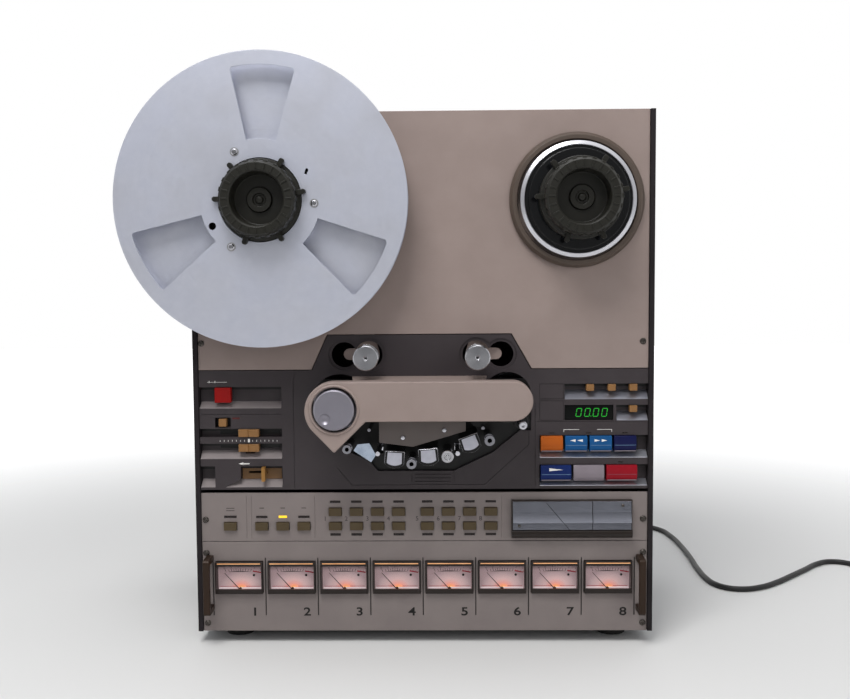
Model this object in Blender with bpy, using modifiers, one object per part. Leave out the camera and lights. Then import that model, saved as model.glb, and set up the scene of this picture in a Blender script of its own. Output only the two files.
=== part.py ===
"""An eight track reel to reel tape deck, built piece by piece.

The deck stands upright on four feet and faces -Y. Every piece is modelled in the deck's own frame: x is zero
in the middle of the cabinet, y is zero on the front of the panels and grows towards the rear, and z is zero
at the lower edge of the panels. One empty carries the whole deck, so that the row's origin lies on the floor
under the middle of its box.
"""
import math

import bmesh
import bpy
from mathutils import Matrix, Vector

# Driving dimensions, in metres
DECK_WIDTH = 0.436
DECK_HEIGHT = 0.494
CABINET_DEPTH = 0.236
FOOT_HEIGHT = 0.012
REEL_RADIUS = 0.13335
REEL_DROP = 0.0838
METER_PANEL_HEIGHT = 0.0873
CONTROL_PANEL_HEIGHT = 0.0472
TRANSPORT_PANEL_HEIGHT = 0.1143

# Clearances and small helpers shared by all pieces
SEAT_GAP = 0.0003
SEAM = 0.0006
CONTROL_SEAM = 0.0033
OVERRUN = 0.004
WELD = 0.00001
SINK = 0.0005

# Cabinet
SIDE_WALL = 0.0047
SIDE_PROUD = 0.002
PANEL_THICK = 0.003
PLATE_THICK = 0.004
MOTOR_PLATE_FRONT = 0.060
MOTOR_PLATE_THICK = 0.003
FOOT_RADIUS = 0.014
FOOT_INSET_X = 0.034
FOOT_INSET_Y = 0.036
FOOT_SIDES = 16

# Rear cover
COVER_THICK = 0.003
VENT_COUNT = 9
VENT_WIDTH = 0.110
VENT_HEIGHT = 0.004
VENT_PITCH = 0.010
VENT_DROP = 0.050
JACK_COUNT = 8
JACK_RADIUS = 0.0062
JACK_LENGTH = 0.007
JACK_PITCH = 0.024
JACK_ROW_LOW = 0.095
JACK_ROW_HIGH = 0.125
JACK_FIRST_X = -0.160
JACK_SIDES = 8

# Reel, tables and hub adapters
RING_MARGIN = 0.0057
BASE_RING_RADIUS = 0.0628
BASE_RING_SLOPE = 0.0028
BASE_RING_WALL = 0.0072
BASE_RING_HEIGHT = 0.009
BASE_RING_LIP = 0.004
TABLE_PLAY = 0.0022
TABLE_RING_WIDTH = 0.0029
TABLE_RING_FACE = 0.0181
TABLE_DISC_FACE = 0.0165
TABLE_REAR_FACE = 0.0105
TABLE_SEAT_INSET = 0.0074
TABLE_SEAT_FACE = 0.0232
TABLE_HUB_RADIUS = 0.011
TABLE_HUB_REACH = 0.010
SHAFT_RADIUS = 0.005
SHAFT_REACH = 0.075
SPINDLE_RADIUS = 0.004
SPINDLE_LENGTH = 0.0148
REEL_WIDTH = 0.0164
FLANGE_THICK = 0.0014
REEL_HUB_RADIUS = 0.0530
REEL_BORE = 0.0381
WINDOW_INNER = 0.0547
WINDOW_OUTER = 0.1215
WINDOW_HALF_DEG = 14.5
WINDOW_FIRST_DEG = 88
WINDOW_CORNER = 0.0035
WINDOW_TURN_DEG = 60
REEL_SIDES = 64
TABLE_SIDES = 30
ADAPTER_FACE_REACH = 0.0220
ADAPTER_RADIUS = 0.0352
ADAPTER_BODY_RADIUS = 0.0374
ADAPTER_CUP_RADIUS = 0.0240
ADAPTER_CUP_DEPTH = 0.0160
ADAPTER_CAP_RADIUS = 0.0120
ADAPTER_CAP_HEIGHT = 0.0040
ADAPTER_NOSE_RADIUS = 0.0070
ADAPTER_NOSE_HEIGHT = 0.0070
ADAPTER_CHAMFER = 0.0012
LUG_COUNT = 6
LUG_WIDTH = 0.0046
LUG_DEPTH = 0.0055
LUG_REACH = 0.0400
LUG_FIRST_DEG = 15
LUG_LIFT = 0.0006
ADAPTER_SIDES = 24

# Transport panel
BAY_THICK = 0.012
BAY_DEPTH = 0.009
MODULE_THICK = 0.004
MODULE_LEFT = 0.0880
MODULE_RIGHT = 0.1080
MODULE_LIFT = 0.004
NOTCH_RISE = 0.0332
NOTCH_BASE_LEFT = -0.1048
NOTCH_BASE_RIGHT = 0.1025
NOTCH_TOP_LEFT = -0.0897
NOTCH_TOP_RIGHT = 0.0836
LEFT_BAY_WIDTH = 0.0785
RIGHT_BAY_WIDTH = 0.1026
RIGHT_BAY_SHORT = 0.0790
RESET_BAY_WIDTH = 0.0300

# Controls in the left bay, heights above the lower edge of the transport panel
BUTTON_PLAY = 0.0004
STEM_PLAY = 0.0003
CAP_REAR = 0.0055
CAP_PROUD = 0.002
POWER_LOW = 0.0835
POWER_HIGH = 0.0987
POWER_LEDGE = 0.0053
POWER_INSET = 0.0229
POWER_WIDTH = 0.0156
POWER_STEM = 0.008
POWER_STEM_REACH = 0.030
SWITCH_INSET = 0.0223
SWITCH_RISE = 0.0647
SWITCH_SIZE = 0.0075
SWITCH_POCKET_WIDTH = 0.0150
SWITCH_POCKET_HEIGHT = 0.0096
SWITCH_STEM = 0.003
SWITCH_STEM_REACH = 0.020
SLIDER_INSET = 0.0469
SLIDER_WIDTH = 0.0196
SLIDER_HEIGHT = 0.0073
SLIDER_GROOVE = 0.0010
SLIDER_GROOVE_DEPTH = 0.0009
SLIDER_TRAVEL = 0.019
SLIDER_STEM_WIDTH = 0.005
SLIDER_STEM_HEIGHT = 0.0024
SLIDER_STEM_REACH = 0.020
FINE_RISE = 0.0547
COARSE_RISE = 0.0404
COARSE_LEDGE = 0.0067
LIFTER_LOW = 0.0087
LIFTER_HIGH = 0.0226
LIFTER_LEDGE = 0.0065
LEVER_INSET = 0.0608
LEVER_WIDTH = 0.0041
LEVER_PROUD = 0.006
LEVER_SINK = 0.002
LEVER_DROP = 0.0014
LEVER_TRAVEL = 0.014
LEVER_STEM_WIDTH = 0.003
LEVER_STEM_HEIGHT = 0.005
LEVER_STEM_REACH = 0.020
WEDGE_INSET = 0.0139
WEDGE_WIDTH = 0.0245
WEDGE_TOE = 0.0090
WEDGE_CUT = 0.0078

# Controls in the right bay
TAN_PITCH = 0.02035
TAN_INSET = 0.0142
TAN_WIDTH = 0.0073
TOP_ROW_LOW = 0.0931
TOP_ROW_HIGH = 0.1002
TOP_ROW_LEDGE = 0.0077
RESET_LOW = 0.0728
RESET_HIGH = 0.0799
RESET_LEDGE = 0.0077
TAN_STEM = 0.004
TAN_BAR_FRONT = 0.0140
TAN_BAR_THICK = 0.002
DISPLAY_INSET = 0.0330
DISPLAY_WIDTH = 0.0456
DISPLAY_LOW = 0.0657
DISPLAY_HEIGHT = 0.0140
DISPLAY_FACE = 0.0015
DISPLAY_REAR = 0.020
KEY_ROW_LOW = 0.0355
KEY_ROW_HIGH = 0.0512
KEY_ROW_LEDGE = 0.0059
PLAY_ROW_LOW = 0.0076
PLAY_ROW_HIGH = 0.0232
PLAY_ROW_LEDGE = 0.0048
KEY_START = 0.0010
KEY_WIDTH = 0.0210
KEY_PITCH = 0.0231
PLAY_WIDTH = 0.0290
PLAY_PITCH = 0.0311
KEY_PROUD = 0.003
KEY_RIDGE_PROUD = 0.0042
KEY_RIDGE_SHARE = 0.42
KEY_BEVEL = 0.0004
KEY_STEM_WIDTH = 0.008
KEY_STEM_HEIGHT = 0.005
KEY_STEM_REACH = 0.030

# Tape path: heads, guides, rollers and the cover over them
HEAD_BASE_THICK = 0.003
HEAD_BASE_MARGIN = 0.006
HEAD_BASE_TOP_MARGIN = 0.0012
PATH_FRONT = 0.042
HEAD_FRONT = 0.0424
HEAD_WIDTH = 0.0180
HEAD_HEIGHT = 0.0160
HEAD_STEPS = 6
HEAD_BULGE = 0.0040
ERASE_X = -0.0255
ERASE_RISE = 0.0353
RECORD_X = 0.0057
RECORD_RISE = 0.0375
PLAYBACK_X = 0.0442
PLAYBACK_RISE = 0.0496
PLAYBACK_TURN_DEG = 20
GUIDE_SIDES = 12
GUIDE_LEFT_X = -0.0689
GUIDE_LEFT_RISE = 0.0452
GUIDE_LEFT_RADIUS = 0.0042
GUIDE_MIDDLE_X = -0.0099
GUIDE_MIDDLE_RISE = 0.0315
GUIDE_MIDDLE_RADIUS = 0.0046
GUIDE_CAPPED_X = 0.0230
GUIDE_CAPPED_RISE = 0.0383
GUIDE_CAPPED_RADIUS = 0.0058
GUIDE_RIGHT_X = 0.0616
GUIDE_RIGHT_RISE = 0.0528
GUIDE_RIGHT_RADIUS = 0.0048
SHIELD_FRONT = 0.036
SHIELD_THICK = 0.0015
SHIELD_LEFT = -0.0396
SHIELD_RIGHT = 0.0399
SHIELD_POINT_X = -0.0088
SHIELD_TOP = 0.0722
SHIELD_LEFT_LOW = 0.0505
SHIELD_POINT_LOW = 0.0465
SHIELD_RIGHT_LOW = 0.0609
STANDOFF_RADIUS = 0.0025
STANDOFF_LEFT_X = -0.0178
STANDOFF_LEFT_RISE = 0.0550
STANDOFF_RIGHT_X = 0.0202
STANDOFF_RIGHT_RISE = 0.0618
LIFT_PIN_RADIUS = 0.0023
LIFT_PIN_RISE = 0.0408
LIFT_PIN_LEFT_X = -0.0409
LIFT_PIN_RIGHT_X = 0.0324
LIFT_TRAVEL = 0.005
LIFT_BAR_THICK = 0.003
LIFT_BAR_HALF_HEIGHT = 0.0045
LIFT_BAR_END = 0.005
LIFT_PIN_FRONT = 0.040
PIN_SIDES = 10
COVER_RIGHT_X = 0.0820
COVER_LEFT_X = -0.0790
COVER_TOP_RISE = 0.1086
COVER_END_RADIUS = 0.0180
COVER_LOBE_RADIUS = 0.0263
COVER_TIP_RISE = 0.0444
COVER_ELBOW_X = -0.0504
COVER_FACE = 0.058
COVER_SIDE_REAR = 0.040
COVER_WALL = 0.0025
SKIRT_LEFT = -0.0669
SKIRT_RIGHT = 0.0604
SKIRT_DROP = 0.0002
POST_RADIUS = 0.004
POST_LEFT_X = -0.0300
POST_RIGHT_X = 0.0300
POST_DROP = 0.0180
KNOB_X = -0.0785
KNOB_DROP = 0.0249
KNOB_RADIUS = 0.0183
KNOB_FACE = 0.0620
KNOB_REAR = 0.0500
KNOB_HOLE = 0.0203
KNOB_LIP_RADIUS = 0.0228
KNOB_LIP_HEIGHT = 0.0015
KNOB_EDGE = 0.0010
IDLER_NECK_RADIUS = 0.006
IDLER_RADIUS = 0.0210
IDLER_FLANGE_RADIUS = 0.0225
IDLER_FRONT = 0.0395
IDLER_REAR = 0.0230
IDLER_FLANGE_THICK = 0.0014
IDLER_SHAFT_RADIUS = 0.004
PATH_SHAFT_REACH = 0.016
IDLER_SIDES = 28
OPENING_IDLER_RADIUS = 0.0275
OPENING_PINCH_RADIUS = 0.0230
OPENING_TOP_DROP = 0.0045
OPENING_LOW = 0.0175
OPENING_LEFT_STEP = 0.0177
OPENING_MIDDLE_STEP = 0.0097
OPENING_LEFT_X = -0.0511
OPENING_FLOOR_LEFT = -0.0433
OPENING_FLOOR_RIGHT = 0.0292
OPENING_RIGHT_X = 0.0664
OPENING_SHELF_RISE = 0.0560
OPENING_FAR_X = 0.1025
OPENING_PINCH_SHIFT = 0.0018
OPENING_PINCH_LIFT = 0.0017
OPENING_IDLER_END_DEG = 232
OPENING_STEPS = 9
CAPSTAN_X = 0.0918
CAPSTAN_RISE = 0.0668
CAPSTAN_RADIUS = 0.0040
CAPSTAN_SLEEVE = 0.0075
CAPSTAN_SLEEVE_FRONT = 0.0150
CAPSTAN_TIP = 0.0440
FLYWHEEL_RADIUS = 0.042
FLYWHEEL_FRONT = 0.044
FLYWHEEL_REAR = 0.054
CAPSTAN_SHAFT_REACH = 0.072
CAPSTAN_SIDES = 14
FLYWHEEL_SIDES = 28
PINCH_OFFSET = 0.0138
PINCH_LIFT = 0.0204
PINCH_RADIUS = 0.0190
PINCH_AXLE_RADIUS = 0.0025
PINCH_FRONT = 0.0380
PINCH_REAR = 0.0205
PINCH_ARM_LENGTH = 0.032
PINCH_ARM_THICK = 0.004
PINCH_ARM_WIDTH = 0.014
PINCH_SHAFT_RADIUS = 0.004
PINCH_SIDES = 24

# Tension arms behind their keyhole slots
ROLLER_X = 0.0508
ROLLER_RISE = 0.1288
ROLLER_CAP_RADIUS = 0.0115
ROLLER_BODY_RADIUS = 0.0085
ROLLER_FLANGE_RADIUS = 0.0110
ROLLER_FACE = 0.0440
ROLLER_CAP_REAR = 0.0400
ROLLER_REAR = 0.0190
ROLLER_FLANGE_THICK = 0.003
ROLLER_CHAMFER = 0.0012
ROLLER_SIDES = 22
ARM_PIN_RADIUS = 0.0025
ARM_PIN_TIP = 0.0405
ARM_LENGTH = 0.0465
ARM_SWING_DEG = 29
ARM_THICK = 0.003
ARM_HUB_RADIUS = 0.0080
ARM_EYE_RADIUS = 0.0100
ARM_EAR_RADIUS = 0.0055
ARM_EAR_REACH = 0.0190
ARM_SHAFT_RADIUS = 0.004
ARM_SHAFT_REACH = 0.0640
SLOT_OUTER_RADIUS = 0.0120
SLOT_INNER_RADIUS = 0.0130
SLOT_WAIST = 0.0110

# Motors and power supply
REEL_MOTOR_RADIUS = 0.045
REEL_MOTOR_LENGTH = 0.080
CAPSTAN_MOTOR_RADIUS = 0.030
CAPSTAN_MOTOR_LENGTH = 0.055
MOTOR_CAP_RADIUS_SHARE = 0.45
MOTOR_CAP_LENGTH = 0.012
MOTOR_BORE_EXTRA = 0.003
MOTOR_SIDES = 24
BOARD_LEFT = -0.150
BOARD_RIGHT = 0.060
BOARD_FRONT = 0.085
BOARD_REAR = 0.215
BOARD_THICK = 0.0020
BOARD_LIFT = 0.008
BOARD_INSET = 0.002
BOARD_FOOT = 0.008
TRANSFORMER_WIDTH = 0.070
TRANSFORMER_DEPTH = 0.060
TRANSFORMER_HEIGHT = 0.055
HEATSINK_WIDTH = 0.012
HEATSINK_HEIGHT = 0.035

# Control panel with its button bank and plate cover
SMALL_CAP_WIDTH = 0.0121
SMALL_CAP_HEIGHT = 0.0074
SMALL_CAP_PROUD = 0.003
BANK_FRONT = 0.0045
BANK_THICK = 0.0015
BANK_MARGIN = 0.002
TRACK_PITCH = 0.0202
TRACK_FIRST_X = -0.0845
TRACK_SECOND_X = 0.0035
TRACK_GROUP = 4
UPPER_CAP_RISE = 0.0283
LOWER_CAP_RISE = 0.0145
OUTPUT_FIRST_X = -0.1551
OUTPUT_COUNT = 3
REMOTE_X = -0.1853
BADGE_LEFT = 0.0836
BADGE_RIGHT = 0.1979
BADGE_LOW_RISE = 0.0034
BADGE_HEIGHT = 0.0363
BADGE_FRAME = 0.006
BADGE_LIP_SHARE = 0.16
BADGE_RIDGE_PROUD = 0.0095
BADGE_RIDGE_SHARE = 0.36
BADGE_MID_PROUD = 0.0072
BADGE_MID_SHARE = 0.60

# Meter bank and needles
METER_COUNT = 8
METER_MARGIN = 0.0110
METER_GAP = 0.0050
METER_HEIGHT = 0.0311
METER_LOW = 0.0371
METER_PROUD = 0.004
METER_REAR = 0.0245
METER_FRAME = 0.00125
METER_WINDOW_HEIGHT = 0.0223
METER_WINDOW_RISE = 0.0045
METER_LIP = 0.0022
METER_CAVITY_FLOOR = 0.0045
METER_CAVITY_RISE = 0.0011
METER_CAVITY_HEIGHT = 0.0270
METER_CENTRE_X = -0.001
RAIL_LOW = 0.046
RAIL_HEIGHT = 0.012
RAIL_FRONT = 0.0240
RAIL_THICK = 0.003
NEEDLE_PIVOT_RISE = 0.0032
NEEDLE_LENGTH = 0.0217
NEEDLE_WIDTH = 0.0008
NEEDLE_FRONT = 0.0006
NEEDLE_THICK = 0.0006
NEEDLE_HUB_RADIUS = 0.0016
NEEDLE_HUB_FRONT = -0.0002
NEEDLE_SHAFT_RADIUS = 0.0006
NEEDLE_SHAFT_REACH = 0.0090
NEEDLE_BORE_CLEARANCE = 0.0003
NEEDLE_REST_DEG = 42
NEEDLE_SIDES = 8

# Handles
HANDLE_INSET = 0.0077
HANDLE_WIDTH = 0.0064
HANDLE_LOW = 0.0205
HANDLE_HEIGHT = 0.0540
HANDLE_REACH = 0.022
HANDLE_BAR = 0.005
HANDLE_LEG = 0.0060
HANDLE_CORNER = 0.0035

# Mains cord, with its coil and plug
CORD_DIAMETER = 0.006
CORD_EXIT_X = 0.150
CORD_EXIT_Z = 0.055
CORD_STEP = 0.0175
FLOOR_LIFT = 0.0002
RELIEF_LENGTH = 0.035
RELIEF_BASE_RADIUS = 0.0065
RELIEF_TIP_RADIUS = 0.0042
RELIEF_SIDES = 12
COIL_X = 0.560
COIL_Y = 0.225
COIL_RADIUS = 0.033
COIL_PITCH = 0.0066
COIL_LAYER = 0.0066
COIL_LAYER_TURNS = 2
COIL_TOP_TURNS = 1.75
COIL_POINTS = 24
COIL_TAIL = 0.045
COIL_TAIL_STEPS = 6
ROUTE_SAMPLES = 12
PLUG_LENGTH = 0.038
PLUG_WIDTH = 0.024
PLUG_THICK = 0.0164
PLUG_NECK_WIDTH = 0.012
PLUG_NECK_SHARE = 0.3
PRONG_LENGTH = 0.017
PRONG_WIDTH = 0.0015
PRONG_HEIGHT = 0.0064
PRONG_SPREAD = 0.0127

# Where the mains cord runs between its exit and its coil, as x, y and height above the floor
CORD_ROUTE = [
    (0.150, 0.290, 0.0665), (0.1505, 0.308, 0.0630), (0.153, 0.328, 0.0510), (0.157, 0.348, 0.0330),
    (0.163, 0.368, 0.0150), (0.171, 0.386, 0.0060), (0.182, 0.403, 0.0032), (0.202, 0.425, 0.0032),
    (0.230, 0.448, 0.0032), (0.262, 0.463, 0.0032), (0.291, 0.462, 0.0032), (0.312, 0.442, 0.0032),
    (0.3205, 0.405, 0.0032), (0.3230, 0.355, 0.0032), (0.3222, 0.300, 0.0032), (0.3195, 0.245, 0.0032),
    (0.3200, 0.206, 0.0032), (0.3245, 0.182, 0.0032), (0.3355, 0.1675, 0.0032), (0.3510, 0.1635, 0.0032),
    (0.3720, 0.1705, 0.0032), (0.3940, 0.188, 0.0032), (0.4190, 0.214, 0.0032), (0.4440, 0.241, 0.0032),
    (0.4660, 0.265, 0.0032), (0.4850, 0.276, 0.0032), (0.5030, 0.270, 0.0032), (0.5120, 0.251, 0.0032),
    (0.5130, 0.230, 0.0032), (0.5165, 0.210, 0.0032), (0.5270, 0.193, 0.0032), (0.5390, 0.1865, 0.0032),
]

# Sizes and places worked out from those above
PANEL_HALF = DECK_WIDTH / 2 - SIDE_WALL - SEAT_GAP
BASE_RING_TOP_RADIUS = BASE_RING_RADIUS - BASE_RING_SLOPE
BASE_RING_BORE = BASE_RING_RADIUS - BASE_RING_WALL
TABLE_RADIUS = BASE_RING_BORE - TABLE_PLAY
TABLE_SEAT_RADIUS = TABLE_RADIUS - TABLE_SEAT_INSET
KNOB_RISE = COVER_TOP_RISE - KNOB_DROP
PINCH_X = CAPSTAN_X - PINCH_OFFSET
PINCH_RISE = CAPSTAN_RISE + PINCH_LIFT
OPENING_PINCH_X = PINCH_X + OPENING_PINCH_SHIFT
OPENING_PINCH_RISE = PINCH_RISE + OPENING_PINCH_LIFT
METER_PITCH = (2 * PANEL_HALF - 2 * METER_MARGIN) / METER_COUNT
METER_WIDTH = METER_PITCH - METER_GAP
METER_WINDOW_WIDTH = METER_WIDTH - 2 * METER_FRAME
WALL_FACE = DECK_WIDTH / 2 - SIDE_WALL
CONTROL_BASE = METER_PANEL_HEIGHT + SEAM
CONTROL_TOP = METER_PANEL_HEIGHT + CONTROL_PANEL_HEIGHT
TRANSPORT_BASE = CONTROL_TOP + CONTROL_SEAM
TRANSPORT_TOP = TRANSPORT_BASE + TRANSPORT_PANEL_HEIGHT
REEL_X = DECK_WIDTH / 2 - SIDE_WALL - BASE_RING_RADIUS - RING_MARGIN
REEL_Z = DECK_HEIGHT - REEL_DROP
REEL_REAR = TABLE_SEAT_FACE + SEAT_GAP
REEL_FRONT = REEL_REAR + REEL_WIDTH
ADAPTER_FACE = REEL_FRONT + ADAPTER_FACE_REACH
LEFT_BAY_EDGE = -PANEL_HALF
REAR_FACE = CABINET_DEPTH + SEAT_GAP + COVER_THICK + JACK_LENGTH
MOTOR_PLATE_REAR = MOTOR_PLATE_FRONT + MOTOR_PLATE_THICK
HEAD_BASE_FRONT = MODULE_THICK + SEAT_GAP
HEAD_BASE_REAR = HEAD_BASE_FRONT + HEAD_BASE_THICK
ARM_FRONT = HEAD_BASE_REAR + SEAT_GAP
COVER_TOP = TRANSPORT_BASE + COVER_TOP_RISE
ORIGIN_SHIFT_X = (REEL_X + REEL_RADIUS - DECK_WIDTH / 2) / 2
ORIGIN_SHIFT_Y = (KNOB_FACE - REAR_FACE) / 2

COLOURS = {
    "case_grey": ((0.075, 0.068, 0.066), 0.55, 0.0),
    "warm_beige": ((0.360, 0.290, 0.255), 0.50, 0.0),
    "panel_brown": ((0.105, 0.092, 0.090), 0.50, 0.0),
    "panel_grey": ((0.330, 0.300, 0.270), 0.45, 0.2),
    "reel_aluminium": ((0.780, 0.790, 0.820), 0.35, 1.0),
    "black_plastic": ((0.020, 0.018, 0.016), 0.45, 0.0),
    "black_rubber": ((0.012, 0.012, 0.012), 0.75, 0.0),
    "bright_steel": ((0.700, 0.700, 0.700), 0.20, 1.0),
    "knob_grey": ((0.300, 0.300, 0.320), 0.40, 0.6),
    "tan_plastic": ((0.330, 0.180, 0.060), 0.45, 0.0),
    "power_red": ((0.350, 0.006, 0.004), 0.40, 0.0),
    "edit_orange": ((0.620, 0.180, 0.030), 0.40, 0.0),
    "spool_blue": ((0.020, 0.200, 0.400), 0.40, 0.0),
    "pause_navy": ((0.010, 0.025, 0.150), 0.40, 0.0),
    "play_blue": ((0.010, 0.060, 0.190), 0.40, 0.0),
    "stop_grey": ((0.330, 0.290, 0.290), 0.45, 0.0),
    "record_crimson": ((0.450, 0.004, 0.025), 0.40, 0.0),
    "handle_brown": ((0.075, 0.045, 0.025), 0.45, 0.3),
    "meter_case": ((0.100, 0.080, 0.065), 0.45, 0.0),
    "needle_black": ((0.015, 0.012, 0.012), 0.50, 0.0),
    "display_black": ((0.010, 0.012, 0.010), 0.15, 0.0),
    "board_green": ((0.020, 0.110, 0.050), 0.50, 0.0),
    "motor_steel": ((0.450, 0.450, 0.460), 0.40, 1.0),
}


def clear_scene():
    """Remove every object, so that the script starts from nothing."""
    for old in list(bpy.data.objects):
        bpy.data.objects.remove(old, do_unlink=True)


clear_scene()
DECK = bpy.data.collections.new("reel_to_reel_deck")
TOOLS = bpy.data.collections.new("cutters")
bpy.context.scene.collection.children.link(DECK)
bpy.context.scene.collection.children.link(TOOLS)
CARRIER = bpy.data.objects.new("deck_origin", None)
DECK.objects.link(CARRIER)
CARRIER.location = (ORIGIN_SHIFT_X, ORIGIN_SHIFT_Y, FOOT_HEIGHT)


def material(name):
    """A Principled material from the colour table, made once."""
    if name in bpy.data.materials:
        return bpy.data.materials[name]
    colour, roughness, metallic = COLOURS[name]
    made = bpy.data.materials.new(name)
    made.use_nodes = True
    shader = made.node_tree.nodes["Principled BSDF"]
    shader.inputs["Base Color"].default_value = (*colour, 1.0)
    shader.inputs["Roughness"].default_value = roughness
    shader.inputs["Metallic"].default_value = metallic
    made.diffuse_color = (*colour, 1.0)
    return made


def new_piece(name, mesh):
    """A mesh object that hangs from the deck's origin."""
    piece = bpy.data.objects.new(name, mesh)
    DECK.objects.link(piece)
    piece.parent = CARRIER
    return piece


def dress(piece, finish, smooth=False):
    """Give a piece its material and, where it is round, smooth shading."""
    piece.data.materials.clear()
    piece.data.materials.append(material(finish))
    if smooth:
        piece.data.shade_smooth()
        piece.data.set_sharp_from_angle(angle=math.radians(35))
    return piece


def hang_on(piece, x, y, z):
    """Move a piece's origin to a point on its joint's axis, with the shape left where it is."""
    pivot = Vector((x, y, z))
    piece.data.transform(Matrix.Translation(-pivot))
    piece.location = piece.location + pivot
    return piece


def as_tool(piece):
    """Put a piece among the cutters, out of sight."""
    DECK.objects.unlink(piece)
    TOOLS.objects.link(piece)
    piece.hide_render = True
    piece.display_type = "WIRE"
    return piece


def combine(piece, tool, operation):
    """One Boolean between a piece and a tool."""
    change = piece.modifiers.new(operation.lower() + "_" + tool.name, "BOOLEAN")
    change.operation = operation
    change.solver = "EXACT"
    change.object = as_tool(tool)
    return piece


def cut(piece, tool):
    """Take a tool's shape out of a piece."""
    return combine(piece, tool, "DIFFERENCE")


def fuse(piece, tool):
    """Join a tool's shape to a piece."""
    return combine(piece, tool, "UNION")


def blocks(name, corner_pairs):
    """Boxes between pairs of opposite corners, as one mesh of separate shells."""
    shape = bmesh.new()
    for low, high in corner_pairs:
        size = [b - a for a, b in zip(low, high)]
        middle = [(a + b) / 2 for a, b in zip(low, high)]
        place = Matrix.Translation(middle) @ Matrix.Diagonal((*size, 1.0))
        bmesh.ops.create_cube(shape, size=1.0, matrix=place)
    mesh = bpy.data.meshes.new(name)
    shape.to_mesh(mesh)
    shape.free()
    return new_piece(name, mesh)


def block(name, low, high):
    """One box between two opposite corners."""
    return blocks(name, [(low, high)])


def rods(name, places, radius, front, rear, sides):
    """Round rods along y at several places of x and z, as one mesh of separate shells."""
    shape = bmesh.new()
    for x, z in places:
        turn = Matrix.Rotation(math.radians(90), 4, "X")
        place = Matrix.Translation((x, (front + rear) / 2, z)) @ turn
        bmesh.ops.create_cone(shape, cap_ends=True, segments=sides, radius1=radius, radius2=radius,
                              depth=rear - front, matrix=place)
    mesh = bpy.data.meshes.new(name)
    shape.to_mesh(mesh)
    shape.free()
    return new_piece(name, mesh)


def turned(name, profile, x, z, sides):
    """A shape turned about the y direction at x and z, from a profile of radius and y.

    The profile runs from the rear to the front down its outer side. A profile that doesn't start and end on
    the axis is closed into a ring.
    """
    shape = bmesh.new()
    points = [shape.verts.new((radius, y, 0)) for radius, y in profile]
    for a, b in zip(points, points[1:]):
        shape.edges.new((a, b))
    if profile[0][0] > 0 or profile[-1][0] > 0:
        shape.edges.new((points[-1], points[0]))
    mesh = bpy.data.meshes.new(name)
    shape.to_mesh(mesh)
    shape.free()
    piece = new_piece(name, mesh)
    piece.location = (x, 0, z)
    spin = piece.modifiers.new("turn", "SCREW")
    spin.axis = "Y"
    spin.steps = sides
    spin.render_steps = sides
    spin.use_merge_vertices = True
    spin.merge_threshold = WELD
    return piece


def extruded(name, outlines, thickness, frame):
    """A flat outline with a thickness, turned and placed by a matrix. Inner outlines are holes."""
    curve = bpy.data.curves.new(name, "CURVE")
    curve.dimensions = "2D"
    curve.fill_mode = "BOTH"
    curve.extrude = thickness / 2
    for outline in outlines:
        line = curve.splines.new("POLY")
        line.points.add(len(outline) - 1)
        for point, (u, v) in zip(line.points, outline):
            point.co = (u, v, 0, 1)
        line.use_cyclic_u = True
    drawn = bpy.data.objects.new(name, curve)
    TOOLS.objects.link(drawn)
    bpy.context.view_layer.update()
    mesh = bpy.data.meshes.new_from_object(drawn.evaluated_get(bpy.context.evaluated_depsgraph_get()))
    bpy.data.objects.remove(drawn, do_unlink=True)
    welded = bmesh.new()
    welded.from_mesh(mesh)
    bmesh.ops.remove_doubles(welded, verts=welded.verts, dist=WELD)
    bmesh.ops.recalc_face_normals(welded, faces=welded.faces)
    bmesh.ops.transform(welded, matrix=frame, verts=welded.verts)
    welded.to_mesh(mesh)
    welded.free()
    return new_piece(name, mesh)


def slab(name, outlines, front, rear):
    """Outlines in x and z with a thickness along y."""
    frame = Matrix.Translation((0, (front + rear) / 2, 0)) @ Matrix.Rotation(math.radians(90), 4, "X")
    return extruded(name, outlines, rear - front, frame)


def bar(name, outline, left, right):
    """An outline in y and z with a length along x."""
    frame = Matrix(((0, 0, 1, (left + right) / 2), (1, 0, 0, 0), (0, 1, 0, 0), (0, 0, 0, 1)))
    return extruded(name, [outline], right - left, frame)


def arc(x, z, radius, start, end, steps):
    """Points along an arc, from one angle to another in degrees."""
    angles = [math.radians(start + (end - start) * k / steps) for k in range(steps + 1)]
    return [(x + radius * math.cos(a), z + radius * math.sin(a)) for a in angles]


def circle(x, z, radius, steps):
    """Points round a full circle."""
    return arc(x, z, radius, 0, 360, steps)[:-1]


def rectangle(x, z, width, height):
    """The corners of a rectangle about its middle."""
    return [(x - width / 2, z - height / 2), (x + width / 2, z - height / 2),
            (x + width / 2, z + height / 2), (x - width / 2, z + height / 2)]


def inset(outline, distance):
    """An outline moved inwards by a distance, with the same number of corners. It runs anticlockwise."""
    moved = []
    for k, point in enumerate(outline):
        here = Vector(point)
        into = (here - Vector(outline[k - 1])).normalized()
        away = (Vector(outline[(k + 1) % len(outline)]) - here).normalized()
        side = Vector((-into.y - away.y, into.x + away.x)).normalized()
        stretch = side.dot(Vector((-into.y, into.x)))
        moved.append(tuple(here + side * (distance / stretch)))
    return moved


def rounded_corner(before, corner, after, radius, steps):
    """Points that round one corner of an outline off to a radius."""
    here = Vector(corner)
    to_before = (Vector(before) - here).normalized()
    to_after = (Vector(after) - here).normalized()
    half = to_before.angle(to_after) / 2
    start = here + to_before * (radius / math.tan(half))
    end = here + to_after * (radius / math.tan(half))
    bend = here + (to_before + to_after).normalized() * (radius / math.sin(half))
    return [tuple(bend + ((start - bend).lerp(end - bend, k / steps)).normalized() * radius)
            for k in range(steps + 1)]


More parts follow.
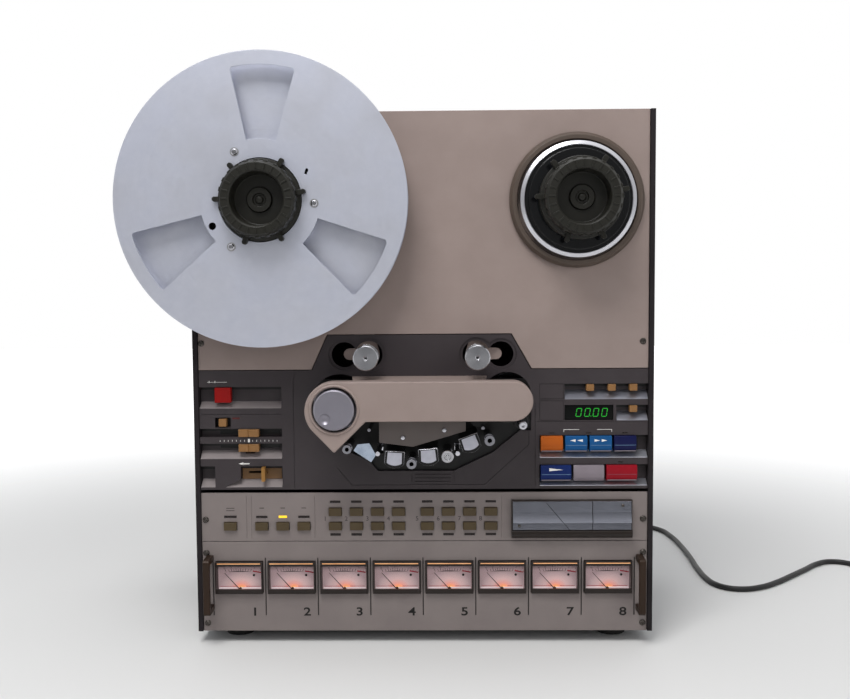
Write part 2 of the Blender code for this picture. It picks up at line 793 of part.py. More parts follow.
def capsule(x1, z1, radius1, x2, z2, radius2, steps):
    """The outline round two circles and the straight sides between them, anticlockwise."""
    heading = math.degrees(math.atan2(z2 - z1, x2 - x1))
    apart = math.hypot(x2 - x1, z2 - z1)
    lean = math.degrees(math.acos((radius1 - radius2) / apart))
    return (arc(x1, z1, radius1, heading + lean, heading + 360 - lean, steps)
            + arc(x2, z2, radius2, heading - lean, heading + lean, steps))


def cabinet_frame():
    """The cabinet: side walls, top, bottom, the plate that carries the motors, and four feet."""
    half = DECK_WIDTH / 2
    piece = block("cabinet_frame", (-half, -SIDE_PROUD, 0), (half, CABINET_DEPTH, DECK_HEIGHT))
    open_front = ((-WALL_FACE, -SIDE_PROUD - OVERRUN, -OVERRUN),
                  (WALL_FACE, PANEL_THICK + SEAT_GAP, DECK_HEIGHT + OVERRUN))
    cut(piece, block("frame_front_cut", *open_front))
    front_room = ((-WALL_FACE, -OVERRUN, PLATE_THICK),
                  (WALL_FACE, MOTOR_PLATE_FRONT, DECK_HEIGHT - PLATE_THICK))
    rear_room = ((-WALL_FACE, MOTOR_PLATE_REAR, PLATE_THICK),
                 (WALL_FACE, CABINET_DEPTH + OVERRUN, DECK_HEIGHT - PLATE_THICK))
    cut(piece, blocks("frame_room_cut", [front_room, rear_room]))
    cut(piece, rods("frame_shaft_holes", [(-REEL_X, REEL_Z), (REEL_X, REEL_Z)], SHAFT_RADIUS + SEAT_GAP,
                    MOTOR_PLATE_FRONT - OVERRUN, MOTOR_PLATE_REAR + OVERRUN, CAPSTAN_SIDES))
    cut(piece, rods("frame_capstan_hole", [(CAPSTAN_X, TRANSPORT_BASE + CAPSTAN_RISE)],
                    CAPSTAN_RADIUS + SEAT_GAP, MOTOR_PLATE_FRONT - OVERRUN, MOTOR_PLATE_REAR + OVERRUN,
                    CAPSTAN_SIDES))
    cut(piece, rods("frame_arm_holes", [arm_pivot(-1), arm_pivot(1)], ARM_SHAFT_RADIUS + SEAT_GAP,
                    MOTOR_PLATE_FRONT - OVERRUN, MOTOR_PLATE_REAR + OVERRUN, CAPSTAN_SIDES))
    for x in (-half + FOOT_INSET_X, half - FOOT_INSET_X):
        for y in (FOOT_INSET_Y, CABINET_DEPTH - FOOT_INSET_Y):
            fuse(piece, foot(x, y))
    return dress(piece, "case_grey")


def foot(x, y):
    """One round foot under the cabinet."""
    shape = bmesh.new()
    height = FOOT_HEIGHT + SINK
    place = Matrix.Translation((x, y, height / 2 - FOOT_HEIGHT))
    bmesh.ops.create_cone(shape, cap_ends=True, segments=FOOT_SIDES, radius1=FOOT_RADIUS,
                          radius2=FOOT_RADIUS, depth=height, matrix=place)
    mesh = bpy.data.meshes.new("foot")
    shape.to_mesh(mesh)
    shape.free()
    return new_piece("foot", mesh)


def rear_cover():
    """The removable back, with vents, two rows of sockets and the cord's exit."""
    front = CABINET_DEPTH + SEAT_GAP
    rear = front + COVER_THICK
    piece = block("rear_cover", (-DECK_WIDTH / 2, front, SEAT_GAP), (DECK_WIDTH / 2, rear, DECK_HEIGHT))
    vents = []
    for side in (-1, 1):
        for k in range(VENT_COUNT):
            x = side * REEL_X
            z = DECK_HEIGHT - VENT_DROP - k * VENT_PITCH
            vents.append(((x - VENT_WIDTH / 2, front - OVERRUN, z),
                          (x + VENT_WIDTH / 2, rear + OVERRUN, z + VENT_HEIGHT)))
    cut(piece, blocks("rear_vents", vents))
    sockets = [(JACK_FIRST_X + k * JACK_PITCH, z) for k in range(JACK_COUNT)
               for z in (JACK_ROW_LOW, JACK_ROW_HIGH)]
    fuse(piece, rods("rear_sockets", sockets, JACK_RADIUS, rear - SINK, rear + JACK_LENGTH, JACK_SIDES))
    cut(piece, rods("cord_exit_hole", [(CORD_EXIT_X, CORD_EXIT_Z)], CORD_DIAMETER / 2 + SEAT_GAP,
                    front - OVERRUN, rear + OVERRUN, RELIEF_SIDES))
    return dress(piece, "case_grey")


def upper_panel():
    """The beige upper panel with a base ring round each reel table and a notch for the head module."""
    low = TRANSPORT_TOP + SEAM
    shelf = TRANSPORT_TOP + NOTCH_RISE + SEAM
    outline = [(-PANEL_HALF, low), (NOTCH_BASE_LEFT - SEAM, low), (NOTCH_TOP_LEFT - SEAM, shelf),
               (NOTCH_TOP_RIGHT + SEAM, shelf), (NOTCH_BASE_RIGHT + SEAM, low), (PANEL_HALF, low),
               (PANEL_HALF, DECK_HEIGHT), (-PANEL_HALF, DECK_HEIGHT)]
    piece = slab("upper_panel", [outline], 0, PANEL_THICK)
    centres = [(-REEL_X, REEL_Z), (REEL_X, REEL_Z)]
    ring = [(BASE_RING_BORE, SINK), (BASE_RING_RADIUS, SINK), (BASE_RING_RADIUS, -BASE_RING_LIP),
            (BASE_RING_TOP_RADIUS, -BASE_RING_HEIGHT), (BASE_RING_BORE, -BASE_RING_HEIGHT)]
    for x, z in centres:
        fuse(piece, turned("base_ring", ring, x, z, TABLE_SIDES))
    cut(piece, rods("table_holes", centres, TABLE_HUB_RADIUS + SEAT_GAP, -OVERRUN,
                    PANEL_THICK + OVERRUN, TABLE_SIDES))
    return dress(piece, "warm_beige")


def roller_place(side):
    """Where a tension roller turns at rest: -1 is the left one and 1 the right one."""
    return side * ROLLER_X, TRANSPORT_BASE + ROLLER_RISE


def arm_pivot(side):
    """Where a tension arm turns: over the middle of its slot."""
    x, z = roller_place(side)
    half = math.radians(ARM_SWING_DEG / 2)
    return x + side * ARM_LENGTH * math.sin(half), z + ARM_LENGTH * math.cos(half)


def swung_place(side):
    """Where a tension roller is when its arm has swung all the way out."""
    x, z = roller_place(side)
    half = math.radians(ARM_SWING_DEG / 2)
    return x + side * 2 * ARM_LENGTH * math.sin(half), z


def slot_outline(side):
    """The keyhole slot that a tension roller's pin swings in: two lobes and a waist, anticlockwise."""
    lobes = [(*roller_place(side), SLOT_INNER_RADIUS), (*swung_place(side), SLOT_OUTER_RADIUS)]
    (left, left_z, left_r), (right, right_z, right_r) = sorted(lobes)
    bend_left = math.degrees(math.asin(SLOT_WAIST / 2 / left_r))
    bend_right = math.degrees(math.asin(SLOT_WAIST / 2 / right_r))
    return (arc(right, right_z, right_r, bend_right - 180, 180 - bend_right, OPENING_STEPS)
            + arc(left, left_z, left_r, bend_left, 360 - bend_left, OPENING_STEPS))


def head_opening():
    """The outline of the opening over the heads, the timing roller and the pinch roller, anticlockwise."""
    low = TRANSPORT_BASE + OPENING_LOW
    top = COVER_TOP - OPENING_TOP_DROP
    shelf = TRANSPORT_BASE + OPENING_SHELF_RISE
    pinch_z = TRANSPORT_BASE + OPENING_PINCH_RISE
    idler_z = TRANSPORT_BASE + KNOB_RISE
    pinch_end = 180 - math.degrees(math.asin((top - pinch_z) / OPENING_PINCH_RADIUS))
    idler_start = math.degrees(math.asin((top - idler_z) / OPENING_IDLER_RADIUS))
    return ([(GUIDE_LEFT_X, low + OPENING_LEFT_STEP), (OPENING_LEFT_X, low + OPENING_MIDDLE_STEP),
             (OPENING_FLOOR_LEFT, low), (OPENING_FLOOR_RIGHT, low),
             (OPENING_RIGHT_X, low + OPENING_LEFT_STEP), (CAPSTAN_X, shelf), (OPENING_FAR_X, shelf)]
            + arc(OPENING_PINCH_X, pinch_z, OPENING_PINCH_RADIUS, 0, pinch_end, OPENING_STEPS)
            + arc(KNOB_X, idler_z, OPENING_IDLER_RADIUS, idler_start, OPENING_IDLER_END_DEG, OPENING_STEPS))


def left_controls():
    """Middle points of the power button, the pitch switch, the two sliders and the lifter lever."""
    base = TRANSPORT_BASE
    return {
        "power": (LEFT_BAY_EDGE + POWER_INSET, base + (POWER_LOW + POWER_HIGH) / 2),
        "switch": (LEFT_BAY_EDGE + SWITCH_INSET, base + SWITCH_RISE),
        "fine": (LEFT_BAY_EDGE + SLIDER_INSET, base + FINE_RISE),
        "coarse": (LEFT_BAY_EDGE + SLIDER_INSET, base + COARSE_RISE),
        "lever": (LEFT_BAY_EDGE + LEVER_INSET, base + (LIFTER_LOW + LIFTER_HIGH) / 2),
    }


def tan_buttons():
    """Middle points of the three upper tan buttons and the reset button."""
    right = PANEL_HALF - TAN_INSET
    upper = TRANSPORT_BASE + (TOP_ROW_LOW + TOP_ROW_HIGH) / 2
    lower = TRANSPORT_BASE + (RESET_LOW + RESET_HIGH) / 2
    return [(right - 2 * TAN_PITCH, upper), (right - TAN_PITCH, upper), (right, upper), (right, lower)]


def key_places():
    """Name, left edge, width, low and high of each transport key."""
    start = PANEL_HALF - RIGHT_BAY_WIDTH + KEY_START
    rows = [(("edit", "rewind", "forward", "pause"), KEY_WIDTH, KEY_PITCH, KEY_ROW_LOW, KEY_ROW_HIGH),
            (("play", "stop", "record"), PLAY_WIDTH, PLAY_PITCH, PLAY_ROW_LOW, PLAY_ROW_HIGH)]
    places = []
    for names, width, pitch, low, high in rows:
        for k, name in enumerate(names):
            places.append((name, start + k * pitch, width, TRANSPORT_BASE + low + BUTTON_PLAY,
                           TRANSPORT_BASE + high - BUTTON_PLAY))
    return places


def display_corners(play):
    """Opposite x and z corners of the counter display, grown by some play."""
    right = PANEL_HALF - DISPLAY_INSET
    low = TRANSPORT_BASE + DISPLAY_LOW
    return right - DISPLAY_WIDTH - play, low - play, right + play, low + DISPLAY_HEIGHT + play


def through_hole(left, low, right, high):
    """Opposite corners of a hole through the transport panel, with play on every side."""
    return ((left - STEM_PLAY, -OVERRUN, low - STEM_PLAY),
            (right + STEM_PLAY, BAY_THICK + OVERRUN, high + STEM_PLAY))


def stem_hole(x, z, width, height):
    """A hole through the transport panel round a stem."""
    return through_hole(x - width / 2, z - height / 2, x + width / 2, z + height / 2)


def control_holes():
    """Every hole through the transport panel that a stem, a slider or the display passes."""
    at = left_controls()
    slide = SLIDER_STEM_WIDTH + 2 * SLIDER_TRAVEL
    lever_x, lever_z = at["lever"]
    holes = [stem_hole(*at["power"], POWER_STEM, POWER_STEM),
             stem_hole(*at["switch"], SWITCH_STEM, SWITCH_STEM),
             stem_hole(*at["fine"], slide, SLIDER_STEM_HEIGHT),
             stem_hole(*at["coarse"], slide, SLIDER_STEM_HEIGHT),
             through_hole(lever_x - LEVER_STEM_WIDTH / 2 - LEVER_TRAVEL, lever_z - LEVER_STEM_HEIGHT / 2,
                          lever_x + LEVER_STEM_WIDTH / 2, lever_z + LEVER_STEM_HEIGHT / 2),
             through_hole(*display_corners(0))]
    holes += [stem_hole(x, z, TAN_STEM, TAN_STEM) for x, z in tan_buttons()]
    holes += [stem_hole(left + width / 2, (low + high) / 2, KEY_STEM_WIDTH, KEY_STEM_HEIGHT)
              for _, left, width, low, high in key_places()]
    return holes


def recess(name, left, right, low, high, ledge):
    """A cutter for a recessed bay with a flat floor and a sloping ledge under it."""
    outline = [(-OVERRUN, low - ledge), (0, low - ledge), (BAY_DEPTH, low), (BAY_DEPTH, high),
               (-OVERRUN, high)]
    return bar(name, outline, left, right)


def wedge_outline():
    """The raised block beside the lifter lever, with one corner cut off."""
    left = LEFT_BAY_EDGE + WEDGE_INSET
    right = left + WEDGE_WIDTH
    low = TRANSPORT_BASE + LIFTER_LOW - LIFTER_LEDGE - SINK
    high = TRANSPORT_BASE + LIFTER_HIGH + SINK
    return [(left, low), (left + WEDGE_TOE, low), (right, low + WEDGE_CUT), (right, high), (left, high)]


def transport_panel():
    """The dark middle panel: control bays at both sides and the head module between them."""
    base, top = TRANSPORT_BASE, TRANSPORT_TOP
    outline = [(-PANEL_HALF, base), (PANEL_HALF, base), (PANEL_HALF, top), (NOTCH_BASE_RIGHT, top),
               (NOTCH_TOP_RIGHT, top + NOTCH_RISE), (NOTCH_TOP_LEFT, top + NOTCH_RISE),
               (NOTCH_BASE_LEFT, top), (-PANEL_HALF, top)]
    piece = slab("transport_panel", [outline], 0, BAY_THICK)
    cut(piece, block("module_rear_cut", (LEFT_BAY_EDGE + MODULE_LEFT, MODULE_THICK, base + MODULE_LIFT),
                     (MODULE_RIGHT, BAY_THICK + OVERRUN, top + NOTCH_RISE + OVERRUN)))
    left, left_end = LEFT_BAY_EDGE - OVERRUN, LEFT_BAY_EDGE + LEFT_BAY_WIDTH
    long_row, short_row = PANEL_HALF - RIGHT_BAY_WIDTH, PANEL_HALF - RIGHT_BAY_SHORT
    right = PANEL_HALF + OVERRUN
    half = SLIDER_HEIGHT / 2 + BUTTON_PLAY
    bays = [
        ("power_bay", left, left_end, POWER_LOW, POWER_HIGH, POWER_LEDGE),
        ("fine_bay", left, left_end, FINE_RISE - half, FINE_RISE + half, 0),
        ("coarse_bay", left, left_end, COARSE_RISE - half, COARSE_RISE + half, COARSE_LEDGE),
        ("lifter_bay", left, left_end, LIFTER_LOW, LIFTER_HIGH, LIFTER_LEDGE),
        ("top_bay", short_row, right, TOP_ROW_LOW, TOP_ROW_HIGH, TOP_ROW_LEDGE),
        ("reset_bay", PANEL_HALF - RESET_BAY_WIDTH, right, RESET_LOW, RESET_HIGH, RESET_LEDGE),
        ("key_bay", long_row, right, KEY_ROW_LOW, KEY_ROW_HIGH, KEY_ROW_LEDGE),
        ("play_bay", long_row, right, PLAY_ROW_LOW, PLAY_ROW_HIGH, PLAY_ROW_LEDGE),
    ]
    for name, start, end, low, high, ledge in bays:
        cut(piece, recess(name, start, end, base + low, base + high, ledge))
    x, z = left_controls()["switch"]
    cut(piece, block("switch_pocket", (x - SWITCH_POCKET_WIDTH / 2, -OVERRUN, z - SWITCH_POCKET_HEIGHT / 2),
                     (x + SWITCH_POCKET_WIDTH / 2, BAY_DEPTH, z + SWITCH_POCKET_HEIGHT / 2)))
    fuse(piece, slab("lever_wedge", [wedge_outline()], 0, BAY_DEPTH + SINK))
    cut(piece, slab("head_opening", [head_opening()], -OVERRUN, BAY_THICK + OVERRUN))
    for side in (-1, 1):
        cut(piece, slab("roller_slot", [slot_outline(side)], -OVERRUN, BAY_THICK + OVERRUN))
    cut(piece, blocks("control_holes", control_holes()))
    return dress(piece, "panel_brown")


def cap_buttons():
    """Middle points of every small button on the control panel."""
    upper = CONTROL_BASE + UPPER_CAP_RISE
    lower = CONTROL_BASE + LOWER_CAP_RISE
    places = [(REMOTE_X, lower)] + [(OUTPUT_FIRST_X + k * TRACK_PITCH, lower) for k in range(OUTPUT_COUNT)]
    for first in (TRACK_FIRST_X, TRACK_SECOND_X):
        places += [(first + k * TRACK_PITCH, z) for k in range(TRACK_GROUP) for z in (upper, lower)]
    return places


def cap_box(x, z, play, front, rear):
    """Opposite corners of a small button's cap, or of the hole round it, grown by some play."""
    half_w = SMALL_CAP_WIDTH / 2 + play
    half_h = SMALL_CAP_HEIGHT / 2 + play
    return (x - half_w, front, z - half_h), (x + half_w, rear, z + half_h)


def control_panel():
    """The narrow panel with the track buttons and, at its right, a ridged cover plate."""
    piece = block("control_panel", (-PANEL_HALF, 0, CONTROL_BASE), (PANEL_HALF, PANEL_THICK, CONTROL_TOP))
    cut(piece, blocks("cap_holes", [cap_box(x, z, STEM_PLAY, -OVERRUN, PANEL_THICK + OVERRUN)
                                    for x, z in cap_buttons()]))
    low = CONTROL_BASE + BADGE_LOW_RISE
    high = low + BADGE_HEIGHT
    plate = [(SINK, low), (-BADGE_FRAME, low), (-BADGE_FRAME, low + BADGE_HEIGHT * BADGE_LIP_SHARE),
             (-BADGE_RIDGE_PROUD, low + BADGE_HEIGHT * BADGE_RIDGE_SHARE),
             (-BADGE_MID_PROUD, low + BADGE_HEIGHT * BADGE_MID_SHARE), (-BADGE_FRAME, high), (SINK, high)]
    fuse(piece, bar("badge_plate", plate, BADGE_LEFT, BADGE_RIGHT))
    return dress(piece, "panel_grey")


def meter_middle(k):
    """The x of the middle of one level meter."""
    return METER_CENTRE_X + (k - (METER_COUNT - 1) / 2) * METER_PITCH


def meter_boxes(width, low, height, front, rear):
    """Opposite corners of the same box in every level meter."""
    return [((meter_middle(k) - width / 2, front, low), (meter_middle(k) + width / 2, rear, low + height))
            for k in range(METER_COUNT)]


def meter_panel():
    """The lowest panel, with a window for each level meter."""
    piece = block("meter_panel", (-PANEL_HALF, 0, 0), (PANEL_HALF, PANEL_THICK, METER_PANEL_HEIGHT))
    cut(piece, blocks("meter_windows", meter_boxes(METER_WIDTH + 2 * SEAT_GAP, METER_LOW - SEAT_GAP,
                                                   METER_HEIGHT + 2 * SEAT_GAP, -OVERRUN,
                                                   PANEL_THICK + OVERRUN)))
    return dress(piece, "panel_grey")


def meter_bank():
    """Eight level meter cases on one rail, each open at the front for its needle."""
    left = meter_middle(0) - METER_WIDTH / 2
    right = meter_middle(METER_COUNT - 1) + METER_WIDTH / 2
    piece = block("meter_bank", (left, RAIL_FRONT, RAIL_LOW),
                  (right, RAIL_FRONT + RAIL_THICK, RAIL_LOW + RAIL_HEIGHT))
    fuse(piece, blocks("meter_cases", meter_boxes(METER_WIDTH, METER_LOW, METER_HEIGHT, -METER_PROUD,
                                                  METER_REAR)))
    cut(piece, blocks("meter_faces", meter_boxes(METER_WINDOW_WIDTH, METER_LOW + METER_WINDOW_RISE,
                                                 METER_WINDOW_HEIGHT, -METER_PROUD - OVERRUN, 0)))
    cut(piece, blocks("meter_cavities", meter_boxes(METER_WINDOW_WIDTH, METER_LOW + METER_CAVITY_RISE,
                                                    METER_CAVITY_HEIGHT, METER_LIP - METER_PROUD,
                                                    METER_CAVITY_FLOOR)))
    pivots = [(meter_middle(k), METER_LOW + NEEDLE_PIVOT_RISE) for k in range(METER_COUNT)]
    cut(piece, rods("needle_bores", pivots, NEEDLE_SHAFT_RADIUS + NEEDLE_BORE_CLEARANCE,
                    METER_CAVITY_FLOOR - OVERRUN, NEEDLE_SHAFT_REACH + SINK, NEEDLE_SIDES))
    return dress(piece, "meter_case")


def needle(k):
    """One meter needle on its shaft, turned to its resting place at the left of the scale."""
    x, z = meter_middle(k), METER_LOW + NEEDLE_PIVOT_RISE
    name = "needle_" + str(k + 1)
    piece = rods(name, [(x, z)], NEEDLE_HUB_RADIUS, NEEDLE_HUB_FRONT, METER_CAVITY_FLOOR - SEAT_GAP,
                 NEEDLE_SIDES)
    lean = math.radians(NEEDLE_REST_DEG)
    along = Vector((-math.sin(lean), math.cos(lean)))
    across = Vector((along.y, -along.x)) * (NEEDLE_WIDTH / 2)
    foot_point, tip = Vector((x, z)), Vector((x, z)) + along * NEEDLE_LENGTH
    outline = [tuple(foot_point - across), tuple(foot_point + across), tuple(tip + across / 2),
               tuple(tip - across / 2)]
    fuse(piece, slab(name + "_pointer", [outline], NEEDLE_FRONT, NEEDLE_FRONT + NEEDLE_THICK))
    fuse(piece, rods(name + "_shaft", [(x, z)], NEEDLE_SHAFT_RADIUS, METER_CAVITY_FLOOR - SEAT_GAP - SINK,
                     NEEDLE_SHAFT_REACH, NEEDLE_SIDES))
    hang_on(piece, x, 0, z)
    return dress(piece, "needle_black")


def handle(side):
    """A small guard handle on the meter panel, with room for fingers behind its bar."""
    low, high = HANDLE_LOW, HANDLE_LOW + HANDLE_HEIGHT
    reach, corner = -HANDLE_REACH, HANDLE_CORNER
    inner = -HANDLE_REACH + HANDLE_BAR
    outline = [(-SEAT_GAP, low), (-SEAT_GAP, low + HANDLE_LEG), (inner, low + HANDLE_LEG),
               (inner, high - HANDLE_LEG), (-SEAT_GAP, high - HANDLE_LEG), (-SEAT_GAP, high)]
    outline += arc(reach + corner, high - corner, corner, 90, 180, 3)
    outline += arc(reach + corner, low + corner, corner, 180, 270, 3)
    x = side * (PANEL_HALF - HANDLE_INSET)
    name = "handle_left" if side < 0 else "handle_right"
    return dress(bar(name, outline, x - HANDLE_WIDTH / 2, x + HANDLE_WIDTH / 2), "handle_brown")


def track_buttons():
    """The small buttons of the control panel, moulded on one bank behind it."""
    places = cap_buttons()
    left = min(x for x, _ in places) - SMALL_CAP_WIDTH / 2 - BANK_MARGIN
    right = max(x for x, _ in places) + SMALL_CAP_WIDTH / 2 + BANK_MARGIN
    low = min(z for _, z in places) - SMALL_CAP_HEIGHT / 2 - BANK_MARGIN
    high = max(z for _, z in places) + SMALL_CAP_HEIGHT / 2 + BANK_MARGIN
    piece = block("track_buttons", (left, BANK_FRONT, low), (right, BANK_FRONT + BANK_THICK, high))
    fuse(piece, blocks("track_caps", [cap_box(x, z, 0, -SMALL_CAP_PROUD, BANK_FRONT + SINK)
                                      for x, z in places]))
    hang_on(piece, (left + right) / 2, BANK_FRONT, (low + high) / 2)
    return dress(piece, "tan_plastic")


def counter_buttons():
    """The three upper tan buttons and the reset button, on one bar behind the transport panel."""
    places = tan_buttons()
    high_z, low_z = places[0][1], places[-1][1]
    half = TAN_WIDTH / 2
    rear = TAN_BAR_FRONT + TAN_BAR_THICK
    piece = block("counter_buttons", (places[0][0] - half, TAN_BAR_FRONT, high_z - half),
                  (places[-1][0] + half, rear, high_z + half))
    fuse(piece, block("counter_bar_leg", (places[-1][0] - half, TAN_BAR_FRONT, low_z - half),
                      (places[-1][0] + half, rear, high_z)))
    cap_half = (TOP_ROW_HIGH - TOP_ROW_LOW) / 2 - BUTTON_PLAY
    caps = [((x - half, -CAP_PROUD, z - cap_half), (x + half, CAP_REAR, z + cap_half)) for x, z in places]
    stem = TAN_STEM / 2
    stems = [((x - stem, CAP_REAR - SINK, z - stem), (x + stem, TAN_BAR_FRONT + SINK, z + stem))
             for x, z in places]
    fuse(piece, blocks("counter_stems", stems))
    fuse(piece, blocks("counter_caps", caps))
    hang_on(piece, places[-1][0], 0, high_z)
    return dress(piece, "tan_plastic")


def plain_button(name, x, z, width, height, stem, reach, finish):
    """A square button with its stem through the panel."""
    piece = block(name, (x - width / 2, -CAP_PROUD, z - height / 2),
                  (x + width / 2, CAP_REAR, z + height / 2))
    edge = piece.modifiers.new("edge", "BEVEL")
    edge.width = KEY_BEVEL
    edge.segments = 1
    fuse(piece, block(name + "_stem", (x - stem / 2, CAP_REAR - SINK, z - stem / 2),
                      (x + stem / 2, reach, z + stem / 2)))
    hang_on(piece, x, 0, z)
    return dress(piece, finish)


def left_buttons():
    """The power button and the pitch switch."""
    at = left_controls()
    power_height = POWER_HIGH - POWER_LOW - 2 * BUTTON_PLAY
    plain_button("power_button", *at["power"], POWER_WIDTH, power_height, POWER_STEM, POWER_STEM_REACH,
                 "power_red")
    plain_button("pitch_switch", *at["switch"], SWITCH_SIZE, SWITCH_SIZE, SWITCH_STEM, SWITCH_STEM_REACH,
                 "tan_plastic")


def slider(name, x, z):
    """A pitch slider: a tan cap with a groove across its middle, and a stem in its slot."""
    piece = block(name, (x - SLIDER_WIDTH / 2, -CAP_PROUD, z - SLIDER_HEIGHT / 2),
                  (x + SLIDER_WIDTH / 2, CAP_REAR, z + SLIDER_HEIGHT / 2))
    half = SLIDER_GROOVE / 2
    cut(piece, block(name + "_groove", (x - half, -CAP_PROUD - OVERRUN, z - SLIDER_HEIGHT),
                     (x + half, -CAP_PROUD + SLIDER_GROOVE_DEPTH, z + SLIDER_HEIGHT)))
    fuse(piece, block(name + "_stem",
                      (x - SLIDER_STEM_WIDTH / 2, CAP_REAR - SINK, z - SLIDER_STEM_HEIGHT / 2),
                      (x + SLIDER_STEM_WIDTH / 2, SLIDER_STEM_REACH, z + SLIDER_STEM_HEIGHT / 2)))
    hang_on(piece, x, 0, z)
    return dress(piece, "tan_plastic")


def lifter_lever():
    """The thin tan lever that works the tape lifter."""
    x, z = left_controls()["lever"]
    low = TRANSPORT_BASE + LIFTER_LOW - LEVER_DROP
    high = TRANSPORT_BASE + LIFTER_HIGH - BUTTON_PLAY
    piece = block("lifter_lever", (x - LEVER_WIDTH / 2, -LEVER_PROUD, low),
                  (x + LEVER_WIDTH / 2, LEVER_SINK, high))
    fuse(piece, block("lever_stem", (x - LEVER_STEM_WIDTH / 2, LEVER_SINK - SINK, z - LEVER_STEM_HEIGHT / 2),
                      (x + LEVER_STEM_WIDTH / 2, LEVER_STEM_REACH, z + LEVER_STEM_HEIGHT / 2)))
    hang_on(piece, x, 0, z)
    return dress(piece, "tan_plastic")


def transport_key(name, left, width, low, high, finish):
    """A transport key with two front facets and its stem through the panel."""
    ridge = low + (high - low) * KEY_RIDGE_SHARE
    outline = [(CAP_REAR, low), (-KEY_PROUD, low), (-KEY_RIDGE_PROUD, ridge), (-KEY_PROUD, high),
               (CAP_REAR, high)]
    piece = bar(name, outline, left, left + width)
    edge = piece.modifiers.new("edge", "BEVEL")
    edge.width = KEY_BEVEL
    edge.segments = 1
    x, z = left + width / 2, (low + high) / 2
    fuse(piece, block(name + "_stem", (x - KEY_STEM_WIDTH / 2, CAP_REAR - SINK, z - KEY_STEM_HEIGHT / 2),
                      (x + KEY_STEM_WIDTH / 2, KEY_STEM_REACH, z + KEY_STEM_HEIGHT / 2)))
    hang_on(piece, x, 0, z)
    return dress(piece, finish)


def transport_keys():
    """The seven coloured keys."""
    finishes = {"edit": "edit_orange", "rewind": "spool_blue", "forward": "spool_blue",
                "pause": "pause_navy", "play": "play_blue", "stop": "stop_grey", "record": "record_crimson"}
    for name, left, width, low, high in key_places():
        transport_key(name + "_key", left, width, low, high, finishes[name])


def counter_display():
    """The dark window of the tape counter."""
    left, low, right, high = display_corners(0)
    return dress(block("counter_display", (left, DISPLAY_FACE, low), (right, DISPLAY_REAR, high)),
                 "display_black")


def head_base():
    """The plate that carries the heads, with its guides, shield plate, cover posts and capstan sleeve."""
    base = TRANSPORT_BASE
    opening = head_opening()
    left = min(x for x, _ in opening) - HEAD_BASE_MARGIN
    right = MODULE_RIGHT - SEAT_GAP
    top = max(z for _, z in opening) + HEAD_BASE_TOP_MARGIN
    piece = block("head_base", (left, HEAD_BASE_FRONT, base + MODULE_LIFT + SEAT_GAP),
                  (right, HEAD_BASE_REAR, top))
    guides = [(GUIDE_LEFT_X, GUIDE_LEFT_RISE, GUIDE_LEFT_RADIUS),
              (GUIDE_MIDDLE_X, GUIDE_MIDDLE_RISE, GUIDE_MIDDLE_RADIUS),
              (GUIDE_CAPPED_X, GUIDE_CAPPED_RISE, GUIDE_CAPPED_RADIUS),
              (GUIDE_RIGHT_X, GUIDE_RIGHT_RISE, GUIDE_RIGHT_RADIUS)]
    for x, rise, radius in guides:
        fuse(piece, rods("guide", [(x, base + rise)], radius, -PATH_FRONT, HEAD_BASE_FRONT + SINK,
                         GUIDE_SIDES))
    standoffs = [(STANDOFF_LEFT_X, base + STANDOFF_LEFT_RISE), (STANDOFF_RIGHT_X, base + STANDOFF_RIGHT_RISE)]
    fuse(piece, rods("standoffs", standoffs, STANDOFF_RADIUS, -SHIELD_FRONT + SHIELD_THICK / 2,
                     HEAD_BASE_FRONT + SINK, PIN_SIDES))
    shield = [(SHIELD_LEFT, base + SHIELD_LEFT_LOW), (SHIELD_POINT_X, base + SHIELD_POINT_LOW),
              (SHIELD_RIGHT, base + SHIELD_RIGHT_LOW), (SHIELD_RIGHT, base + SHIELD_TOP),
              (SHIELD_LEFT, base + SHIELD_TOP)]
    fuse(piece, slab("shield_plate", [shield], -SHIELD_FRONT, -SHIELD_FRONT + SHIELD_THICK))
    posts = [(POST_LEFT_X, COVER_TOP - POST_DROP), (POST_RIGHT_X, COVER_TOP - POST_DROP)]
    fuse(piece, rods("cover_posts", posts, POST_RADIUS, -COVER_FACE + COVER_WALL + SEAT_GAP,
                     HEAD_BASE_FRONT + SINK, PIN_SIDES))
    sleeve = [(CAPSTAN_X, base + CAPSTAN_RISE)]
    fuse(piece, rods("capstan_sleeve", sleeve, CAPSTAN_SLEEVE, -CAPSTAN_SLEEVE_FRONT,
                     HEAD_BASE_FRONT + SINK, GUIDE_SIDES))
    through = (-CAPSTAN_SLEEVE_FRONT - OVERRUN, HEAD_BASE_REAR + OVERRUN)
    cut(piece, rods("capstan_bore", sleeve, CAPSTAN_RADIUS + SEAT_GAP, *through, CAPSTAN_SIDES))
    cut(piece, rods("idler_bore", [(KNOB_X, base + KNOB_RISE)], IDLER_SHAFT_RADIUS + SEAT_GAP, *through,
                    CAPSTAN_SIDES))
    cut(piece, rods("pinch_bore", [pinch_pivot()], PINCH_SHAFT_RADIUS + SEAT_GAP, *through, CAPSTAN_SIDES))
    play = LIFT_PIN_RADIUS + SEAT_GAP
    slots = [((x - play, through[0], base + LIFT_PIN_RISE - LIFT_TRAVEL - play),
              (x + play, through[1], base + LIFT_PIN_RISE + play))
             for x in (LIFT_PIN_LEFT_X, LIFT_PIN_RIGHT_X)]
    cut(piece, blocks("lifter_slots", slots))
    return dress(piece, "black_plastic", smooth=True)


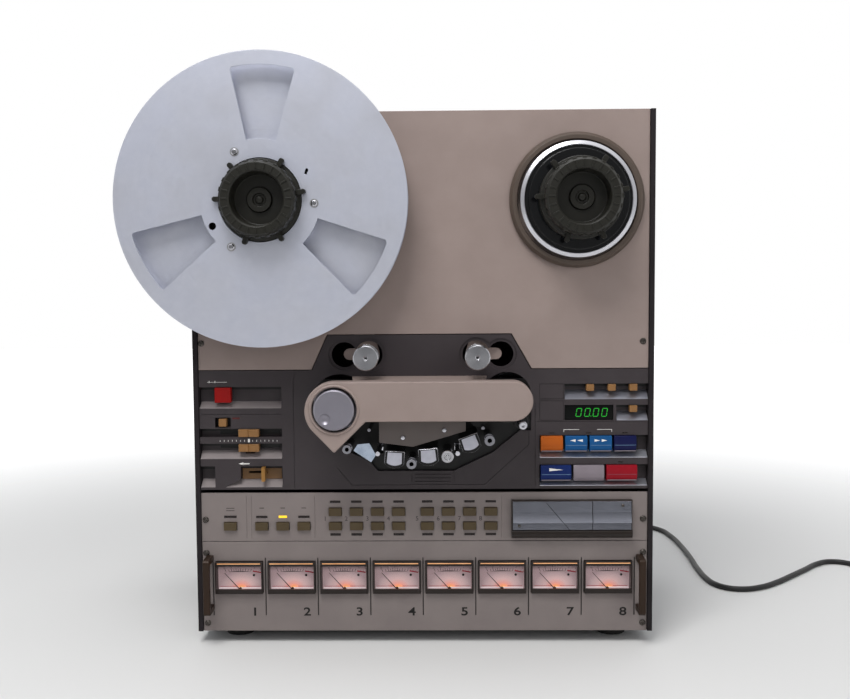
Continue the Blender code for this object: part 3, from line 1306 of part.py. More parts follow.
def head(name, x, rise, turn_deg):
    """A tape head with a rounded lower face, standing on the head base."""
    z = TRANSPORT_BASE + rise
    half_w, half_h = HEAD_WIDTH / 2, HEAD_HEIGHT / 2
    sag = HEAD_BULGE
    bend = (half_w ** 2 + sag ** 2) / (2 * sag)
    spread = math.degrees(math.asin(half_w / bend))
    outline = arc(0, -half_h + bend, bend, -90 - spread, -90 + spread, HEAD_STEPS)
    outline += [(half_w, half_h), (-half_w, half_h)]
    lean = math.radians(turn_deg)
    outline = [(x + u * math.cos(lean) - v * math.sin(lean), z + u * math.sin(lean) + v * math.cos(lean))
               for u, v in outline]
    return dress(slab(name, [outline], -HEAD_FRONT, HEAD_BASE_FRONT - SEAT_GAP), "bright_steel", smooth=True)


def heads():
    """The erase, record and playback heads."""
    head("erase_head", ERASE_X, ERASE_RISE, 0)
    head("record_head", RECORD_X, RECORD_RISE, 0)
    head("playback_head", PLAYBACK_X, PLAYBACK_RISE, PLAYBACK_TURN_DEG)


def cover_outline():
    """The outline of the head cover, anticlockwise from the lower end of its right lobe."""
    right_z = COVER_TOP - COVER_END_RADIUS
    lobe_z = COVER_TOP - COVER_LOBE_RADIUS
    tip_z = TRANSPORT_BASE + COVER_TIP_RISE
    lean = math.degrees(math.acos(COVER_LOBE_RADIUS / (lobe_z - tip_z)))
    return (arc(COVER_RIGHT_X, right_z, COVER_END_RADIUS, -90, 90, OPENING_STEPS)
            + arc(COVER_LEFT_X, lobe_z, COVER_LOBE_RADIUS, 90, 270 - lean, OPENING_STEPS)
            + [(COVER_LEFT_X, tip_z), (COVER_ELBOW_X, right_z - COVER_END_RADIUS)])


def head_cover():
    """The beige cover over the tape path: a shell that is open at the rear, with a skirt at its top."""
    outline = cover_outline()
    inner = inset(outline, COVER_WALL)
    piece = slab("head_cover", [outline], -COVER_FACE, -COVER_SIDE_REAR)
    cut(piece, slab("cover_hollow", [inner], -COVER_FACE + COVER_WALL, -COVER_SIDE_REAR + OVERRUN))
    skirt_top = COVER_TOP - SKIRT_DROP
    fuse(piece, block("cover_skirt", (SKIRT_LEFT, -COVER_FACE + COVER_WALL / 2, skirt_top - COVER_WALL),
                      (SKIRT_RIGHT, -SEAT_GAP, skirt_top)))
    knob_z = TRANSPORT_BASE + KNOB_RISE
    fuse(piece, rods("knob_lip", [(KNOB_X, knob_z)], KNOB_LIP_RADIUS, -COVER_FACE - KNOB_LIP_HEIGHT,
                     -COVER_FACE + COVER_WALL / 2, IDLER_SIDES))
    cut(piece, rods("knob_hole", [(KNOB_X, knob_z)], KNOB_HOLE, -COVER_FACE - OVERRUN,
                    -COVER_FACE + COVER_WALL + OVERRUN / 2, IDLER_SIDES))
    return dress(piece, "warm_beige", smooth=True)


def timing_roller():
    """The large idler that drives the counter, with the grey knob on its front."""
    knob_rear = -KNOB_REAR
    profile = [(0, PATH_SHAFT_REACH), (IDLER_SHAFT_RADIUS, PATH_SHAFT_REACH),
               (IDLER_SHAFT_RADIUS, -IDLER_REAR + IDLER_FLANGE_THICK),
               (IDLER_FLANGE_RADIUS, -IDLER_REAR + IDLER_FLANGE_THICK), (IDLER_FLANGE_RADIUS, -IDLER_REAR),
               (IDLER_RADIUS, -IDLER_REAR), (IDLER_RADIUS, -IDLER_FRONT), (IDLER_NECK_RADIUS, -IDLER_FRONT),
               (IDLER_NECK_RADIUS, knob_rear), (KNOB_RADIUS, knob_rear),
               (KNOB_RADIUS, -KNOB_FACE + KNOB_EDGE), (KNOB_RADIUS - KNOB_EDGE, -KNOB_FACE), (0, -KNOB_FACE)]
    piece = turned("timing_roller", profile, KNOB_X, TRANSPORT_BASE + KNOB_RISE, IDLER_SIDES)
    return dress(piece, "knob_grey", smooth=True)


def capstan():
    """The capstan shaft with its flywheel, from the tip in the tape path to the bore of its motor."""
    profile = [(0, CAPSTAN_SHAFT_REACH), (CAPSTAN_RADIUS, CAPSTAN_SHAFT_REACH),
               (CAPSTAN_RADIUS, FLYWHEEL_REAR), (FLYWHEEL_RADIUS, FLYWHEEL_REAR),
               (FLYWHEEL_RADIUS, FLYWHEEL_FRONT), (CAPSTAN_RADIUS, FLYWHEEL_FRONT),
               (CAPSTAN_RADIUS, -CAPSTAN_TIP), (0, -CAPSTAN_TIP)]
    piece = turned("capstan", profile, CAPSTAN_X, TRANSPORT_BASE + CAPSTAN_RISE, FLYWHEEL_SIDES)
    return dress(piece, "bright_steel", smooth=True)


def pinch_pivot():
    """Where the pinch arm turns: square to the line from the pinch roller to the capstan."""
    line = Vector((CAPSTAN_X - PINCH_X, CAPSTAN_RISE - PINCH_RISE)).normalized()
    return PINCH_X + line.y * PINCH_ARM_LENGTH, TRANSPORT_BASE + PINCH_RISE - line.x * PINCH_ARM_LENGTH


def pinch_arm():
    """The arm behind the pinch roller, with its own shaft and the roller's axle."""
    pivot_x, pivot_z = pinch_pivot()
    roller = (PINCH_X, TRANSPORT_BASE + PINCH_RISE)
    front = -PINCH_REAR + SEAT_GAP
    rear = front + PINCH_ARM_THICK
    outline = capsule(pivot_x, pivot_z, PINCH_ARM_WIDTH / 2, *roller, PINCH_ARM_WIDTH / 2, 8)
    piece = slab("pinch_arm", [outline], front, rear)
    fuse(piece, rods("pinch_shaft", [(pivot_x, pivot_z)], PINCH_SHAFT_RADIUS, rear - SINK, PATH_SHAFT_REACH,
                     CAPSTAN_SIDES))
    fuse(piece, rods("pinch_axle", [roller], PINCH_AXLE_RADIUS, -PINCH_FRONT - SINK, front + SINK, PIN_SIDES))
    hang_on(piece, pivot_x, 0, pivot_z)
    return dress(piece, "motor_steel")


def pinch_roller():
    """The rubber roller that presses the tape on the capstan."""
    bore = PINCH_AXLE_RADIUS + SEAT_GAP
    profile = [(bore, -PINCH_REAR), (PINCH_RADIUS, -PINCH_REAR), (PINCH_RADIUS, -PINCH_FRONT),
               (bore, -PINCH_FRONT)]
    piece = turned("pinch_roller", profile, PINCH_X, TRANSPORT_BASE + PINCH_RISE, PINCH_SIDES)
    return dress(piece, "black_rubber", smooth=True)


def tape_lifter():
    """Two pins on a bar behind the head base, which push the tape off the heads."""
    z = TRANSPORT_BASE + LIFT_PIN_RISE
    front = HEAD_BASE_REAR + SEAT_GAP
    piece = block("tape_lifter", (LIFT_PIN_LEFT_X - LIFT_BAR_END, front, z - LIFT_BAR_HALF_HEIGHT),
                  (LIFT_PIN_RIGHT_X + LIFT_BAR_END, front + LIFT_BAR_THICK, z + LIFT_BAR_HALF_HEIGHT))
    fuse(piece, rods("lifter_pins", [(LIFT_PIN_LEFT_X, z), (LIFT_PIN_RIGHT_X, z)], LIFT_PIN_RADIUS,
                     -LIFT_PIN_FRONT, front + SINK, PIN_SIDES))
    hang_on(piece, LIFT_PIN_LEFT_X, 0, z)
    return dress(piece, "bright_steel")


def tension_arm(side):
    """A tension arm behind the panels, with its shaft, an ear in the slot and the pin of its roller."""
    pivot_x, pivot_z = arm_pivot(side)
    x, z = roller_place(side)
    rear = ARM_FRONT + ARM_THICK
    name = "supply_tension_arm" if side < 0 else "takeup_tension_arm"
    arm_line = capsule(pivot_x, pivot_z, ARM_HUB_RADIUS, x, z, ARM_EYE_RADIUS, 8)
    ear_line = capsule(x, z, ARM_EAR_RADIUS + SINK, x + side * ARM_EAR_REACH, z, ARM_EAR_RADIUS, 6)
    piece = slab(name, [arm_line], ARM_FRONT, rear)
    fuse(piece, slab(name + "_ear", [ear_line], ARM_FRONT + SINK / 2, rear - SINK / 2))
    fuse(piece, rods(name + "_pin", [(x, z)], ARM_PIN_RADIUS, -ARM_PIN_TIP, ARM_FRONT + SINK, PIN_SIDES))
    fuse(piece, rods(name + "_shaft", [(pivot_x, pivot_z)], ARM_SHAFT_RADIUS, rear - SINK, ARM_SHAFT_REACH,
                     CAPSTAN_SIDES))
    hang_on(piece, pivot_x, 0, pivot_z)
    return dress(piece, "warm_beige")


def arm_roller(side):
    """The bright capped roller on a tension arm's pin."""
    x, z = roller_place(side)
    bore = ARM_PIN_RADIUS + SEAT_GAP
    floor = -ARM_PIN_TIP - SINK
    profile = [(0, floor), (bore, floor), (bore, -ROLLER_REAR), (ROLLER_FLANGE_RADIUS, -ROLLER_REAR),
               (ROLLER_FLANGE_RADIUS, -ROLLER_REAR - ROLLER_FLANGE_THICK),
               (ROLLER_BODY_RADIUS, -ROLLER_REAR - ROLLER_FLANGE_THICK),
               (ROLLER_BODY_RADIUS, -ROLLER_CAP_REAR), (ROLLER_CAP_RADIUS, -ROLLER_CAP_REAR),
               (ROLLER_CAP_RADIUS, -ROLLER_FACE + ROLLER_CHAMFER),
               (ROLLER_CAP_RADIUS - ROLLER_CHAMFER, -ROLLER_FACE), (0, -ROLLER_FACE)]
    name = "supply_arm_roller" if side < 0 else "takeup_arm_roller"
    return dress(turned(name, profile, x, z, ROLLER_SIDES), "bright_steel", smooth=True)


def reel_table(side):
    """A reel table: its platter with a bright ring, the seat, the spindle and the motor's shaft."""
    tip = -TABLE_SEAT_FACE - SPINDLE_LENGTH
    ring_inner = TABLE_RADIUS - TABLE_RING_WIDTH
    profile = [(0, SHAFT_REACH), (SHAFT_RADIUS, SHAFT_REACH), (SHAFT_RADIUS, TABLE_HUB_REACH),
               (TABLE_HUB_RADIUS, TABLE_HUB_REACH), (TABLE_HUB_RADIUS, -TABLE_REAR_FACE),
               (TABLE_RADIUS, -TABLE_REAR_FACE), (TABLE_RADIUS, -TABLE_RING_FACE),
               (ring_inner, -TABLE_RING_FACE), (ring_inner, -TABLE_DISC_FACE),
               (TABLE_SEAT_RADIUS, -TABLE_DISC_FACE), (TABLE_SEAT_RADIUS, -TABLE_SEAT_FACE),
               (SPINDLE_RADIUS, -TABLE_SEAT_FACE), (SPINDLE_RADIUS, tip), (0, tip)]
    name = "supply_reel_table" if side < 0 else "takeup_reel_table"
    return dress(turned(name, profile, side * REEL_X, REEL_Z, TABLE_SIDES), "black_plastic", smooth=True)


def hub_adapter(side):
    """A twist lock hub adapter: a ribbed ring with a deep cup, a stepped cap and six lugs."""
    x = side * REEL_X
    bore = SPINDLE_RADIUS + SEAT_GAP
    bore_end = -TABLE_SEAT_FACE - SPINDLE_LENGTH - SINK
    face = -ADAPTER_FACE
    floor = face + ADAPTER_CUP_DEPTH
    cap, nose = floor - ADAPTER_CAP_HEIGHT, floor - ADAPTER_NOSE_HEIGHT
    profile = [(0, bore_end), (bore, bore_end), (bore, -REEL_REAR), (ADAPTER_BODY_RADIUS, -REEL_REAR),
               (ADAPTER_BODY_RADIUS, -REEL_FRONT), (ADAPTER_RADIUS, -REEL_FRONT - SINK),
               (ADAPTER_RADIUS, face + ADAPTER_CHAMFER), (ADAPTER_RADIUS - ADAPTER_CHAMFER, face),
               (ADAPTER_CUP_RADIUS, face), (ADAPTER_CUP_RADIUS, floor), (ADAPTER_CAP_RADIUS, floor),
               (ADAPTER_CAP_RADIUS, cap), (ADAPTER_NOSE_RADIUS, cap), (ADAPTER_NOSE_RADIUS, nose), (0, nose)]
    name = "supply_hub_adapter" if side < 0 else "takeup_hub_adapter"
    piece = turned(name, profile, x, REEL_Z, ADAPTER_SIDES)
    inner = ADAPTER_RADIUS - LUG_WIDTH / 2
    for k in range(LUG_COUNT):
        turn = math.radians(LUG_FIRST_DEG + 360 * k / LUG_COUNT)
        along, across = Vector((math.cos(turn), math.sin(turn))), Vector((-math.sin(turn), math.cos(turn)))
        centre = Vector((x, REEL_Z))
        corners = [centre + along * r + across * s for r, s in
                   [(inner, -LUG_WIDTH / 2), (LUG_REACH, -LUG_WIDTH / 2), (LUG_REACH, LUG_WIDTH / 2),
                    (inner, LUG_WIDTH / 2)]]
        lug_rear = -REEL_FRONT - LUG_LIFT
        fuse(piece, slab(name + "_lug", [[tuple(c) for c in corners]], lug_rear - LUG_DEPTH, lug_rear))
    return dress(piece, "black_plastic", smooth=True)


def flange_outlines(turn_deg):
    """The outlines of a reel flange: its rim, its bore and three windows."""
    x, z = -REEL_X, REEL_Z
    outlines = [circle(x, z, REEL_RADIUS, REEL_SIDES), circle(x, z, REEL_BORE, TABLE_SIDES)]
    for k in range(3):
        middle = WINDOW_FIRST_DEG + turn_deg + 120 * k
        low, high = middle - WINDOW_HALF_DEG, middle + WINDOW_HALF_DEG
        inner = arc(x, z, WINDOW_INNER, high, low, 4)
        outer = arc(x, z, WINDOW_OUTER, low, high, 8)
        start = rounded_corner(inner[-1], outer[0], outer[1], WINDOW_CORNER, 3)
        end = rounded_corner(outer[-2], outer[-1], inner[0], WINDOW_CORNER, 3)
        outlines.append(inner + start + outer[1:-1] + end)
    return outlines


def reel_rear_flange():
    """The rear flange of the supply reel with its hub."""
    rear = -REEL_REAR
    hub_front = -REEL_FRONT + FLANGE_THICK + SEAT_GAP
    piece = slab("reel_rear_flange", flange_outlines(WINDOW_TURN_DEG), rear - FLANGE_THICK, rear)
    hub = [circle(-REEL_X, REEL_Z, radius, TABLE_SIDES) for radius in (REEL_HUB_RADIUS, REEL_BORE)]
    fuse(piece, slab("reel_hub", hub, hub_front, rear - FLANGE_THICK / 2))
    hang_on(piece, -REEL_X, 0, REEL_Z)
    return dress(piece, "reel_aluminium")


def reel_front_flange():
    """The front flange of the supply reel, with its three windows."""
    piece = slab("reel_front_flange", flange_outlines(0), -REEL_FRONT, -REEL_FRONT + FLANGE_THICK)
    hang_on(piece, -REEL_X, 0, REEL_Z)
    return dress(piece, "reel_aluminium")


def motor(name, x, z, radius, length, shaft_radius, shaft_reach):
    """A motor behind the motor plate, with a bore for the shaft that it turns."""
    front = MOTOR_PLATE_REAR + SEAT_GAP
    rear = front + length
    bore = shaft_radius + SEAT_GAP
    bore_end = shaft_reach + MOTOR_BORE_EXTRA
    cap_radius = radius * MOTOR_CAP_RADIUS_SHARE
    profile = [(0, rear), (cap_radius, rear), (cap_radius, rear - MOTOR_CAP_LENGTH),
               (radius, rear - MOTOR_CAP_LENGTH), (radius, front), (bore, front), (bore, bore_end),
               (0, bore_end)]
    return dress(turned(name, profile, x, z, MOTOR_SIDES), "motor_steel", smooth=True)


def motors():
    """The two reel motors and the capstan motor."""
    for name, x in (("supply_motor", -REEL_X), ("takeup_motor", REEL_X)):
        motor(name, x, REEL_Z, REEL_MOTOR_RADIUS, REEL_MOTOR_LENGTH, SHAFT_RADIUS, SHAFT_REACH)
    motor("capstan_motor", CAPSTAN_X, TRANSPORT_BASE + CAPSTAN_RISE, CAPSTAN_MOTOR_RADIUS,
          CAPSTAN_MOTOR_LENGTH, CAPSTAN_RADIUS, CAPSTAN_SHAFT_REACH)


def power_supply():
    """The power supply board with its transformer and heat sink, on feet in the bottom of the cabinet."""
    low = PLATE_THICK + SEAT_GAP
    board_low = low + BOARD_LIFT
    board_top = board_low + BOARD_THICK
    piece = block("power_supply_board", (BOARD_LEFT, BOARD_FRONT, board_low),
                  (BOARD_RIGHT, BOARD_REAR, board_top))
    feet = [((x, y, low), (x + BOARD_FOOT, y + BOARD_FOOT, board_low + SINK))
            for x in (BOARD_LEFT + BOARD_INSET, BOARD_RIGHT - BOARD_INSET - BOARD_FOOT)
            for y in (BOARD_FRONT + BOARD_INSET, BOARD_REAR - BOARD_INSET - BOARD_FOOT)]
    fuse(piece, blocks("board_feet", feet))
    middle_y = (BOARD_FRONT + BOARD_REAR) / 2
    start = BOARD_LEFT + 2 * BOARD_FOOT
    half = TRANSFORMER_DEPTH / 2
    coil_block = ((start, middle_y - half, board_top - SINK),
                  (start + TRANSFORMER_WIDTH, middle_y + half, board_top + TRANSFORMER_HEIGHT))
    sink_x = BOARD_RIGHT - 2 * BOARD_FOOT
    heat_sink = ((sink_x - HEATSINK_WIDTH, BOARD_FRONT + 2 * BOARD_FOOT, board_top - SINK),
                 (sink_x, BOARD_REAR - 2 * BOARD_FOOT, board_top + HEATSINK_HEIGHT))
    fuse(piece, blocks("board_parts", [coil_block, heat_sink]))
    return dress(piece, "board_green")


def cord_floor():
    """The height of the middle of the cord where it lies on the floor, in the deck's own frame."""
    return CORD_DIAMETER / 2 + FLOOR_LIFT - FOOT_HEIGHT


def strain_relief():
    """The tapered relief on the rear cover that the mains cord comes out of."""
    cover_front = CABINET_DEPTH + SEAT_GAP
    base = cover_front + COVER_THICK + SEAT_GAP
    stub = CORD_DIAMETER / 2
    tip = base + RELIEF_LENGTH
    profile = [(0, tip), (RELIEF_TIP_RADIUS, tip), (RELIEF_BASE_RADIUS, base), (stub, base),
               (stub, cover_front), (0, cover_front)]
    return dress(turned("strain_relief", profile, CORD_EXIT_X, CORD_EXIT_Z, RELIEF_SIDES), "black_rubber",
                 smooth=True)


def smooth_route(points, step):
    """Points about a step apart on a smooth curve through the given points, with straight ends."""
    fine = []
    for a, b, c, d in zip(points, points[1:], points[2:], points[3:]):
        for k in range(ROUTE_SAMPLES):
            t = k / ROUTE_SAMPLES
            fine.append(0.5 * (2 * b + (c - a) * t + (2 * a - 5 * b + 4 * c - d) * t ** 2
                               + (3 * b - a - 3 * c + d) * t ** 3))
    fine.append(points[-2])
    travelled = [0]
    for a, b in zip(fine, fine[1:]):
        travelled.append(travelled[-1] + (b - a).length)
    count = round(travelled[-1] / step)
    chosen, k = [], 0
    for n in range(count):
        goal = travelled[-1] * n / count
        while travelled[k + 1] < goal:
            k += 1
        share = (goal - travelled[k]) / (travelled[k + 1] - travelled[k])
        chosen.append(fine[k].lerp(fine[k + 1], share))
    return [points[0]] + chosen + [fine[-1], points[-1]]


def tube(name, points, resolution):
    """A round cord along points, with closed ends."""
    curve = bpy.data.curves.new(name, "CURVE")
    curve.dimensions = "3D"
    curve.bevel_depth = CORD_DIAMETER / 2
    curve.bevel_resolution = resolution
    curve.use_fill_caps = True
    line = curve.splines.new("POLY")
    line.points.add(len(points) - 1)
    for point, place in zip(line.points, points):
        point.co = (*place, 1)
    piece = bpy.data.objects.new(name, curve)
    DECK.objects.link(piece)
    piece.parent = CARRIER
    curve.materials.append(material("black_rubber"))
    return piece


def route_length(points):
    """The length along a list of points."""
    return sum((b - a).length for a, b in zip(points, points[1:]))


def coil_points():
    """The cord's coil: a layer of loops winding in, a climb, a layer winding out, and a straight tail."""
    floor = cord_floor()
    start_radius = COIL_RADIUS + COIL_PITCH * COIL_LAYER_TURNS / 2
    inner_radius = start_radius - COIL_PITCH * COIL_LAYER_TURNS
    start_turn = -0.25
    steps_low = COIL_LAYER_TURNS * COIL_POINTS
    steps_climb = COIL_POINTS // 2
    steps_high = round(COIL_TOP_TURNS * COIL_POINTS)
    points = []
    for k in range(steps_low + steps_climb + steps_high + 1):
        turn = k / COIL_POINTS
        climbed = min(max((k - steps_low) / steps_climb, 0), 1)
        if k <= steps_low:
            radius = start_radius - COIL_PITCH * turn
        elif k <= steps_low + steps_climb:
            radius = inner_radius - COIL_PITCH * (0.25 - abs(turn - COIL_LAYER_TURNS - 0.25))
        else:
            radius = inner_radius + COIL_PITCH * (turn - COIL_LAYER_TURNS - 0.5)
        angle = math.tau * (start_turn + turn)
        points.append(Vector((COIL_X + radius * math.cos(angle), COIL_Y + radius * math.sin(angle),
                              floor + COIL_LAYER * climbed)))
    lead_in = points[0] - Vector((CORD_DIAMETER, 0, 0))
    tail_start = points[-1]
    along = (points[-1] - points[-2]).normalized()
    along = Vector((along.x, along.y, 0)).normalized()
    drop = tail_start.z - (PLUG_THICK / 2 + FLOOR_LIFT - FOOT_HEIGHT)
    tail = []
    for k in range(1, COIL_TAIL_STEPS + 1):
        share = k / COIL_TAIL_STEPS
        eased = min(1, max(0, 2 * share - 1) * 2) if share < 1 else 1
        tail.append(tail_start + along * (COIL_TAIL * share) - Vector((0, 0, drop * eased)))
    return [lead_in] + points + tail, along


def least_gap(points, diameter):
    """The least space between parts of the coil that aren't next to each other along it."""
    skip = round(COIL_POINTS / 2)
    return min((a - b).length for k, a in enumerate(points) for b in points[k + skip:]) - diameter


def mains_cord():
    """The free cord, its coil and its plug, with their lengths printed."""
    relief_tip = CABINET_DEPTH + SEAT_GAP + COVER_THICK + SEAT_GAP + RELIEF_LENGTH
    exit_point = Vector((CORD_EXIT_X, relief_tip + SEAT_GAP, CORD_EXIT_Z))
    coil, heading = coil_points()
    coil_end = coil[0] - Vector((SEAT_GAP, 0, 0))
    route = [exit_point, exit_point + Vector((0, CORD_DIAMETER, 0))]
    route += [Vector((x, y, height - FOOT_HEIGHT)) for x, y, height in CORD_ROUTE]
    route += [coil_end - Vector((CORD_DIAMETER, 0, 0)), coil_end]
    points = smooth_route(route, CORD_STEP)
    tube("mains_cord", points, 2)
    tube("cord_coil", coil, 1)
    print("free cord length", round(route_length(points), 4))
    print("coiled cord length", round(route_length(coil), 4))
    print("least gap in the coil", round(least_gap(coil, CORD_DIAMETER), 5))
    return mains_plug(coil[-1], heading)


def mains_plug(end, heading):
    """A plug with two flat blades, lying on the floor past the end of the coil."""
    turn = Matrix.Rotation(math.atan2(heading.y, heading.x), 4, "Z")
    frame = Matrix.Translation(end + heading * SEAT_GAP) @ turn
    neck = PLUG_LENGTH * PLUG_NECK_SHARE
    outline = [(0, -PLUG_NECK_WIDTH / 2), (neck, -PLUG_WIDTH / 2), (PLUG_LENGTH, -PLUG_WIDTH / 2),
               (PLUG_LENGTH, PLUG_WIDTH / 2), (neck, PLUG_WIDTH / 2), (0, PLUG_NECK_WIDTH / 2)]
    piece = extruded("mains_plug", [outline], PLUG_THICK, frame)
    for side in (-1, 1):
        middle = side * PRONG_SPREAD / 2
        start, tip = PLUG_LENGTH - SINK, PLUG_LENGTH + PRONG_LENGTH
        low, high = middle - PRONG_WIDTH / 2, middle + PRONG_WIDTH / 2
        blade = [(start, low), (tip, low), (tip, high), (start, high)]
        fuse(piece, extruded("prong", [blade], PRONG_HEIGHT, frame))
    return dress(piece, "black_rubber")


def main():
    """Build the deck from its cabinet outwards."""
    cabinet_frame()
    rear_cover()
    upper_panel()
    transport_panel()
    control_panel()
    meter_panel()
    meter_bank()
    for k in range(METER_COUNT):
        needle(k)
    for side in (-1, 1):
        handle(side)
        tension_arm(side)
        arm_roller(side)
        reel_table(side)
        hub_adapter(side)
    reel_rear_flange()
    reel_front_flange()
    track_buttons()
    counter_buttons()
    left_buttons()
    at = left_controls()
    slider("pitch_fine_slider", *at["fine"])
    slider("pitch_coarse_slider", *at["coarse"])
    lifter_lever()
    transport_keys()
    counter_display()
    head_base()
    heads()
    head_cover()
    timing_roller()
    capstan()
    pinch_arm()
    pinch_roller()
    tape_lifter()
    motors()
    power_supply()
    strain_relief()
    mains_cord()


if __name__ == "__main__":
    main()
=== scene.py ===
"""A reel to reel tape deck, dressed for its picture.

Every piece is modelled in the deck's own frame, in metres: x is zero in the middle of the cabinet, y is zero on
the front of the panels and grows towards the rear, and z is zero at the lower edge of the panels. SHIFT then
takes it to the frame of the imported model.
"""
import logging
import math
from dataclasses import dataclass, replace
from enum import Enum
from typing import Any, Callable, Sequence

import bmesh
import bpy
from mathutils import Matrix, Vector
from mathutils.geometry import interpolate_bezier


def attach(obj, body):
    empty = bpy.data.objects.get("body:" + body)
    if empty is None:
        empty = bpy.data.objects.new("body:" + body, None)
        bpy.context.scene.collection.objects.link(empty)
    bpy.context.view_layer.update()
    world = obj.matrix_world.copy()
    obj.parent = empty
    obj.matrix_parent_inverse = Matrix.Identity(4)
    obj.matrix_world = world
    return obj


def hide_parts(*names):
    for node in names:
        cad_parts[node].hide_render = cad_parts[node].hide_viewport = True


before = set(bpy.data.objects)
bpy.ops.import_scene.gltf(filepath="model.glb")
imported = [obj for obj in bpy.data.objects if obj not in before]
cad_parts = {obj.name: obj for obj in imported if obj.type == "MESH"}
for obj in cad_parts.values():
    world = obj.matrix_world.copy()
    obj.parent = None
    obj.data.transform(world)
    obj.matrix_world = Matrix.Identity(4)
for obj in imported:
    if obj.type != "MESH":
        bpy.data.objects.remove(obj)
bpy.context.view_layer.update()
LOG = logging.getLogger("tape_deck")

Point = tuple[float, float]
Outline = list[Point]
Corner = tuple[float, float, float]
Piece = bpy.types.Object
Tree = bpy.types.NodeTree
Node = bpy.types.Node
Socket = bpy.types.NodeSocket

SHIFT = Vector((0.030075, -0.09215, 0.012))
# Points closer than this are one; cutters reach this far past a face; from this metallic value the IOR stays
WELD = 0.000001
OVERRUN = 0.004
METAL_FROM = 0.5

# Sizes that several pieces share
PANEL_HALF = 0.2130
PANEL_THICK = 0.003
DECK_HEIGHT = 0.494
BASE = 0.1378
TOP = 0.2521
CONTROL_BASE = 0.0879
CONTROL_TOP = 0.1345
BAY_THICK = 0.012
BAY_DEPTH = 0.009
REEL_X = 0.1448
REEL_Z = 0.4102
COVER_TOP = 0.2464
KNOB_X = -0.0785
KNOB_Z = 0.2215
CAPSTAN_X = 0.0918
CAPSTAN_Z = 0.2046
ROLLER_X = 0.0508
ROLLER_Z = 0.2666
CARD_FACE = 0.0040
BASE_REAR = 0.0073


def linear(code: str) -> tuple[float, float, float, float]:
    """Turn an sRGB hex value, such as "#A2938A", into a linear colour with an alpha of 1."""
    parts = [int(code[k:k + 2], 16) / 255 for k in (1, 3, 5)]
    return (*[c / 12.92 if c <= 0.04045 else ((c + 0.055) / 1.055) ** 2.4 for c in parts], 1.0)


def add(tree: Tree, kind: str, settings: dict[str, Any] | None = None,
        values: dict[Any, Any] | None = None, links: dict[Any, Socket] | None = None) -> Node:
    """Add a node with its settings, its fixed values and its links.

    Args:
        tree: The node tree.
        kind: The node's type.
        settings: Properties of the node.
        values: Fixed values of its inputs, by name or number.
        links: The outputs that feed its inputs, by name or number.

    Returns:
        The new node.
    """
    node = tree.nodes.new(kind)
    for name, value in (settings or {}).items():
        setattr(node, name, value)
    for name, value in (values or {}).items():
        node.inputs[name].default_value = value
    for name, source in (links or {}).items():
        tree.links.new(source, node.inputs[name])
    return node


class Grain(Enum):
    """How the fine texture of a surface lies: its scale along x, y and z, or rings about an axis along y."""

    EVEN = (1.0, 1.0, 1.0)
    ALONG_X = (0.03, 1.0, 1.0)
    ALONG_Z = (1.0, 1.0, 0.03)
    RINGS = (0.0, 0.0, 0.0)


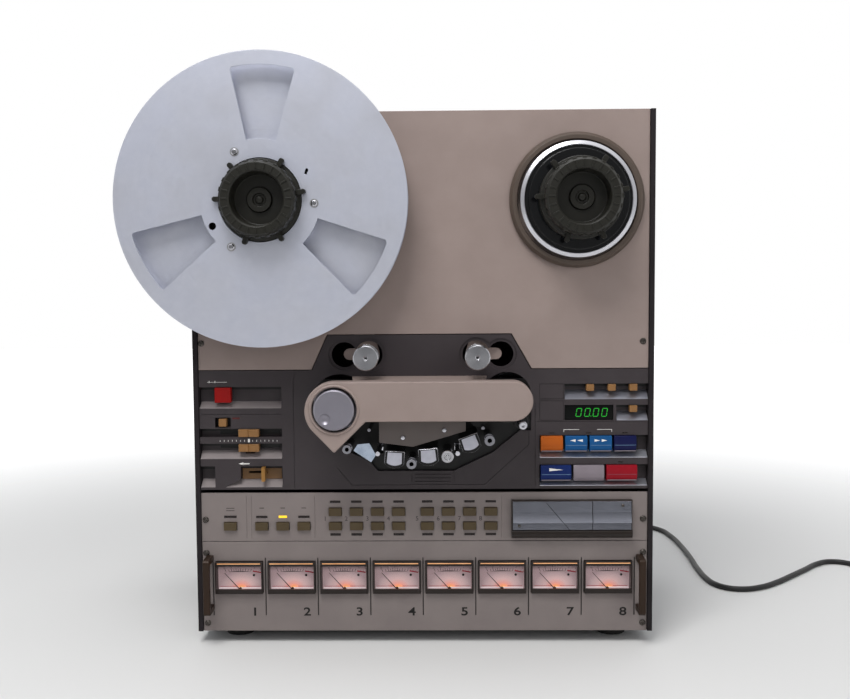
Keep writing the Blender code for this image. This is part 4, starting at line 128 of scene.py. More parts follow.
@dataclass(frozen=True)
class Finish:
    """What a surface is made of. Lengths are the real ones, in millimetres."""

    name: str
    colour: str
    mottle_colour: str
    roughness: tuple[float, float]
    metallic: float = 0.0
    ior: float = 1.38
    coat: float = 0.0
    anisotropic: float = 0.0
    alpha: float = 1.0
    grain: Grain = Grain.EVEN
    grain_mm: float = 0.8
    bump_mm: float = 0.02
    bump: float = 0.3
    mottle_mm: float = 28.0
    mottle: float = 0.6
    glow: float = 0.0
    centre: Corner = (0.0, 0.0, 0.0)

    def about(self, name: str, x: float, z: float) -> "Finish":
        """The same finish under its own name, with its rings about a point of the deck's frame."""
        return replace(self, name=self.name + "_" + name, centre=(x + SHIFT.x, 0.0, z + SHIFT.z))

    def material(self) -> bpy.types.Material:
        """Build the material, once.

        Returns:
            The material, with a mottle in its colour, an uneven gloss and a fine bump.
        """
        if self.name in bpy.data.materials:
            return bpy.data.materials[self.name]
        made = bpy.data.materials.new(self.name)
        made.use_nodes = True
        made.diffuse_color = linear(self.colour)
        tree = made.node_tree
        shader = tree.nodes["Principled BSDF"]
        fixed = {"Metallic": self.metallic, "Coat Weight": self.coat, "Anisotropic": self.anisotropic,
                 "Alpha": self.alpha, "Emission Strength": self.glow, "Emission Color": linear(self.colour)}
        if self.metallic < METAL_FROM:
            fixed["IOR"] = self.ior
        for name, value in fixed.items():
            shader.inputs[name].default_value = value
        spot = add(tree, "ShaderNodeTexCoord").outputs["Object"]
        away = tuple(-c for c in self.centre)
        where = add(tree, "ShaderNodeMapping", values={"Location": away}, links={"Vector": spot}).outputs[0]
        if self.grain is Grain.RINGS:
            flat = add(tree, "ShaderNodeVectorMath", {"operation": "MULTIPLY"}, {1: (1, 0, 1)}, {0: where})
            reach = add(tree, "ShaderNodeVectorMath", {"operation": "LENGTH"}, links={0: flat.outputs[0]})
            lay = add(tree, "ShaderNodeCombineXYZ", links={"X": reach.outputs["Value"]}).outputs[0]
        else:
            lay = add(tree, "ShaderNodeMapping", values={"Scale": self.grain.value},
                      links={"Vector": where}).outputs[0]
        fine = add(tree, "ShaderNodeTexNoise", values={"Scale": 1000 / self.grain_mm, "Detail": 3.0},
                   links={"Vector": lay}).outputs["Fac"]
        broad = add(tree, "ShaderNodeTexNoise", values={"Scale": 1000 / self.mottle_mm, "Detail": 5.0},
                    links={"Vector": where}).outputs["Fac"]
        share = add(tree, "ShaderNodeMapRange", values={"From Min": 0.35, "From Max": 0.65, "To Max": self.mottle},
                    links={"Value": broad}).outputs[0]
        both = add(tree, "ShaderNodeMath", {"operation": "MULTIPLY"}, links={0: broad, 1: fine}).outputs[0]
        dull = add(tree, "ShaderNodeMapRange",
                   values={"From Min": 0.15, "From Max": 0.35, "To Min": self.roughness[0],
                           "To Max": self.roughness[1]}, links={"Value": both}).outputs[0]
        colour = add(tree, "ShaderNodeMix", {"data_type": "RGBA"},
                     {6: linear(self.colour), 7: linear(self.mottle_colour)}, {0: share}).outputs[2]
        rise = add(tree, "ShaderNodeBump", values={"Strength": self.bump, "Distance": self.bump_mm / 1000},
                   links={"Height": fine}).outputs[0]
        for name, source in (("Base Color", colour), ("Roughness", dull), ("Normal", rise)):
            tree.links.new(source, shader.inputs[name])
        if self.anisotropic:
            round_axis = add(tree, "ShaderNodeTangent", {"direction_type": "RADIAL", "axis": "Y"}).outputs[0]
            tree.links.new(round_axis, shader.inputs["Tangent"])
        return made


# Sheet steel under a hard satin enamel: even, faintly dappled, with soft broad highlights
CASE_ENAMEL = Finish("dark_grey_enamelled_steel", "#242022", "#1F1B1D", (0.70, 0.85), ior=1.25, grain_mm=0.7)
BEIGE_ENAMEL = Finish("beige_enamelled_aluminium", "#8C7D77", "#84756F", (0.42, 0.55), grain_mm=0.6)
RING_ENAMEL = Finish("brown_enamelled_aluminium", "#52473F", "#4B4039", (0.40, 0.52), grain_mm=0.6)
GREY_ENAMEL = Finish("warm_grey_enamelled_aluminium", "#786F6C", "#706765", (0.38, 0.52), grain_mm=0.6)
SHIELD_ENAMEL = Finish("grey_brown_enamelled_steel", "#5B5350", "#544C4A", (0.40, 0.55))
# Moulded ABS: a fine spark-eroded texture that keeps highlights dull; the bright keys are the least glossy
BROWN_ABS = Finish("grey_brown_moulded_abs", "#352F31", "#302A2C", (0.48, 0.62), grain_mm=0.5, bump_mm=0.03)
BLACK_ABS = Finish("black_moulded_abs", "#0F0E0E", "#0B0A0A", (0.38, 0.52), grain_mm=0.5)
LUG_ABS = Finish("black_brown_moulded_abs", "#1D1C17", "#181712", (0.34, 0.48), grain_mm=0.5)
TAN_ABS = Finish("tan_moulded_abs", "#825D36", "#76542F", (0.35, 0.48))
RED_ABS = Finish("red_moulded_abs", "#8C0806", "#7C0705", (0.36, 0.48), ior=1.28)
ORANGE_ABS = Finish("orange_moulded_abs", "#A85212", "#9B4B10", (0.36, 0.48), ior=1.28)
SPOOL_BLUE_ABS = Finish("light_blue_moulded_abs", "#0E4C80", "#0C4474", (0.36, 0.48), ior=1.28)
PAUSE_ABS = Finish("navy_moulded_abs", "#080F3C", "#070D35", (0.36, 0.48), ior=1.28)
PLAY_ABS = Finish("blue_moulded_abs", "#0A2158", "#091D4F", (0.36, 0.48), ior=1.28)
STOP_ABS = Finish("grey_moulded_abs", "#7D747A", "#736A70", (0.38, 0.50))
RECORD_ABS = Finish("crimson_moulded_abs", "#860518", "#7A0415", (0.36, 0.48), ior=1.28)
LEDGE_ABS = Finish("light_grey_painted_abs", "#837B7A", "#787070", (0.35, 0.45), grain=Grain.ALONG_X)
METER_ABS = Finish("dark_brown_moulded_abs", "#1E1612", "#19120F", (0.30, 0.42))
# Anodised aluminium: brushed or turned, so its grain runs one way and its gloss is streaked
LEDGE_METAL = Finish("brushed_anodised_aluminium", "#A8A9B4", "#999AA5", (0.28, 0.42), metallic=0.85,
                     grain=Grain.ALONG_X, grain_mm=0.4)
# A lighter copy of the brushed aluminium for the ledges under the keys: painted light that lifts them out of the
# keys' shadow
LEDGE_METAL_PAINTED_LIGHTER = replace(LEDGE_METAL, name="pale_anodised_aluminium", colour="#D4D5DE", mottle_colour="#C4C5CF")
PLATE_METAL = Finish("polished_anodised_aluminium", "#8E909A", "#83858F", (0.16, 0.26), metallic=0.9,
                     grain=Grain.ALONG_X, grain_mm=0.4)
REEL_METAL = Finish("turned_reel_aluminium", "#CED0DB", "#BBBECB", (0.34, 0.50), metallic=0.75,
                    grain=Grain.RINGS, grain_mm=1.1, bump_mm=0.015, mottle_mm=38, mottle=0.9)
KNOB_METAL = Finish("satin_anodised_aluminium", "#8F8C95", "#85828B", (0.30, 0.42), metallic=0.85,
                    grain=Grain.RINGS, grain_mm=0.6)
RING_METAL = Finish("polished_aluminium_ring", "#D2D2D8", "#C6C6CC", (0.26, 0.36), metallic=1.0,
                    grain=Grain.RINGS, grain_mm=0.6)
HANDLE_METAL = Finish("dark_brown_anodised_aluminium", "#2E1F14", "#281A10", (0.34, 0.46), metallic=0.3,
                      grain=Grain.ALONG_Z)
# Chromed, ground, blacked or lacquered steel and brass: from a near mirror to a dull sheen
CHROME = Finish("chromed_steel", "#C8C8CE", "#BCBCC2", (0.08, 0.16), metallic=1.0, bump=0.1)
SPUN_CHROME = Finish("spun_chromed_steel", "#B4B4B8", "#A2A2A6", (0.14, 0.24), metallic=1.0, anisotropic=0.75,
                     grain=Grain.RINGS, grain_mm=0.7, bump_mm=0.012)
DARK_SCREW = Finish("black_oxide_screw_steel", "#5A5551", "#4C4844", (0.22, 0.34), metallic=0.9, bump=0.1)
STEEL = Finish("ground_steel", "#ADADAF", "#9D9D9F", (0.30, 0.45), metallic=1.0, grain_mm=0.5)
MIRROR_PLATE = Finish("blue_passivated_steel", "#A9B4C4", "#8E9AAC", (0.10, 0.22), metallic=1.0, mottle_mm=9)
BRASS = Finish("nickelled_brass", "#C9C2B4", "#BDB6A8", (0.18, 0.30), metallic=1.0)
GUIDE_METAL = replace(CHROME, name="ground_guide_steel", colour="#86868C", mottle_colour="#7A7A80")
BLACK_LACQUER = Finish("black_lacquered_steel", "#1B1A1B", "#151415", (0.30, 0.42))
# Rubber and PVC: matt, with a slight bloom
RUBBER = Finish("black_rubber_roller", "#201F1E", "#2A2928", (0.62, 0.80), grain_mm=0.4)
PVC = Finish("black_pvc_cord", "#1F1F1F", "#262626", (0.40, 0.55), grain_mm=0.9)
# Printed, lit and clear things
WHITE_INK = Finish("white_screen_print", "#DDDAD6", "#D2CFCB", (0.50, 0.62), bump=0.05)
BLACK_INK = Finish("black_screen_print", "#0E0C0B", "#131010", (0.50, 0.62), bump=0.05)
PALE_LABEL = Finish("silver_paper_label", "#A9A9B2", "#9B9BA5", (0.35, 0.50), metallic=0.2, mottle_mm=6)
DARK_LAMP = Finish("unlit_dark_lamp", "#140B0A", "#1A0D0B", (0.25, 0.35))
RED_LAMP = Finish("unlit_red_lamp", "#4A1210", "#3C0E0C", (0.20, 0.30), coat=0.4)
LIT_LAMP = Finish("lit_yellow_lamp", "#F2C230", "#EDB420", (0.25, 0.35), glow=0.75)
GREEN_GLOW = Finish("green_lit_segment", "#158A20", "#13801E", (0.30, 0.40), glow=0.6)
# A glowing amber strip for the top bevel of each meter case: a painted reflection that glows though it is no lamp
AMBER_PAINTED_REFLECTION = Finish("amber_lit_acrylic_edge", "#D8A070", "#A86438", (0.15, 0.25), glow=0.4, mottle_mm=14)
PALE_EDGE = Finish("pale_lit_acrylic_edge", "#E6D4D6", "#DCC2C0", (0.20, 0.30), glow=0.35)
DISPLAY_GLASS = Finish("smoked_display_acrylic", "#040605", "#060806", (0.06, 0.12), ior=1.22, bump=0.02)
CLEAR_WINDOW = Finish("clear_meter_acrylic", "#4A4644", "#464240", (0.04, 0.08), alpha=0.05, bump=0.02)
RED_INK = Finish("red_screen_print", "#B01C34", "#A5182F", (0.45, 0.55), bump=0.05)
BOARD_LACQUER = Finish("green_lacquered_board", "#28603F", "#205236", (0.35, 0.50))


class Key(Enum):
    """The node, the finish and the material slot of each transport key."""

    EDIT = ("edit_key", ORANGE_ABS, "edit_orange")
    REWIND = ("rewind_key", SPOOL_BLUE_ABS, "spool_blue")
    FORWARD = ("forward_key", SPOOL_BLUE_ABS, "spool_blue")
    PAUSE = ("pause_key", PAUSE_ABS, "pause_navy")
    PLAY = ("play_key", PLAY_ABS, "play_blue")
    STOP = ("stop_key", STOP_ABS, "stop_grey")
    RECORD = ("record_key", RECORD_ABS, "record_crimson")


def linked(name: str, data: bpy.types.ID) -> Piece:
    """A new object for a mesh, curve, lamp or camera, linked to the scene."""
    made = bpy.data.objects.new(name, data)
    bpy.context.scene.collection.objects.link(made)
    return made


def upright(x: float, y: float, z: float) -> Matrix:
    """The matrix that stands a flat shape up at a place, facing -Y."""
    return Matrix.Translation((x, y, z)) @ Matrix.Rotation(math.pi / 2, 4, "X")


def cleaned(shape: bmesh.types.BMesh, flat: float) -> None:
    """Weld a shape's double points, merge faces that bend less than an angle, and turn all faces outwards."""
    bmesh.ops.remove_doubles(shape, verts=shape.verts, dist=WELD)
    bmesh.ops.dissolve_limit(shape, angle_limit=flat, verts=shape.verts, edges=shape.edges)
    bmesh.ops.recalc_face_normals(shape, faces=shape.faces)


def new_piece(name: str, shape: bmesh.types.BMesh) -> Piece:
    """Make an object from a bmesh and free it.

    Args:
        name: The object's name.
        shape: The shape.

    Returns:
        The object, linked to the scene.
    """
    mesh = bpy.data.meshes.new(name)
    shape.to_mesh(mesh)
    shape.free()
    return linked(name, mesh)


def evaluated_mesh(piece: Piece) -> bpy.types.Mesh:
    """The mesh of an object with its modifiers or its curve worked out."""
    bpy.context.view_layer.update()
    graph = bpy.context.evaluated_depsgraph_get()
    return bpy.data.meshes.new_from_object(piece.evaluated_get(graph))


def curve_mesh(curve: bpy.types.Curve) -> bpy.types.Mesh:
    """The mesh of a curve or a text."""
    drawn = linked(curve.name + "_line", curve)
    mesh = evaluated_mesh(drawn)
    bpy.data.objects.remove(drawn, do_unlink=True)
    return mesh


def baked(piece: Piece) -> Piece:
    """Turn a piece's modifiers into its mesh, and remove the tools that they used.

    Args:
        piece: A mesh object.

    Returns:
        The same object with no modifiers.
    """
    if piece.modifiers:
        mesh = evaluated_mesh(piece)
        tools = [change.object for change in piece.modifiers if change.type == "BOOLEAN"]
        piece.modifiers.clear()
        piece.data = mesh
        for tool in tools:
            bpy.data.objects.remove(tool, do_unlink=True)
    return piece


def combine(piece: Piece, tool: Piece, operation: str) -> Piece:
    """Join a tool's shape to a piece, or take it away.

    Args:
        piece: The piece.
        tool: The tool, which is gone afterwards.
        operation: UNION or DIFFERENCE.

    Returns:
        The piece.
    """
    change = piece.modifiers.new(operation, "BOOLEAN")
    change.operation = operation
    change.solver = "EXACT"
    change.object = baked(tool)
    return baked(piece)


def cut(piece: Piece, *tools: Piece) -> Piece:
    """Take the shapes of some tools out of a piece."""
    for tool in tools:
        combine(piece, tool, "DIFFERENCE")
    return piece


def fuse(piece: Piece, *tools: Piece) -> Piece:
    """Join the shapes of some tools to a piece."""
    for tool in tools:
        combine(piece, tool, "UNION")
    return piece


def soften(piece: Piece, width: float, segments: int = 2, angle: float = 40.0) -> Piece:
    """Round a piece's edges off.

    Args:
        piece: The piece.
        width: The width of the rounding.
        segments: The number of faces across it.
        angle: Edges that bend less than this many degrees stay.

    Returns:
        The piece.
    """
    edge = piece.modifiers.new("edge", "BEVEL")
    edge.width = width
    edge.segments = segments
    edge.limit_method = "ANGLE"
    edge.angle_limit = math.radians(angle)
    return baked(piece)


def blocks(name: str, corner_pairs: Sequence[tuple[Corner, Corner]]) -> Piece:
    """Boxes between pairs of opposite corners, as one mesh."""
    shape = bmesh.new()
    for low, high in corner_pairs:
        size = [b - a for a, b in zip(low, high)]
        middle = [(a + b) / 2 for a, b in zip(low, high)]
        bmesh.ops.create_cube(shape, size=1.0, matrix=Matrix.Translation(middle) @ Matrix.Diagonal((*size, 1.0)))
    return new_piece(name, shape)


def rods(name: str, places: Sequence[Point], radius: float, front: float, rear: float,
         sides: int = 48) -> Piece:
    """Round rods along y at several places of x and z, as one mesh."""
    shape = bmesh.new()
    for x, z in places:
        bmesh.ops.create_cone(shape, cap_ends=True, segments=sides, radius1=radius, radius2=radius,
                              depth=rear - front, matrix=upright(x, (front + rear) / 2, z))
    return new_piece(name, shape)


def turned(name: str, profile: Outline, x: float, z: float, steps: int = 96, ease: float = 0.0) -> Piece:
    """A shape turned about the y direction.

    Args:
        name: The object's name.
        profile: Radius and y from the rear to the front down its outer side.
        x: Where its axis is.
        z: Where its axis is.
        steps: The number of faces round it.
        ease: The radius that its corners are rounded off to.

    Returns:
        The object, closed, with its faces outwards.
    """
    ring = profile[0][0] > 0 and profile[-1][0] > 0
    line = eased(profile, ease, closed=ring) if ease else profile
    shape = bmesh.new()
    points = [shape.verts.new((radius, y, 0)) for radius, y in line]
    edges = [shape.edges.new(pair) for pair in zip(points, points[1:])]
    if ring:
        edges.append(shape.edges.new((points[-1], points[0])))
    bmesh.ops.spin(shape, geom=points + edges, cent=(0, 0, 0), axis=(0, 1, 0), angle=math.tau, steps=steps)
    bmesh.ops.remove_doubles(shape, verts=shape.verts, dist=WELD)
    bmesh.ops.recalc_face_normals(shape, faces=shape.faces)
    bmesh.ops.translate(shape, vec=(x, 0, z), verts=shape.verts)
    return new_piece(name, shape)


def extruded(name: str, outlines: Sequence[Outline], thickness: float, spot: Matrix) -> Piece:
    """Flat outlines with a thickness, turned and placed by a matrix. An outline inside another is a hole."""
    curve = bpy.data.curves.new(name, "CURVE")
    curve.dimensions = "2D"
    curve.fill_mode = "BOTH"
    curve.extrude = thickness / 2
    for outline in outlines:
        line = curve.splines.new("POLY")
        line.points.add(len(outline) - 1)
        for point, (u, v) in zip(line.points, outline):
            point.co = (u, v, 0, 1)
        line.use_cyclic_u = True
    shape = bmesh.new()
    shape.from_mesh(curve_mesh(curve))
    cleaned(shape, 0.001)
    bmesh.ops.transform(shape, matrix=spot, verts=shape.verts)
    return new_piece(name, shape)


def slab(name: str, outlines: Sequence[Outline], front: float, rear: float) -> Piece:
    """Outlines in x and z with a thickness along y."""
    return extruded(name, outlines, rear - front, upright(0, (front + rear) / 2, 0))


def bar(name: str, outline: Outline, left: float, right: float) -> Piece:
    """An outline in y and z with a length along x."""
    spot = Matrix(((0, 0, 1, (left + right) / 2), (1, 0, 0, 0), (0, 1, 0, 0), (0, 0, 0, 1)))
    return extruded(name, [outline], right - left, spot)


def arc(x: float, z: float, radius: float, start: float, end: float, steps: int) -> Outline:
    """Points along an arc, from one angle to another in degrees."""
    angles = [math.radians(start + (end - start) * k / steps) for k in range(steps + 1)]
    return [(x + radius * math.cos(a), z + radius * math.sin(a)) for a in angles]


def circle(x: float, z: float, radius: float, steps: int = 96) -> Outline:
    """Points round a full circle."""
    return arc(x, z, radius, 0, 360, steps)[:-1]


def oblong(left: float, low: float, right: float, high: float) -> Outline:
    """The corners of a rectangle."""
    return [(left, low), (right, low), (right, high), (left, high)]


def eased(outline: Outline, radius: float, closed: bool = True, steps: int = 4) -> Outline:
    """Round the corners of an outline off.

    Args:
        outline: Its corners.
        radius: The radius, which is less where two corners lie close together.
        closed: Whether the outline closes; the ends of an open one stay as they are.
        steps: The number of faces round each corner.

    Returns:
        The rounded outline.
    """
    outline = [p for k, p in enumerate(outline) if math.dist(p, outline[k - 1]) > WELD]
    count = len(outline)
    points = []
    for k, corner in enumerate(outline):
        if not closed and k in (0, count - 1):
            points.append(corner)
            continue
        here, before, after = Vector(corner), Vector(outline[k - 1]), Vector(outline[(k + 1) % count])
        back, forth = before - here, after - here
        half = back.angle(forth) / 2
        if half > math.radians(80):
            points.append(corner)
            continue
        reach = min(radius / math.tan(half), 0.45 * back.length, 0.45 * forth.length)
        start, end = here + back.normalized() * reach, here + forth.normalized() * reach
        middle = here + (back.normalized() + forth.normalized()).normalized() * (reach / math.cos(half))
        size = reach * math.tan(half)
        points += [tuple(middle + (start.lerp(end, s / steps) - middle).normalized() * size)
                   for s in range(steps + 1)]
    return points


def band(points: Outline, width: float) -> Outline:
    """The outline of a line of some width through points.

    Args:
        points: The points.
        width: The width.

    Returns:
        The outline, there along one side and back along the other.
    """
    sides: list[list[Point]] = [[], []]
    for k, point in enumerate(points):
        here = Vector(point)
        into = (here - Vector(points[k - 1])).normalized() if k else (Vector(points[1]) - here).normalized()
        away = (Vector(points[k + 1]) - here).normalized() if k < len(points) - 1 else into
        side = Vector((-into.y - away.y, into.x + away.x)).normalized()
        stretch = max(side.dot(Vector((-into.y, into.x))), 0.3)
        for line, way in zip(sides, (-1, 1)):
            line.append(tuple(here + side * (way * width / 2 / stretch)))
    return sides[0] + sides[1][::-1]


def slanted(outline: Outline, x: float, z: float, turn: float) -> Outline:
    """An outline turned by some degrees and moved to a place."""
    c, s = math.cos(math.radians(turn)), math.sin(math.radians(turn))
    return [(x + u * c - v * s, z + u * s + v * c) for u, v in outline]


def refined(node: str, name: str, width: float, segments: int = 2) -> Piece:
    """A copy of a CAD node's shape with its edges rounded off.

    Args:
        node: The CAD node.
        name: The new piece's name.
        width: The width of the rounding.
        segments: The number of faces across it.

    Returns:
        The new piece, in the deck's frame.
    """
    shape = bmesh.new()
    shape.from_mesh(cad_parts[node].data)
    cleaned(shape, math.radians(1))
    bmesh.ops.translate(shape, vec=-SHIFT, verts=shape.verts)
    return soften(new_piece(name, shape), width, segments)


def place(piece: Piece, finish: Finish | Sequence[Finish], body: str,
          replaces: Sequence[str] = (), choose: Callable[[Vector], int] | None = None,
          sharp: float = 35.0) -> Piece:
    """Finish a piece: its place, its shading, its finish and the body that it rides on.

    Args:
        piece: The piece, in the deck's frame.
        finish: Its finish, or several.
        body: The CAD body that it rides on.
        replaces: The CAD nodes that it stands for.
        choose: Which finish a face takes, by its middle in the deck's frame.
        sharp: Edges that bend more than this many degrees stay sharp.

    Returns:
        The piece.
    """
    baked(piece)
    piece.data.transform(Matrix.Translation(SHIFT) @ piece.matrix_world)
    piece.matrix_world = Matrix.Identity(4)
    piece.data.shade_smooth()
    piece.data.set_sharp_from_angle(angle=math.radians(sharp))
    piece.modifiers.new("weights", "WEIGHTED_NORMAL").keep_sharp = True
    baked(piece)
    piece.data.materials.clear()
    for layer in [finish] if isinstance(finish, Finish) else finish:
        piece.data.materials.append(layer.material())
    for face in piece.data.polygons:
        face.material_index = choose(face.center - SHIFT) if choose else 0
    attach(piece, body)
    if replaces:
        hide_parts(*replaces)
    LOG.info("%s: %d faces on %s", piece.name, len(piece.data.polygons), body)
    return piece


def keep_node(node: str, finish: Finish) -> None:
    """Leave a CAD node as it is, in a better finish."""
    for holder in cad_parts[node].material_slots:
        holder.link = "OBJECT"
        holder.material = finish.material()
    LOG.info("%s keeps its shape", node)


def node_group(name: str, sockets: dict[str, str]) -> tuple[Tree, Node, Node]:
    """Start a geometry node tree.

    Args:
        name: Its name.
        sockets: The name and the kind of each input.

    Returns:
        The tree, its input node and its output node.
    """
    tree = bpy.data.node_groups.new(name, "GeometryNodeTree")
    for label, kind in sockets.items():
        tree.interface.new_socket(label, in_out="INPUT", socket_type=kind)
    tree.interface.new_socket("Geometry", in_out="OUTPUT", socket_type="NodeSocketGeometry")
    return tree, tree.nodes.new("NodeGroupInput"), tree.nodes.new("NodeGroupOutput")


def end_tree(tree: Tree, start: Node, end: Node, copies: Socket) -> Tree:
    """Close a tree with Realize Instances and Set Material."""
    real = add(tree, "GeometryNodeRealizeInstances", links={"Geometry": copies}).outputs[0]
    painted = add(tree, "GeometryNodeSetMaterial", links={"Geometry": real, "Material": start.outputs["Finish"]})
    tree.links.new(painted.outputs[0], end.inputs[0])
    return tree


def copies_tree() -> Tree:
    """A tree that puts one form on every point of a mesh, turned about y by the point's own turn."""
    tree, start, end = node_group("copies_on_places", {
        "Geometry": "NodeSocketGeometry", "Form": "NodeSocketObject", "Size": "NodeSocketFloat",
        "Finish": "NodeSocketMaterial"})
    turn = add(tree, "GeometryNodeInputNamedAttribute", {"data_type": "FLOAT"}, {"Name": "turn"}).outputs[0]
    lean = add(tree, "ShaderNodeCombineXYZ", links={"Y": turn}).outputs[0]
    form = add(tree, "GeometryNodeObjectInfo", links={"Object": start.outputs["Form"]}).outputs["Geometry"]
    copies = add(tree, "GeometryNodeInstanceOnPoints",
                 links={"Points": start.outputs["Geometry"], "Instance": form, "Rotation": lean,
                        "Scale": start.outputs["Size"]})
    return end_tree(tree, start, end, copies.outputs[0])


def row_tree() -> Tree:
    """A tree that sets boxes in a row."""
    tree, start, end = node_group("boxes_in_a_row", {
        "Count": "NodeSocketInt", "First": "NodeSocketVector", "Step": "NodeSocketVector",
        "Size": "NodeSocketVector", "Finish": "NodeSocketMaterial"})
    line = add(tree, "GeometryNodeMeshLine", {"mode": "OFFSET"}, links={
        "Count": start.outputs["Count"], "Start Location": start.outputs["First"],
        "Offset": start.outputs["Step"]}).outputs[0]
    form = add(tree, "GeometryNodeMeshCube", links={"Size": start.outputs["Size"]}).outputs["Mesh"]
    copies = add(tree, "GeometryNodeInstanceOnPoints", links={"Points": line, "Instance": form})
    return end_tree(tree, start, end, copies.outputs[0])


def ring_tree() -> Tree:
    """A tree that sets boxes in a ring about an axis along y."""
    tree, start, end = node_group("boxes_in_a_ring", {
        "Count": "NodeSocketInt", "Middle": "NodeSocketVector", "Reach": "NodeSocketVector",
        "Size": "NodeSocketVector", "Finish": "NodeSocketMaterial"})
    line = add(tree, "GeometryNodeMeshLine", {"mode": "OFFSET"}, {"Offset": (0, 0, 0)}, {
        "Count": start.outputs["Count"], "Start Location": start.outputs["Middle"]}).outputs[0]
    share = add(tree, "ShaderNodeMath", {"operation": "DIVIDE"}, links={
        0: add(tree, "GeometryNodeInputIndex").outputs[0], 1: start.outputs["Count"]}).outputs[0]
    turn = add(tree, "ShaderNodeMath", {"operation": "MULTIPLY"}, {1: math.tau}, {0: share}).outputs[0]
    lean = add(tree, "ShaderNodeCombineXYZ", links={"Y": turn}).outputs[0]
    form = add(tree, "GeometryNodeMeshCube", links={"Size": start.outputs["Size"]}).outputs["Mesh"]
    out = add(tree, "GeometryNodeTransform", links={"Geometry": form, "Translation": start.outputs["Reach"]})
    copies = add(tree, "GeometryNodeInstanceOnPoints",
                 links={"Points": line, "Instance": out.outputs[0], "Rotation": lean})
    return end_tree(tree, start, end, copies.outputs[0])


class Pattern(Enum):
    """The three ways in which small shapes repeat."""

    COPIES = copies_tree()
    ROW = row_tree()
    RING = ring_tree()


def grown(name: str, pattern: Pattern, values: dict[str, Any],
          places: Sequence[Corner] = (), turns: Sequence[float] = ()) -> Piece:
    """Grow a repeated shape and turn it into a plain mesh.

    Args:
        name: The object's name.
        pattern: The tree.
        values: The tree's inputs, by name.
        places: The points that carry copies.
        turns: The turn of each copy, in radians.

    Returns:
        The object, with no modifier.
    """
    shape = bmesh.new()
    for spot in places:
        shape.verts.new(spot)
    piece = new_piece(name, shape)
    if places:
        turn = piece.data.attributes.new("turn", "FLOAT", "POINT")
        turn.data.foreach_set("value", list(turns) or [0.0] * len(places))
    change = piece.modifiers.new("pattern", "NODES")
    change.node_group = pattern.value
    for item in pattern.value.interface.items_tree:
        if item.in_out == "INPUT" and item.name in values:
            change[item.identifier] = values[item.name]
    return baked(piece)


def row(name: str, count: int, first: Corner, step: Corner, size: Corner, finish: Finish) -> Piece:
    """Boxes in a row."""
    return grown(name, Pattern.ROW, {"Count": count, "First": first, "Step": step, "Size": size,
                                     "Finish": finish.material()})


def screw_form(radius: float, height: float) -> Piece:
    """A screw's head with a cross recess, at the origin and facing -Y.

    Args:
        radius: Its radius.
        height: How far it stands out.

    Returns:
        The form that Geometry Nodes copy.
    """
    head = turned("screw_form", [(0, 0.0006), (radius, 0.0006), (radius, -height * 0.35),
                                 (radius * 0.72, -height * 0.88), (0, -height)], 0, 0, 28, ease=height * 0.25)
    wide, slim, deep = radius * 0.62, radius * 0.14, -height * 0.35
    for across, up in ((wide, slim), (slim, wide)):
        cut(head, blocks("screw_recess", [((-across, -height * 1.5, -up), (across, deep, up))]))
    return head


def screws(name: str, places: Sequence[Corner], radius: float, height: float, finish: Finish, body: str = "deck",
           back: bool = False) -> Piece:
    """Screws at several places, each turned a little further than the last.

    Args:
        name: The piece's name.
        places: The middle of each screw, on the face that it holds.
        radius: The radius of the head.
        height: The height of the head.
        finish: Its finish.
        body: The body that they ride on.
        back: Whether they face the rear.

    Returns:
        The finished piece.
    """
    form = screw_form(radius, height)
    if back:
        form.data.transform(Matrix.Rotation(math.pi, 4, "Z"))
    turns = [0.4 + 0.9 * k for k in range(len(places))]
    piece = grown(name, Pattern.COPIES, {"Form": form, "Size": 1.0, "Finish": finish.material()}, places, turns)
    bpy.data.objects.remove(form, do_unlink=True)
    return place(piece, finish, body)


def digits(name: str, texts: Sequence[tuple[str, float, float, float]], front: float,
           rise: float = 0.00008, bold: float = 0.0, wide: float = 1.0) -> Piece:
    """Plain digits as thin printed shapes.

    Args:
        name: The object's name.
        texts: Each text with the x and z of its middle and its height.
        front: The y of the face that they are printed on.
        rise: The thickness of the ink.
        bold: How far each stroke grows.
        wide: How much wider than usual they are.

    Returns:
        One object for all of them.
    """
    shape = bmesh.new()
    for text, x, z, height in texts:
        curve = bpy.data.curves.new(name, "FONT")
        curve.body, curve.size = text, height / 0.70
        curve.align_x, curve.align_y = "CENTER", "CENTER"
        curve.extrude, curve.offset = rise / 2, bold
        mesh = curve_mesh(curve)
        mesh.transform(upright(x, front - rise / 2, z) @ Matrix.Diagonal((wide, 1, 1, 1)))
        shape.from_mesh(mesh)
    return new_piece(name, shape)


def print_on(name: str, outlines: Sequence[Outline], front: float, finish: Finish,
             rise: float = 0.00008) -> Piece:
    """Printed marks on a face, as thin shapes."""
    return place(slab(name, outlines, front - rise, front + 0.00002), finish, "deck")


def arrow(x: float, z: float, length: float, height: float) -> Outline:
    """A solid arrow head that points to +x, or to -x with a negative length."""
    return [(x - length / 2, z - height / 2), (x + length / 2, z), (x - length / 2, z + height / 2)]


